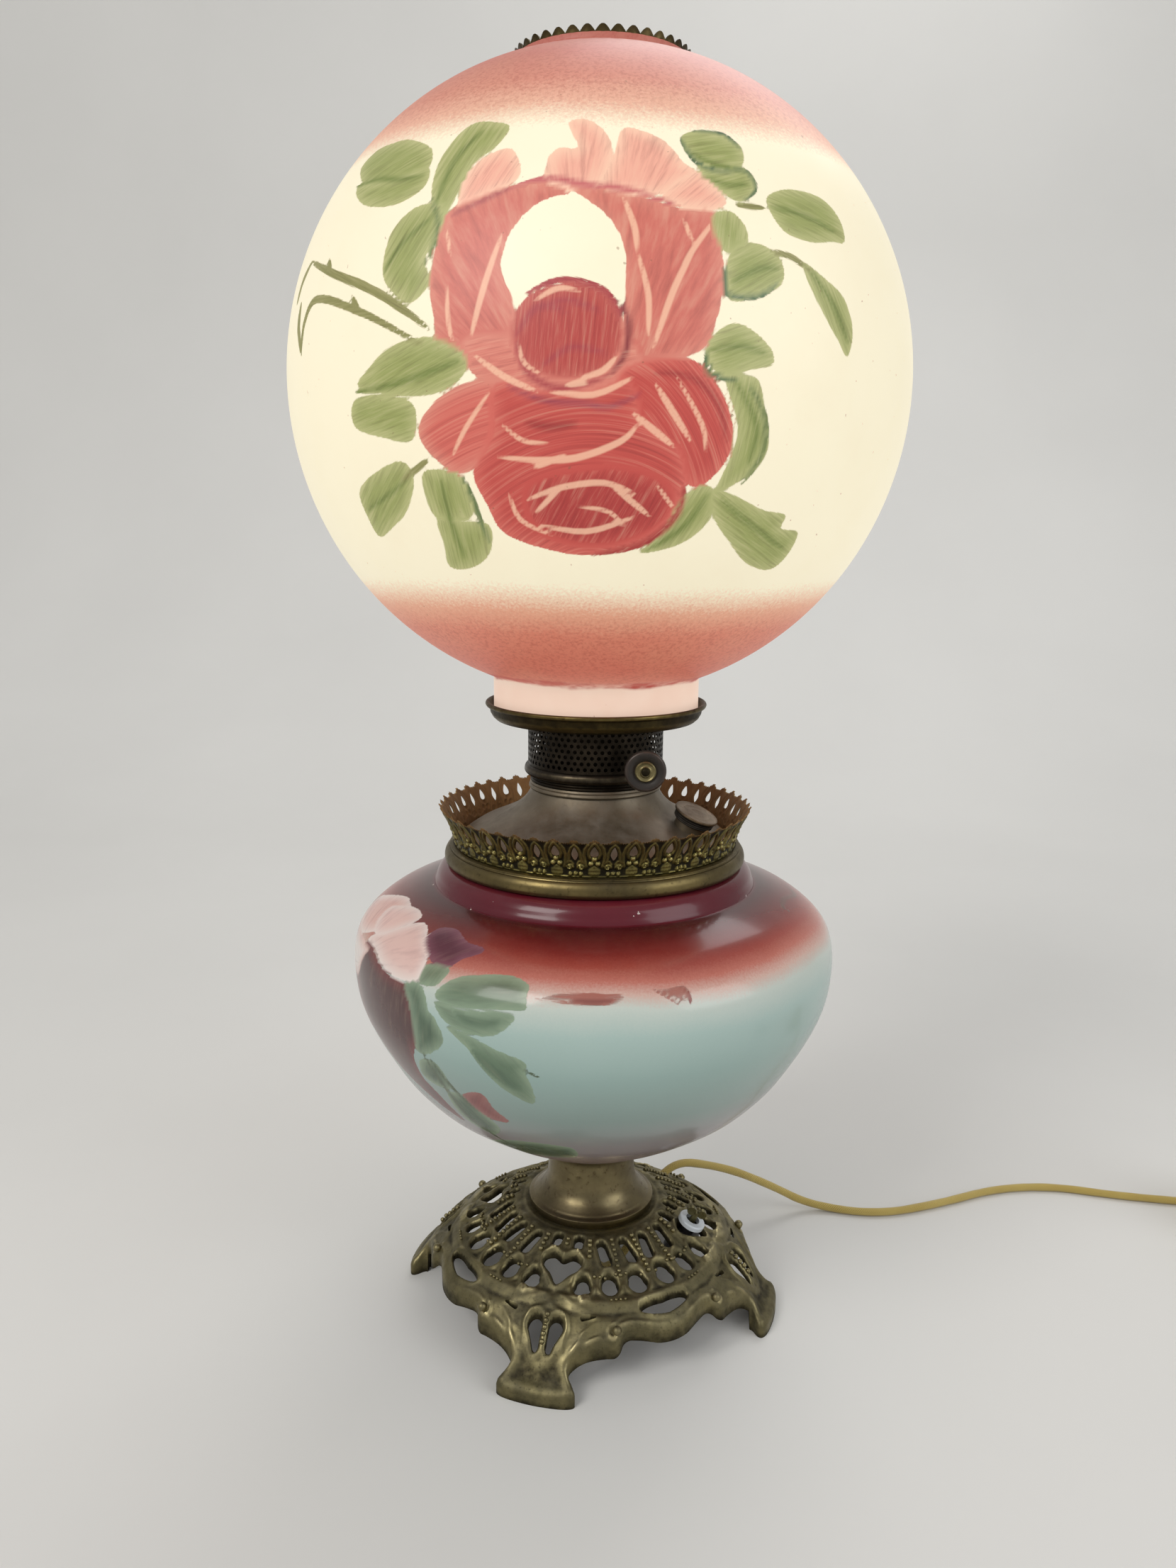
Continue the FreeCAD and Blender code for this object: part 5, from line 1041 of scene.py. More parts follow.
for loop, main, rim, way in (
        ([(-92, 176), (-86, 184), (-75, 194), (-66, 193), (-60, 194), (-58, 186), (-65, 175), (-77, 165), (-88, 166)],
            BLUSH, WHITE, (-134.0, 156.0)),
        ([(-68, 168), (-62, 178), (-53, 190), (-46, 183), (-42, 177), (-41, 168), (-42, 163), (-48, 161), (-55, 163),
            (-61, 167)], (226, 194, 186), WHITE, (-134.0, 156.0)),
        ([(-88, 165), (-78, 166), (-70, 166), (-64, 165), (-66, 159), (-70, 148), (-78, 146), (-88, 152)], WHITE,
            BLUSH, (-134.0, 156.0)),
        ([(-74, 186), (-66, 193), (-60, 194), (-56, 190), (-60, 178), (-66, 172), (-72, 176)], (230, 196, 188), WHITE,
        (-134.0, 156.0))):
    bowl.dab(loop, main, rim, way)
bowl.dab([(-46, 181), (-47, 187), (-45, 192), (-40, 193), (-34, 188), (-29, 187), (-28, 184), (-32, 179), (-34, 174),
    (-39, 173)], (84, 42, 58), (124, 76, 92), 40.0)
bowl.dab([(-41, 171), (-38, 174), (-34, 173), (-34, 169), (-36, 164), (-40, 163), (-41, 167)], BLUE_LEAF, LEAF_EDGE,
    70.0)
for loop, way in (
        ([(-35, 159), (-34, 165), (-30, 171), (-24, 174), (-18, 175), (-14, 172), (-14, 166), (-14, 161), (-20, 160),
            (-28, 158)], 10.0),
        ([(-35, 158), (-28, 157), (-20, 159), (-16, 158), (-18, 152), (-21, 148), (-26, 147), (-31, 149), (-34, 153)],
            -12.0),
        ([(-45, 160), (-41, 163), (-38, 159), (-37, 153), (-35, 150), (-33, 140), (-38, 131), (-42, 130), (-42, 140),
            (-43, 152)], 80.0),
        ([(-32, 148), (-26, 146), (-20, 142), (-14, 138), (-14, 132), (-13, 126), (-13, 114), (-19, 120), (-23, 129),
            (-27, 140)], -50.0),
        ([(-42, 125), (-37, 127), (-35, 120), (-35, 112), (-40, 110), (-44, 114)], 60.0),
        ([(-37, 108), (-31, 109), (-28, 99), (-25, 89), (-30, 79), (-36, 87), (-38, 98)], -60.0),
        ([(-40, 60), (-34, 68), (-26, 76), (-18, 80), (-10, 80), (-5, 77), (-5, 64), (-14, 56), (-28, 52)], 20.0),
        ([(-100, 150), (-94, 158), (-88, 156), (-88, 142), (-94, 132), (-100, 138)], 80.0)):
    bowl.dab(loop, DEEP_LEAF if loop[0][0] < -36 or loop[0][1] < 80 else BLUE_LEAF, LEAF_EDGE, way)
bowl.dab([(-27, 166), (-23, 171), (-18, 172), (-15, 169), (-18, 166)], (76, 98, 76), BLUE_LEAF, 8.0)
bowl.dab([(-30, 156), (-24, 155), (-19, 156), (-21, 152), (-27, 151)], (78, 100, 78), BLUE_LEAF, -10.0)
bowl.dab([(-26, 141), (-19, 133), (-15, 124), (-18, 122), (-24, 132)], (76, 98, 76), BLUE_LEAF, -52.0)
bowl.dab([(-32, 110), (-26, 115), (-24, 105), (-21, 97), (-26, 96), (-30, 101)], (132, 58, 58), (152, 96, 90), 60.0)
for line, half in (([(-40, 130), (-37, 110), (-34, 90), (-26, 70)], 1.0), ([(-38, 128), (-34, 112), (-30, 100)], 0.8),
        ([(-14, 134), (-11, 131)], 0.3)):
    bowl.line(line, half, (74, 88, 62))
for hair in range(8):
    low = 165.0 + 0.62 * hair
    start, end = -12.0 + 10.0 * abs(math.sin(hair * 2.3)), 6.4 - 0.1 * (hair - 5) ** 2
    bowl.line([(start, low + 1.2 - 0.1 * hair), (end, low)], 0.2, (158, 92, 80))
    bowl.line([(13.0 + 4.0 * abs(math.sin(hair * 1.7)), 170.6 - 0.1 * hair),
        (20.6 - 0.1 * (hair - 5) ** 2, 163.2 + 1.05 * hair)], 0.18, (160, 100, 88))
bowl.line([(-4, 166.6), (0, 166.2), (4, 166.5)], 0.8, (118, 50, 46))
bowl.line([(18.8, 171), (20.6, 167.5), (20.4, 163)], 0.35, (134, 66, 58))
bowl.line([(89, 197), (95, 191), (89, 186), (78, 193), (70, 191), (71, 187)], 1.0, (96, 58, 50))
bowl.hand_over(vase)
print(bowl.dabs, "dabs on the vase")

# %% [markdown]
# The vase's ground runs from a lilac grey at the foot through pale teal to a whitish line, then salmon
# and deep wine at the shoulder; the ring above is glossy maroon. A ramp over the distance up the
# outline gives these bands, and noise bends and grains them as a spray does. Over it lies a hard clear
# glaze, so the shader has a coat. Small white chips show where the collar has rubbed the ring.

# %% The vase's finish
vase_paint, tree, shader = coat_of("vase_paint", Roughness=0.3, Specular_IOR_Level=0.3, Coat_Weight=0.3,
    Coat_Roughness=0.1, Coat_IOR=1.5)
place = here(tree)
up_line = reads(tree, "arc")
drift = wander(tree, place, 13.0, 3.0, 0.5, 12.0)
grain = wander(tree, place, 1100.0, 2.0, 0.7, 5.0)
sprayed = maths(tree, "ADD", up_line, maths(tree, "ADD", drift, grain))
stops = [(0, (118, 98, 100)), (45, (136, 116, 118)), (80, (146, 140, 140)), (104, (136, 154, 148)),
         (130, (150, 174, 168)), (150, (168, 190, 184)), (162, (196, 204, 196)), (168, (204, 170, 158)),
         (174, (184, 110, 96)), (181, (150, 66, 56)), (189, (116, 38, 34)), (198, (90, 22, 24)),
         (206, (66, 12, 18)), (230, (66, 12, 18))]
whole_arc = stops[-1][0]
ground = ramp(tree, maths(tree, "DIVIDE", sprayed, float(whole_arc)),
              [(up / whole_arc, tone(*value)) for up, value in stops])
ring_share = between(tree, up_line, 206.5, 208.5)
ground = mixed(tree, ring_share, ground, mixed(tree, noise(tree, place, 20.0, 3.0), tone(78, 14, 28),
    tone(104, 26, 40)))
stroked = use(tree, brushwork, Ragged=1.8, Streaks=0.8, Bristle=0.8, Thin=0.22)
thin = maths(tree, "MULTIPLY", stroked["Mask"], 0.93)
painted = mixed(tree, thin, ground, stroked["Color"])
chips = between(tree, noise(tree, place, 260.0, 2.0, 0.5), 0.735, 0.75)
near_collar = maths(tree, "MULTIPLY", between(tree, up_line, 205.0, 209.0), between(tree, up_line, 217.0, 212.0))
painted = mixed(tree, maths(tree, "MULTIPLY", chips, near_collar), painted, tone(222, 214, 206))
dusty = use(tree, dusting, Color=painted, Amount=0.03)
wire(tree, shader, Base_Color=dusty["Color"],
     Roughness=maths(tree, "ADD", 0.24, maths(tree, "MULTIPLY", dusty["Mask"], 0.6)),
     Normal=raised(tree, stroked["Mask"], 0.06))
vase.data.materials.append(vase_paint)
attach(vase, "lamp")
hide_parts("vase")
print("vase finished")

# %% [markdown]
# The casting is drawn in plan, as a height over each place, like a moulder's pattern. Places are
# folded about the nearest foot's axis, so the same few curves draw all four feet. Each opening is a
# distance to its edge; the smallest of them says how much metal lies between a place and open air,
# and from it come the cut edges, their rounding and the raised rims.

# %% The casting's plan
TURN, PLAN_STEP, WALL = -15.4, 0.75, 3.4
HEART_X, HEART_LONG, HEART_WIDE = 53.8, 13.2, 19.4


def from_polar(radius, degrees):
    """A place in plan from a radius and an angle."""
    return radius * math.cos(math.radians(degrees)), radius * math.sin(math.radians(degrees))


def polar_line(*places):
    """A line in plan through places of a radius and an angle."""
    return [from_polar(*place) for place in places]


side_half = polar_line((82.2, 45), (81.8, 40), (80.6, 36), (79.6, 32), (79.3, 29), (80.4, 26.9), (82.6, 25.6),
    (83.9, 23.7), (83.9, 21.2))
toe_half = [(80.4, 25.0), (82.4, 20.6), (84.8, 16.6), (87.3, 14.0), (89.6, 14.9), (91.6, 17.5), (93.6, 19.1),
    (95.4, 18.5), (97.0, 15.0), (98.0, 8.8)]
quarter = side_half + toe_half + [(98.5, 0.0)] + [(x, -y) for x, y in (side_half + toe_half)[:0:-1]]
turned_quarters = []
for foot in range(4):
    c, s = round(math.cos(foot * math.pi / 2)), round(math.sin(foot * math.pi / 2))
    turned_quarters += [(c * x + s * y, c * y - s * x) for x, y in quarter]
rim_loop = flowing(turned_quarters, 3, closed=True)
heart_half = [(-0.30, 0.0), (-0.46, 0.24), (-0.36, 0.47), (-0.08, 0.46), (0.20, 0.22), (0.54, 0.0)]
heart = flowing([(HEART_X + HEART_LONG * a, HEART_WIDE * b) for a, b in heart_half]
                + [(HEART_X + HEART_LONG * a, -HEART_WIDE * b) for a, b in heart_half[-2:0:-1]], 4, closed=True)


def tapered(at, start, end, first, last):
    """Distance outside a slot whose width runs from `first` to `last`."""
    gap, share = line_distance(at, [start, end])
    return gap - (first + (last - first) * share) / 2.0


def plan_of(x, y):
    """Folded places (along the foot, across it) and plain polar ones."""
    radius = np.hypot(x, y)
    angle = np.degrees(np.arctan2(y, x)) - TURN
    folded = (angle + 45.0) % 90.0 - 45.0
    along, across = radius * np.cos(np.radians(folded)), radius * np.abs(np.sin(np.radians(folded)))
    return np.column_stack([along, across]), radius, np.abs(folded)


def metal_depth(x, y):
    """Metal between each place and the nearest edge, and what makes the rims."""
    at, radius, turned = plan_of(x, y)
    big, small = np.full((2, len(x)), 99.0)
    for degrees, low, high, first, last in ((7.5, 40.4, 42.8, 4.4, 4.0), (22.5, 43.0, 49.8, 4.0, 5.0),
            (37.5, 43.0, 49.8, 4.0, 5.0)):
        small = np.minimum(small, tapered(at, from_polar(low, degrees),
            from_polar(high, degrees + (2.0 if degrees > 8 else 0.0)), first, last))
    for degrees, low, high, first, last in ((12.0, 59.6, 61.4, 6.0, 8.2), (24.4, 59.2, 61.2, 6.8, 7.8),
            (37.6, 59.2, 61.0, 7.6, 9.4)):
        big = np.minimum(big, tapered(at, from_polar(low, degrees), from_polar(high, degrees), first, last))
    big = np.minimum(big, -depth_inside(at, heart))
    big = np.minimum(big, tapered(at, (78.4, 5.0), (84.2, 3.3), 6.8, 3.0))
    slot_half, slot_x, slot_bow, slot_wide = 13.0, 73.6, 1.6, 2.9
    across = radius * np.sin(np.radians(45.0 - turned))
    share = np.clip(across / slot_half, 0.0, 1.0)
    off_line = np.abs(radius * np.cos(np.radians(45.0 - turned)) - slot_x + slot_bow * share)
    edge_slot = off_line - slot_wide * np.sqrt(1.0 - share ** 2) + np.clip(across - slot_half, 0.0, None)
    big = np.minimum(big, edge_slot)
    slit = tapered(at, (73.2, 16.6), (71.2, 22.4), 2.2, 1.0)
    rim = depth_inside(at, rim_loop)
    return np.minimum.reduce([rim, big, small, slit]), rim, big, small, at, radius, turned


print("plan drawn")

# %% [markdown]
# The sheet's edge is followed through a grid's cells: a cell that is all metal stays square, and a
# cell on the edge is cut where the depth passes zero. The cut sheet is laid twice, as top and bottom,
# and walls join the two along every edge.

# %% Cutting the plan


def cut_strip(across, up, depth_of):
    """A flat grid cut where `depth_of` passes zero: places, faces and the runs along its edges."""
    x, y = (grid.ravel() for grid in np.meshgrid(across, up))
    depth = depth_of(np.column_stack([x, y])).reshape(len(up), len(across))
    known, places, cells, edges = {}, [], [], []

    def put(key, place):
        if key not in known:
            known[key] = len(places)
            places.append(place)
        return known[key]

    for j, i in zip(
            *np.nonzero(np.maximum.reduce([depth[:-1, :-1], depth[1:, :-1], depth[:-1, 1:], depth[1:, 1:]]) > 0)):
        ring, cell, cuts = [(j, i), (j, i + 1), (j + 1, i + 1), (j + 1, i)], [], []
        for a, b in zip(ring, ring[1:] + ring[:1]):
            one, two = depth[a], depth[b]
            if one > 0:
                cell.append(put(a, (across[a[1]], up[a[0]])))
            if (one > 0) != (two > 0):
                t = one / (one - two)
                cell.append(put(("cut", min(a, b), max(a, b)), (across[a[1]] + t * (across[b[1]] - across[a[1]]),
                    up[a[0]] + t * (up[b[0]] - up[a[0]]))))
                cuts.append((cell[-1], one > 0))
        cells.append(cell)
        edges += [(where, cuts[(k + 1) % len(cuts)][0]) for k, (where, leaving) in enumerate(cuts) if leaving]
    return np.array(places), cells, edges


def two_sided(cells, edges, many):
    """Faces of a sheet with a front, a back that repeats its points, and walls along its edges."""
    return cells + [[c + many for c in cell[::-1]] for cell in cells] + [[a + many, b + many, b, a] for a, b in edges]


axis = np.arange(-133, 134) * PLAN_STEP
corners, plan_cells, plan_edges = cut_strip(axis, axis, lambda places: metal_depth(places[:, 0], places[:, 1])[0])
print(len(plan_cells), "cells,", len(plan_edges), "edge runs")

# %% [markdown]
# Now the heights. A smooth fall from the stem's seat to the toes carries the raised work: rims round
# the openings, a broad rail between the feet, a double line along the edge, scrolls that end in
# volutes, leafy shoulders and scooped toes. The height of that raised work is kept for each point:
# what stands up comes out brighter, partly polish and partly painted highlight, and what lies low
# comes out darker, partly dirt and partly painted shade.

# %% The casting's heights
SEAT_R, SEAT_Z, RAIL_R, TOE_FROM, TOE_FADE, DEGREES_A_RADIAN = 38.0, 52.0, 69.4, 84.0, 5.0, 57.3
top_line = flowing([(SEAT_R, SEAT_Z), (42.0, 50.6), (47.0, 47.8), (53.0, 44.0), (60.0, 40.0), (66.0, 37.0),
    (72.0, 33.8), (78.0, 29.2), (84.0, 22.6), (89.0, 15.4), (93.0, 9.6), (96.0, 7.0), (98.5, 6.2)], 6)
_, rim, big, small, at, radius, turned = metal_depth(corners[:, 0], corners[:, 1])
fall = np.where(radius < SEAT_R, SEAT_Z, np.interp(radius, top_line[:, 0], top_line[:, 1]))


def bump(gap, width):
    """A soft ridge, 1 on its line."""
    return np.exp(-(gap / width) ** 2)


def scroll(middle, size, turns, start, way=1):
    """A line that winds inwards, as a volute does."""
    share = np.linspace(0, 1, 22)
    spin = np.radians(start) + way * share * turns * 2 * math.pi
    return np.column_stack([middle[0] + size * (1 - 0.86 * share) * np.cos(spin),
        middle[1] + size * (1 - 0.86 * share) * np.sin(spin)])


relief = 0.75 * bump(big - 1.7, 1.15) + 0.45 * bump(small - 1.3, 0.9)
rail = radius - RAIL_R + np.cos(np.radians(turned * 4))
relief += (1.2 * bump(rail, 2.6)
    - 0.35 * bump(np.abs(rail) - 4.2, 0.8)) * np.clip(0.35 + turned / 14.0, 0, 1) * np.clip(big / 3.2, 0, 1)
toe = np.clip((at[:, 0] - TOE_FROM) / TOE_FADE, 0, 1)
relief += (0.95 * bump(rim - 1.9, 1.3) + 0.4 * bump(rim - 4.7, 0.75)) * (1.0 - toe)
for line, height, width in (
        (polar_line((66.5, 2.0), (70.5, 9), (75.6, 19), (78.4, 27), (79.6, 36)), 0.6, 1.5),
        (polar_line((88.5, 8.6), (84.5, 10.8), (80, 13.4), (77.4, 17), (77.6, 21)), 0.9, 1.0),
        (polar_line((86.4, 12.2), (83.2, 15.4), (81.0, 19)), 0.7, 0.9),
        ([(89.6, 0), (88.6, 4.6), (84.4, 9.4), (78.5, 11.0), (73.4, 8.2), (71.4, 0)], 0.85, 0.9),
        ([(64.0, 0.0), (60.0, 4.6), (55.0, 9.6), (49.0, 10.2), (45.5, 6.0)], 0.9, 1.0),
        ([(66.5, 4.0), (66.0, 11.0), (64.0, 15.5), (60.0, 17.5)], 0.8, 1.0),
        ([(88, 10.6), (91.0, 13.6), (94.4, 16.4)], 0.7, 1.4),
        (scroll(from_polar(80.6, 23.6), 2.9, 1.1, 200.0), 1.1, 0.8),
        (scroll(from_polar(67.8, 13.2), 2.4, 1.2, 90.0), 0.8, 0.7),
        (scroll((69.6, 0.0), 1.8, 1.0, 180.0), 0.5, 0.8)):
    gap, share = line_distance(at, line)
    relief += height * bump(gap, width) * (0.65 + 0.35 * np.sin(math.pi * np.clip(share, 0.05, 0.95)))
tufts = np.abs(np.cos(np.radians(turned * 12.0)))
relief += 0.55 * tufts ** 3 * bump(radius - 38.6, 1.6) + 0.5 * bump(radius - 34.6, 0.9)
off_rib = np.abs((turned + 7.5) % 15.0 - 7.5) * radius / DEGREES_A_RADIAN
relief += 0.45 * bump(off_rib, 0.8) * np.clip((radius - 39.0) / 3.0, 0, 1) * np.clip((60.0 - radius) / 3.0, 0, 1)
relief += 0.35 * np.abs(np.sin(np.radians(turned * 18.0))) * bump(radius - 54.5, 2.2) * (turned > 18)
scoop = toe * np.sin(np.clip((rim - 1.5) / 7.0, 0, 1) * math.pi / 2) ** 2
soft = 1.5 + 1.7 * toe
edge = np.clip(np.minimum.reduce([rim, big, small]), 0.0, soft)
rounding = soft - np.sqrt(np.clip(soft ** 2 - (soft - edge) ** 2, 0, None))
pits = (np.sin(corners[:, 0] * 1.9 + 3 * np.sin(corners[:, 1] * 0.7))
        * np.sin(corners[:, 1] * 1.7 + 2 * np.sin(corners[:, 0] * 0.9)))
top_z = fall + relief - 1.6 * scoop + 1.2 * toe - rounding + 0.06 * pits
in_toe = (at[:, 0] > 87.5) & (turned < 15.0)
low_z = np.where(in_toe, 0.0, fall - WALL - 3.0 * np.clip((5.4 - rim) / 1.5, 0, 1) * (radius > 60))
low_z = np.clip(low_z, 0.0, None)
top_z = np.maximum(top_z, low_z + 1.2)
count = len(corners)
points = np.vstack([np.column_stack([corners, top_z]), np.column_stack([corners, low_z])])
faces = two_sided(plan_cells, plan_edges, count)
casting = piece("cast_foot", points, faces, crisp=60.0)
# The relief numbers also lighten the toes' rims and darken the toes' scoops, the points along the openings' edges and
# the whole underside and walls: painted highlight and painted shade as well as polish and dirt.
height = np.concatenate([0.30 + 0.34 * relief + 0.3 * toe * bump(rim - 1.2, 1.6) - 0.08 * scoop
                         - 0.12 * (np.minimum(big, small) < 0.5), np.full(count, 0.2)])
give_numbers(casting, "relief", np.clip(height, 0, 1))
print("casting", sum(len(f) - 2 for f in faces), "triangles")

# %% [markdown]
# Rows of small beads stand on the ribs between the inner openings and down the middle of each foot's
# teardrop pair. A Geometry Nodes tree sets one low ball on each point of a plain mesh of points,
# sized by the points' own "radius", and hands back one mesh.

# %% Beads at points


def shape_tree(name, *inputs):
    """A Geometry Nodes tree with a mesh, named inputs and a finish going in and a mesh coming out."""
    tree = bpy.data.node_groups.new(name, "GeometryNodeTree")
    for label, kind, value in (("Geometry", "Geometry", None), *inputs, ("Finish", "Material", None)):
        socket = tree.interface.new_socket(label, in_out="INPUT", socket_type="NodeSocket" + kind)
        if value is not None:
            socket.default_value = value
    tree.interface.new_socket("Geometry", in_out="OUTPUT", socket_type="NodeSocketGeometry")
    return tree, add(tree, "NodeGroupInput").outputs, add(tree, "NodeGroupOutput").inputs


def hand_back(tree, shape, inn, out):
    """Gives the grown shape its finish and leads it out of the tree."""
    coated = add(tree, "GeometryNodeSetMaterial", {"Geometry": shape, "Material": inn["Finish"]})
    tree.links.new(coated.outputs["Geometry"], out[0])


def bead_tree():
    """A ball at each point, as big as the point's own "radius"."""
    tree, inn, out = shape_tree("beads at points", ("Ball", "Object", None))
    ball = add(tree, "GeometryNodeObjectInfo", {"Object": inn["Ball"]})
    size = add(tree, "GeometryNodeInputNamedAttribute", {"Name": "radius"}, data_type="FLOAT")
    placed = add(tree, "GeometryNodeInstanceOnPoints", {
        "Points": inn["Geometry"], "Instance": ball.outputs["Geometry"], "Scale": size.outputs["Attribute"]})
    real = add(tree, "GeometryNodeRealizeInstances", {"Geometry": placed.outputs["Instances"]})
    hand_back(tree, real.outputs["Geometry"], inn, out)
    return tree


def grown(name, start, tree, inputs):
    """Run a tree on an object by its named inputs and keep the result as one plain mesh."""
    modifier = start.modifiers.new("grow", "NODES")
    modifier.node_group = tree
    sockets = {item.name: item.identifier for item in tree.interface.items_tree if item.in_out == "INPUT"}
    for label, value in inputs.items():
        modifier[sockets[label]] = value
    start.update_tag()
    mesh = bpy.data.meshes.new_from_object(start.evaluated_get(bpy.context.evaluated_depsgraph_get()))
    mesh.name = name
    bpy.data.objects.remove(start)
    made = bpy.data.objects.new(name, mesh)
    scene.collection.objects.link(made)
    return made


def ball_shape():
    """A ball a metre in radius before it is sized, with a point at each end."""
    rows, sides = 6, 8
    points, faces = [(0, 0, -1)], []
    for row in range(1, rows):
        low = math.pi * row / rows
        for column in range(sides):
            turn = 2 * math.pi * column / sides
            points.append((math.sin(low) * math.cos(turn), math.sin(low) * math.sin(turn), -math.cos(low)))
    points.append((0, 0, 1))
    last = len(points) - 1
    for column in range(sides):
        after = (column + 1) % sides
        faces += [[0, 1 + after, 1 + column], [last, last - sides + column, last - sides + after]]
        for start in range(1, 1 + sides * (rows - 2), sides):
            faces.append([start + column, start + after, start + sides + after, start + sides + column])
    return piece("ball", np.array(points) / MM, faces, crisp=180.0)


bead_places, bead_sizes = [], []
for foot in range(4):
    turn = TURN + 90.0 * foot
    spots = [(r, 15.0 * rib, 1.3 if rib % 2 else 1.1) for rib in range(-2, 4) for r in np.arange(41.5, 58.0, 2.35)
             if not (rib == 0 and r > 44.5) and not (abs(rib) == 1 and r > 50)]
    spots += [(r, 0.0, 1.35) for r in np.arange(75.4, 86.0, 2.2)] + [(80.9, side * 24.6, 2.3) for side in (-1, 1)]
    spots += [(57.2 + 0.6 * (k % 2), side * (17.5 + 2.6 * k), 0.95) for side in (-1, 1) for k in range(10)
        if abs(17.5 + 2.6 * k - 45) > 1.5 or side > 0]
    spots += [(68.9, side * (24.0 + 1.9 * k), 0.7) for side in (-1, 1) for k in range(4)]
    for r, degrees, size in spots:
        bead_places.append((*from_polar(r, turn + degrees), 0.0))
        bead_sizes.append(size)
bead_places = np.array(bead_places)
near = np.array([np.argmin((corners[:, 0] - x) ** 2 + (corners[:, 1] - y) ** 2) for x, y, _ in bead_places])
gone = np.hypot(*(corners[near] - bead_places[:, :2]).T) > 0.9
bead_places[:, 2] = top_z[near] + 0.45
bead_points = piece("bead_points", bead_places[~gone], [])
give_numbers(bead_points, "radius", np.array(bead_sizes)[~gone] * MM)
ball = ball_shape()
bead_maker = bead_tree()
print(int((~gone).sum()), "beads to set")

# %% [markdown]
# The casting's brass has gone an olive grey. It is lighter and yellower where it stands up and nearly
# black in the corners: partly rubbing and dirt, partly painted highlight and painted shade.

# %% The casting's finish
cast_olive = aged_metal("cast_olive", (132, 123, 88), (98, 92, 68), (42, 38, 27), amount=0.55, size=70.0,
    spots=0.35, rough=0.11, dust=0.12, relief="relief", bright=(180, 168, 126), rub_and_highlight=0.85, dirt_and_shade=0.95, depth=0.06)
casting.data.materials.append(cast_olive)
beads = grown("cast_beads", bead_points, bead_maker, {"Ball": ball, "Finish": cast_olive})
bpy.data.objects.remove(ball)
# The beads get a high relief number, so they come out in the brighter raised colour, partly as painted highlight.
give_numbers(beads, "relief", np.full(len(beads.data.vertices), 0.72))
for made in (casting, beads):
    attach(made, "lamp")
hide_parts("cast_base")
print("casting finished with", len(beads.data.polygons), "bead faces")

# %% [markdown]
# The crown is stamped from thin brass: 26 arches side by side, which flare outward and end in ragged
# leafy points. Only one arch is modelled, as a height map on a flat strip with its openings cut the
# same way as the casting's; it is bent to the crown's flare. A second Geometry Nodes tree copies it
# round the axis and welds the seams. The toothed ring in the globe's mouth and the burner's sieve use
# the same tree.

# %% Copies round an axis


def round_tree():
    """Copies of a mesh turned round the lamp's axis and welded where they meet."""
    tree, inn, out = shape_tree("copies round the axis", ("Copies", "Int", 12), ("Weld", "Float", 0.00004))
    row = add(tree, "GeometryNodeMeshLine", {"Count": inn["Copies"], "Offset": (0.0, 0.0, 0.0)}, mode="OFFSET")
    index = add(tree, "GeometryNodeInputIndex").outputs[0]
    turn = maths(tree, "DIVIDE", maths(tree, "MULTIPLY", index, 2 * math.pi), inn["Copies"])
    placed = add(tree, "GeometryNodeInstanceOnPoints", {
        "Points": row.outputs["Mesh"], "Instance": inn["Geometry"], "Rotation": joined(tree, 0.0, 0.0, turn)})
    real = add(tree, "GeometryNodeRealizeInstances", {"Geometry": placed.outputs["Instances"]})
    welded = add(tree, "GeometryNodeMergeByDistance", {"Geometry": real.outputs["Geometry"], "Distance": inn["Weld"]})
    hand_back(tree, welded.outputs["Geometry"], inn, out)
    return tree


rounder = round_tree()
print("copying tree ready")

# %% [markdown]
# One arch, in millimetres: a lancet opening over three big beads, a lozenge between two arches with a
# pair of scrolls under it, a woven rosette and a row of small beads at the foot.

# %% One arch of the crown
ARCH, CROWN_H, ARCHES = 8.5, 19.3, 26
CROWN_R, CROWN_FLARE, CROWN_Z, SHEET = 68.8, 7.9, 246.2, 0.9
lancet = flowing([(0, 10.3), (1.5, 10.8), (1.8, 12.2), (1.1, 14.0), (0, 15.5), (-1.1, 14.0), (-1.8, 12.2),
    (-1.5, 10.8)], 3, closed=True)
lozenge = flowing([(8.5, 8.4), (9.4, 9.6), (10.0, 11.2), (9.6, 13.0), (8.5, 15.2), (7.4, 13.0), (7.0, 11.2),
    (7.6, 9.6)], 3, closed=True)
rest_side = lozenge * [-1.0, 1.0]


def crown_edge(x):
    """The ragged upper edge: leafy points over the arches, lower between them."""
    to_arch = np.minimum(np.abs(x), ARCH - np.abs(x))
    return 16.5 + 1.9 * np.exp(-(to_arch / 1.8) ** 2) + 0.9 * np.abs(np.sin(x * 2.4 + 0.6 * np.sin(x * 1.3)))


def arch_depth(at):
    """Metal between each place on the strip and the nearest opening or edge."""
    openings = [-depth_inside(at, loop) for loop in (lancet, lozenge, rest_side)]
    return np.minimum.reduce([*openings, crown_edge(at[:, 0]) - at[:, 1], at[:, 1] + 0.3])


at, cells, edges = cut_strip(np.linspace(-ARCH, ARCH, 41), np.linspace(0, CROWN_H, 46), arch_depth)
x, y = at[:, 0], at[:, 1]
side_x = ARCH - np.abs(x)
relief = np.zeros(len(at))


def dome(middle_x, middle_y, radius, high, from_side=False):
    """A low round bead on the strip; `from_side` measures from the strip's edges."""
    gap = np.hypot((side_x if from_side else x) - middle_x, y - middle_y)
    return high * np.sqrt(np.clip(1 - (gap / radius) ** 2, 0, None))


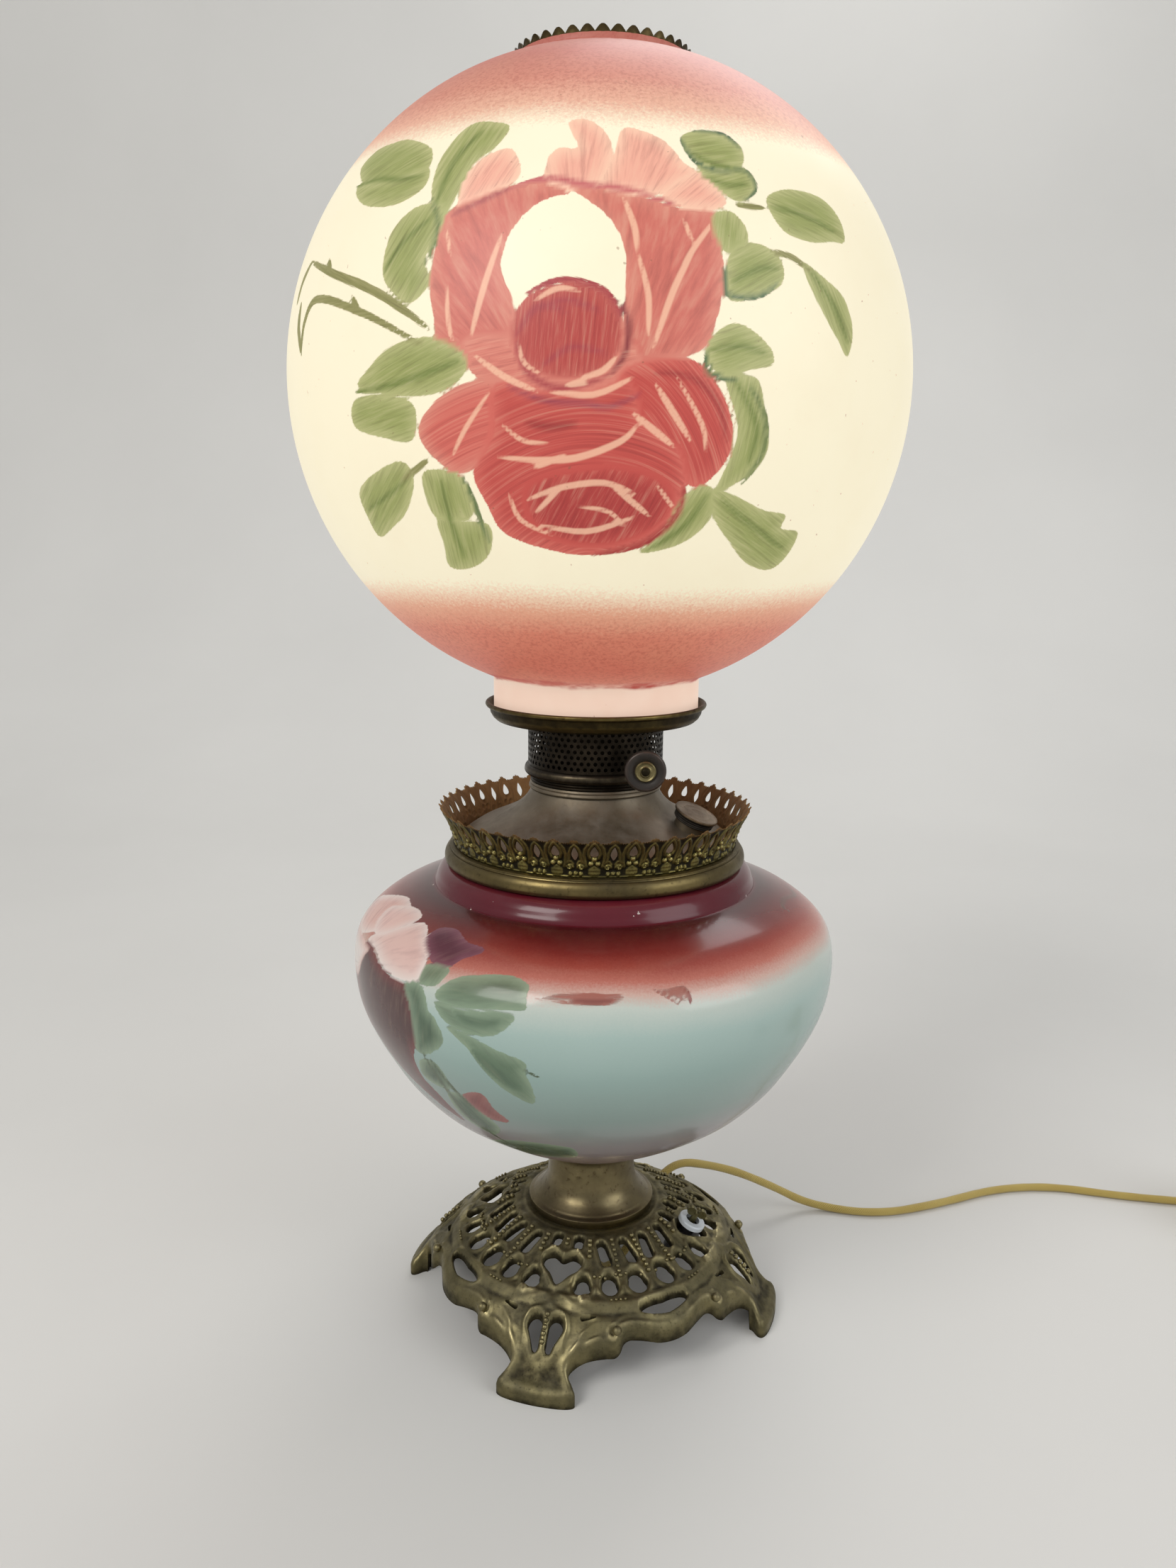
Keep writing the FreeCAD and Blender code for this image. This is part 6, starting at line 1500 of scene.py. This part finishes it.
for bead in ((0, 9.0, 1.35, 1.3), (1.55, 6.8, 1.35, 1.3), (-1.55, 6.8, 1.35, 1.3), (0, 1.9, 1.15, 1.0, True),
             (2.35, 1.7, 1.1, 1.0, True), (0, 5.0, 0.9, 0.6)):
    relief = np.maximum(relief, dome(*bead))
sprigs = (([(1.9, 9.6), (2.6, 11.6), (2.2, 14.0), (0.9, 16.2), (0, 17.3)], 0.75, 0.55),
          ([(3.7, 5.4), (4.3, 8.6), (4.5, 11.2), (3.9, 14.2), (2.6, 16.6)], 0.75, 0.6),
          ([(5.4, 7.2), (5.9, 9.6), (6.1, 12.0), (7.0, 14.6), (8.5, 16.4)], 0.7, 0.5),
          ([(4.6, 6.9), (6.6, 8.0), (7.6, 6.4)], 0.5, 0.5))
for side in (1, -1):
    lines = [(np.array(line) * (side, 1), high, width) for line, high, width in sprigs]
    lines.append((scroll((side * 6.0, 4.9), 1.5, 1.3, 90.0 - side * 90.0, side), 1.0, 0.4))
    for line, high, width in lines:
        relief = np.maximum(relief, high * bump(line_distance(at, line)[0], width))
woven = dome(0, 2.7, 2.9, 0.9) * (0.72 + 0.28 * np.sin((x + y) * 5.6) * np.sin((x - y) * 5.6))
veins = 0.35 * np.abs(np.sin(x * 3.4)) * np.clip((y - 16.0) / 1.5, 0, 1)
relief = np.maximum.reduce([relief, woven, veins, 0.5 * bump(y - 0.35, 0.5)])


def bent(x, y, out):
    """A place on the strip carried onto the crown's flare, `out` millimetres outward."""
    radius = CROWN_R + CROWN_FLARE * np.clip(y / CROWN_H, 0, 1) ** 1.6 + out - SHEET
    return around(radius, x / ARCH * math.pi / ARCHES, CROWN_Z + y)


many = len(at)
points = np.vstack([bent(x, y, 0.5 + 0.9 * relief), bent(x, y, 0.35 * relief)])
faces = two_sided(cells, edges, many)
arch = piece("arch", points, faces, crisp=50.0)
# Outside, raised work gets high relief numbers and comes out brighter, partly as painted highlight; the inside gets
# middling ones.
give_numbers(arch, "relief", np.concatenate([np.clip(0.12 + 0.72 * relief, 0, 1), 0.4 - 0.15 * relief]))
give_numbers(arch, "inside", np.concatenate([np.zeros(many), np.ones(many)]))
print("arch", len(faces), "faces")

# %% [markdown]
# Outside, the crown is olive brass, yellower where it stands up and darker in its hollows, partly from
# wear and partly as painted highlight and painted shade. Inside, and along its ragged edge, it has gone
# an orange brown.

# %% The crown's finish
crown_brass, tree, shader = coat_of("crown_brass", Metallic=0.9)
place = here(tree)
worn = use(tree, patina, Clean=tone(122, 111, 62), Dull=tone(90, 83, 48), Dark=tone(36, 30, 17), Amount=0.45,
    Size=90.0, Spots=0.3)
# The relief numbers make the raised work brighter and the hollows darker: partly wear and grime, partly painted
# highlight and painted shade.
worn_and_lit = use(tree, wear_and_painted_light, Color=worn["Color"], Bright=tone(178, 166, 106), Relief=reads(tree, "relief"), Rub=0.85,
    Dirt=0.95)
rust = mixed(tree, noise(tree, place, 160.0, 4.0, 0.65), tone(112, 80, 44), tone(172, 132, 82))
height = parted(tree, place)[2]
ragged = between(tree, maths(tree, "ADD", height, maths(tree, "MULTIPLY", noise(tree, place, 300.0), 0.003)), 0.2640,
    0.2668, 0.0, 0.6)
rusty = maths(tree, "MAXIMUM", maths(tree, "MULTIPLY", reads(tree, "inside"), 0.94), ragged)
colour = mixed(tree, rusty, worn_and_lit["Color"], rust)
metallic = maths(tree, "MULTIPLY_ADD", rusty, -0.6, 0.9)
polished = maths(tree, "SUBTRACT", worn["Roughness"], maths(tree, "MULTIPLY", worn_and_lit["Polish"], 0.12))
wire(tree, shader, Base_Color=colour, Metallic=metallic,
     Roughness=maths(tree, "ADD", polished, maths(tree, "MULTIPLY", rusty, 0.3)),
     Normal=raised(tree, worn["Height"], 0.05))
crown = grown("pierced_crown", arch, rounder, {"Copies": ARCHES, "Weld": 0.00005, "Finish": crown_brass})
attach(crown, "lamp")
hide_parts("crown_gallery")
print("crown", sum(len(p.vertices) - 2 for p in crown.data.polygons), "triangles")

# %% [markdown]
# The ring in the globe's mouth is a strip of the same kind: 38 small teeth over a plain band that
# reaches down into the glass.

# %% The globe's toothed ring
TEETH, TOOTH_R, TOOTH_LOW, TOOTH_TOP = 38, 37.9, 590.0, 598.9
tooth_half = math.pi * TOOTH_R / TEETH


def tooth_depth(at):
    """Metal between each place on the strip and the ring's toothed edge or its foot."""
    off_tip = np.abs(at[:, 0])
    edge = (TOOTH_TOP - 2.6 * np.clip((off_tip - 0.45) / (tooth_half - 0.45), 0, 1) ** 1.5
            + 0.25 * np.sin(off_tip * 6.0))
    return np.minimum(edge - at[:, 1], at[:, 1] - TOOTH_LOW)


at, cells, edges = cut_strip(np.linspace(-tooth_half, tooth_half, 13), np.linspace(590.1, 599.1, 19), tooth_depth)
x, y = at[:, 0], at[:, 1]
relief = 0.5 * bump(np.hypot(x, (y - 595.3) * 0.8), 1.1) + 0.35 * bump(y - 593.2, 0.5)
relief = relief + 0.3 * bump(tooth_half - np.abs(x), 0.4) * (y > 595)
turn = x / tooth_half * math.pi / TEETH
outer_r = TOOTH_R - 0.1 + 1.1 * np.clip((y - 594.0) / 5.0, 0, 1) + 0.5 * relief
points = np.vstack([around(radius, turn, y) for radius in (outer_r, outer_r - 0.75)])
many = len(at)
faces = two_sided(cells, edges, many)
foot_row = np.flatnonzero(y < 590.2).tolist()
faces += [[a, b, b + many, a + many] for a, b in zip(foot_row, foot_row[1:])]
tooth = piece("tooth", points, faces, crisp=50.0)
# The teeth's raised bosses and bead line get high relief numbers and come out brighter, partly as painted highlight;
# the inner face gets a low one and comes out darker, partly as painted shade.
give_numbers(tooth, "relief", np.concatenate([0.3 + 0.7 * relief, np.full(many, 0.3)]))
ring_brass = aged_metal("ring_brass", (104, 90, 58), (76, 64, 42), (38, 30, 22), amount=0.5, size=90.0,
    relief="relief", bright=(168, 150, 100), dust=0.08)
top_ring = grown("toothed_ring", tooth, rounder, {"Copies": TEETH, "Weld": 0.00005, "Finish": ring_brass})
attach(top_ring, "globe")
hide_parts("globe_top_ring")
print("toothed ring", len(top_ring.data.polygons), "faces")

# %% [markdown]
# The spun and turned pieces share one helper: an outline in millimetres (radius, height), a finish
# and the part that it stands in for. Brass comes in a few states of age: olive on the collar and the
# stem, dull and dusty on the font, nearly black on the burner and brown on the ring that holds the
# globe, whose rolled edge comes out lighter, partly from wear and partly as painted highlight.

# %% Finishes for the spun pieces
FONT_R, FONT_Z, FONT_H = 67.42, 247.2, 26.0
spun_olive = aged_metal("spun_olive", (118, 104, 68), (86, 76, 52), (40, 34, 24), amount=0.5, size=42.0, spots=0.45,
    rough=0.07, dust=0.08)
stem_brass = aged_metal("stem_brass", (132, 120, 88), (98, 88, 66), (58, 40, 27), amount=0.55, size=34.0, spots=0.5,
    rough=-0.02, dust=0.05)
dull_font = aged_metal("dull_font", (116, 105, 86), (94, 84, 69), (58, 48, 37), amount=0.4, size=40.0, spots=0.25,
    rough=0.09, dust=0.4, metallic=0.65)
burner_black = aged_metal("burner_black", (62, 54, 44), (40, 35, 30), (20, 17, 14), amount=0.5, size=70.0, spots=0.3,
    rough=0.04, dust=0.10, relief="relief", bright=(128, 116, 92), rub_and_highlight=0.6)
ring_brown = aged_metal("ring_brown", (96, 84, 48), (72, 58, 33), (40, 28, 16), amount=0.6, size=60.0, spots=0.5,
    rough=0.05, dust=0.12, relief="relief", bright=(150, 136, 84), rub_and_highlight=0.7)


def smooth(*points):
    """A curved run of an outline."""
    return flowing(points, 3).tolist()


def turned(name, outline, coat, nodes, slot, columns=96, relief=None):
    """A turned piece; `relief` gives its height attribute from each point's radius and height."""
    made = piece(name, *lathe_mesh(outline, columns)[:2], coat, crisp=42.0)
    # Relief numbers make high parts brighter and low parts darker: partly wear and grime, partly painted highlight
    # and painted shade.
    if relief:
        places = np.array([tuple(v.co) for v in made.data.vertices]) / MM
        give_numbers(made, "relief", relief(np.hypot(places[:, 0], places[:, 1]), places[:, 2]))
    if nodes:
        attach(made, "lamp")
        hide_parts(*nodes)
    return made


turned("spun_stem", [(30.4, 52), (32.0, 52), (32.3, 52.4), (32.3, 55.8), (31.8, 56.3), (30.4, 56.5), (29.6, 57.3),
        *smooth((29.2, 57.7), (27.8, 58.9), (25.5, 61.3), (23.7, 64.4), (22.7, 67.9), (22.3, 72.4), (22.4, 79.2),
            (22.9, 82.6), (24.1, 86.0)),
        (22.7, 86), (21.1, 79), (21.0, 72), (22.4, 64), (26.5, 58.5), (30.4, 55.5)], stem_brass, ["stem"],
        "spun_brass")
turned("rolled_collar", [(66, 236.9), (71.4, 236.9),
    *smooth((72.6, 237.3), (73.5, 238.6), (73.7, 240.3), (73.4, 242.1), (72.6, 243.6), (71.6, 244.5)),
    (71.0, 244.5), (70.7, 245.0), (71.2, 245.3), (71.2, 245.8), (70.4, 246.3), (69.4, 246.4), (69.4, 245.2),
    (66, 245.2)], spun_olive, ["collar_ring"], "spun_brass", columns=160)
font_shares = ((0.985, 0.0), (0.957, 0.1), (0.861, 0.269), (0.786, 0.36), (0.683, 0.48), (0.582, 0.618), (0.505, 0.8),
    (0.457, 1.0))
dome_line = flowing([(FONT_R * r, FONT_Z + FONT_H * z) for r, z in font_shares], 4)
turned("drop_in_font", [(67.2, 246.3), (FONT_R, 246.8), *dome_line.tolist(), (30.0, 273.2), (26, 273.2),
    (26, 272.2), *(dome_line[::-3] - [1.0, 1.0]).tolist(), (60.4, 247.2), (59, 246), (59, 171), (57.2, 169.3),
    (6, 169.3), (6, 168.2), (57.6, 168.2), (60, 170.6), (60, 246.3)], dull_font, ["font"], "tarnished_font",
    columns=128)
turned("mouth_ring", [(26, 273.2), (31.8, 273.2), (32.4, 273.9), (32.3, 274.6), (31.7, 275.2), (31.9, 275.8),
    (31.4, 276.6), (26, 276.6)], dull_font, ["font_collar"], "tarnished_font")
# The burner cup's bead gets high relief numbers and comes out brighter, partly as painted highlight.
turned("burner_cup", [(27, 276.9), (31.2, 276.9), (31.7, 277.4), (31.2, 278.0), (31.3, 278.4), (31.9, 278.9),
    (31.5, 279.6), (32.2, 280.0), *smooth((33.4, 280.3), (34.4, 281.4), (34.5, 282.6), (34.2, 283.9),
        (33.4, 284.9)), (32.9, 285.2), (12, 285.2), (12, 284.2), (31.2, 284.2), (32.2, 282.5), (30.2, 279.8),
    (27, 279.8)], burner_black, ["burner_base"], "burner_bronze", columns=240,
    relief=lambda r, z: 0.25 + 0.35 * bump(r - 34.5, 0.9) + 0.2 * np.abs(np.sin(z * 40)))
# The ring's rolled edge and the band near its foot get high relief numbers and come out brighter, partly as painted
# highlight.
turned("dished_ring", [(29, 306.3), (45.6, 306.4), (48.2, 307.0), (49.8, 308.4), (50.9, 310.4), (51.3, 312.4),
    (51.9, 313.2), *smooth((52.9, 313.5), (53.3, 314.3), (53.0, 315.2), (52.3, 315.5), (51.4, 315.2),
        (51.0, 314.4)), (50.5, 312.8), (50.0, 310.6), (48.9, 308.9), (47.6, 307.8), (45.4, 307.2), (29, 307.2)],
    ring_brown, ["shade_ring"], "burner_bronze", columns=128,
    relief=lambda r, z: 0.2 + 0.5 * bump(r - 53.2, 0.8) + 0.3 * bump(z - 308.4, 0.9))
print("spun pieces done")

# %% [markdown]
# The burner's sieve is one column of round holes, copied 64 times by the tree. The wick knob and the
# filler cap are turned upright and then laid onto their own axes.

# %% Sieve, knob and filler cap
SIEVE_R, SIEVE_INNER_R, SIEVE_LOW, SIEVE_TOP, COLUMNS = 32.8, 32.3, 285.2, 306.3, 64
HOLE_ROWS, FIRST_ROW, ROW_PITCH, HOLE_R = 7, 287.4, 2.72, 0.94
half_cell = math.pi * SIEVE_R / COLUMNS


def sieve_depth(at):
    """Metal between each place on the strip and the nearest hole or edge; every other row is shifted."""
    depth = np.minimum(at[:, 1] - SIEVE_LOW, SIEVE_TOP - at[:, 1])
    for row in range(HOLE_ROWS):
        for x in ((0.0,) if row % 2 else (-half_cell, half_cell)):
            depth = np.minimum(depth, np.hypot(at[:, 0] - x, at[:, 1] - FIRST_ROW - ROW_PITCH * row) - HOLE_R)
    return depth


at, cells, edges = cut_strip(np.linspace(-half_cell, half_cell, 9), np.linspace(285.1, 306.4, 53), sieve_depth)
turn = at[:, 0] / half_cell * math.pi / COLUMNS
points = np.vstack([around(radius, turn, at[:, 1]) for radius in (SIEVE_R, SIEVE_INNER_R)])
cell = piece("sieve_cell", points, two_sided(cells, edges, len(at)), crisp=60.0)
give_numbers(cell, "relief", np.full(len(points), 0.3))
sieve = grown("burner_sieve", cell, rounder, {"Copies": COLUMNS, "Weld": 0.00004, "Finish": burner_black})
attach(sieve, "lamp")
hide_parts("burner_basket")
# A plain dark sleeve inside the sieve is painted shade: a sheet that keeps light from showing through the holes.
turned("inner_sleeve", [(24.0, 285.3), (24.4, 285.3), (24.4, 306.2), (24.0, 306.2)], burner_black, ["burner_basket"],
       "burner_bronze", columns=48, relief=lambda r, z: np.full(len(z), 0.2))


def laid(made, foot, way):
    """Carry a piece turned about Z onto another axis, by its mesh's own points."""
    turn = Vector((0, 0, 1)).rotation_difference(Vector(way)).to_matrix().to_4x4()
    made.data.transform(Matrix.Translation(Vector(foot) * MM) @ turn)
    made.data.update()


KNOB_FOOT, KNOB_WAY = (22.7, -43.0, 289.8), (0, -1, 0)
CAP_SEAT, CAP_LIFT, CAP_WAY = (45.3, -21.1, 257.9), 3.4, (0.3686, -0.1719, 0.9135)
knob_black = aged_metal("knob_black", (58, 46, 38), (44, 35, 29), (24, 19, 16), amount=0.5, size=110.0, spots=0.3,
    rough=0.0, dust=0.12, metallic=0.15, relief="relief", bright=(120, 96, 74), rub_and_highlight=0.5)
hub_brass = aged_metal("hub_brass", (138, 128, 92), (104, 94, 64), (48, 40, 28), amount=0.55, size=200.0, spots=0.6,
    rough=0.05, dust=0.1, relief="relief", bright=(176, 164, 118), rub_and_highlight=0.6, dirt_and_shade=0.95)
# The knob's rim and the hub's raised ring get high relief numbers and come out brighter, partly as painted highlight;
# the hub's middle and its groove get low ones and come out darker.
rim = turned("knob_ring", [(1.6, 0), (8.3, 0),
        *smooth((9.0, 0.3), (9.5, 1.2), (9.5, 2.8), (9.0, 3.7), (8.1, 4.0), (6.6, 3.6), (5.2, 3.0)),
        (1.6, 2.8)], knob_black, (), "",
             relief=lambda r, z: 0.2 + 0.5 * bump(r - 8.9, 0.6) * (z > 2))
hub = turned("knob_hub", [(1.6, 2.7), (4.8, 2.9), (4.8, 4.1), (4.3, 4.6), (3.8, 4.4), (3.3, 4.1), (2.7, 4.2),
    (2.3, 4.7), (1.9, 4.6), (1.7, 5.6), (1.1, 5.95), (0.05, 6.0), (0.05, 2.7)], hub_brass, (), "", columns=48,
             relief=lambda r, z: np.clip(0.9 * np.clip((r - 1.7) / 0.6, 0, 1) - 0.5 * bump(r - 3.0, 0.5), 0, 0.6))
for made, node, slot in ((rim, "knob_rim", "burner_bronze"), (hub, "knob_boss", "bright_brass")):
    laid(made, KNOB_FOOT, KNOB_WAY)
    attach(made, "wick_knob")
    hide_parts(node)
cap_brass = aged_metal("cap_brass", (120, 103, 78), (92, 76, 56), (52, 40, 30), amount=0.5, size=90.0, spots=0.5,
    rough=0.1, dust=0.5, metallic=0.6, relief="relief", bright=(196, 174, 140), rub_and_highlight=0.7, dirt_and_shade=0.95)
# The cap's top gets middling relief numbers and its threaded side very low ones, so the side comes out darker than
# the top.
cap = turned("screw_cap", [(8.4, 0.2), (9.4, 0.2), (9.7, 0.6), (9.4, 1.0), (9.8, 1.4), (9.4, 1.9), (9.8, 2.4),
    (9.4, 2.8), (9.6, 3.3), (10.7, 3.8), (10.8, 4.3), (10.6, 4.8), (10.1, 5.0), (9.7, 4.75), (7.0, 4.85),
    (6.6, 5.0), (6.2, 4.85), (3.4, 4.9), (3.0, 5.05), (2.6, 4.9), (0.05, 4.95), (0.05, 3.9), (8.4, 3.8)], cap_brass,
    (), "", columns=72, relief=lambda r, z: np.where(z > 3.9, 0.42 + 0.2 * bump(z - 5.0, 0.12), 0.04))
laid(cap, Vector(CAP_SEAT) + CAP_LIFT * Vector(CAP_WAY), CAP_WAY)
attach(cap, "cap")
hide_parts("filler_cap")
print("sieve, knob and cap done")

# %% [markdown]
# What is left keeps the shape that CAD gave it, and gets a finish by what it is made of. A plain
# surface has a slight grain or mottle, so nothing reads as a flat fill.

# %% Finishes for the rest


def plain(name, first, second, size, roughness, **values):
    """A plain material that goes from one colour to another in patches, with a little dust."""
    made, tree, shader = coat_of(name, Roughness=roughness, **values)
    place = here(tree)
    mottle = noise(tree, place, size, 4.0)
    dusty = use(tree, dusting, Color=mixed(tree, mottle, tone(*first), tone(*second)), Amount=0.08)
    wire(tree, shader, Base_Color=dusty["Color"], Normal=raised(tree, mottle, 0.04))
    return made


satin = aged_metal("satin_brass", (196, 170, 104), (160, 136, 80), (90, 72, 44), amount=0.35, size=120.0, dust=0.05)
steel = aged_metal("plain_steel", (150, 150, 148), (118, 118, 116), (70, 66, 62), amount=0.35, size=120.0, dust=0.05)
key_brass = aged_metal("key_brass", (128, 122, 86), (96, 90, 62), (48, 42, 28), amount=0.5, size=220.0, spots=0.5,
    dust=0.1)
china = plain("white_china", (206, 212, 216), (190, 198, 204), 90.0, 0.22, Coat_Weight=0.4)
black_resin = plain("black_resin", (34, 31, 29), (24, 22, 21), 300.0, 0.45)
brown_resin = plain("brown_resin", (58, 38, 24), (44, 28, 18), 200.0, 0.3)
tie_resin = plain("tie_resin", (30, 30, 30), (22, 22, 22), 300.0, 0.55)
cotton = plain("wick_cotton", (224, 216, 196), (196, 186, 160), 900.0, 0.9, Sheen_Weight=0.2)
cork = plain("cork_grain", (168, 122, 78), (120, 80, 48), 500.0, 0.85)
paper = plain("pressed_paper", (166, 140, 98), (146, 120, 82), 300.0, 0.8)
frosted, tree, shader = coat_of("frosted_bulb", Roughness=0.4, Emission_Color=tone(255, 226, 180),
    Emission_Strength=0.8)
wire(tree, shader, Base_Color=mixed(tree, noise(tree, here(tree), 60.0), tone(250, 240, 222), tone(240, 228, 204)))
finishes = {
    satin: "socket_cap socket_shell screw_shell socket_contact bulb_base plug_blade_left plug_blade_right",
    steel: "lamp_pipe base_nut base_washer lock_nut knob_shaft shaft_bearing wick_pinion", key_brass: "switch_key",
    dull_font: "filler_neck",
    # The draft tube and wick carrier have no relief numbers, so the burner's finish comes out at its darkest on them:
    # painted shade inside the burner, over the burner's own dark metal.
    burner_black: "draft_tube wick_carrier", ring_brown: "shade_washer", china: "switch_bezel",
    black_resin: "socket_core switch_body cord_bushing", brown_resin: "plug_body",
    tie_resin: "cord_tie", cotton: "wick", cork: "filler_gasket", paper: "socket_liner",
    frosted: "bulb_glass bulb_stem"}
for coat, nodes in finishes.items():
    for node in nodes.split():
        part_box(node)
        mesh = bpy.data.objects[node].data
        mesh.materials.clear()
        mesh.materials.append(coat)
print(sum(len(nodes.split()) for nodes in finishes.values()), "solids keep their shape")
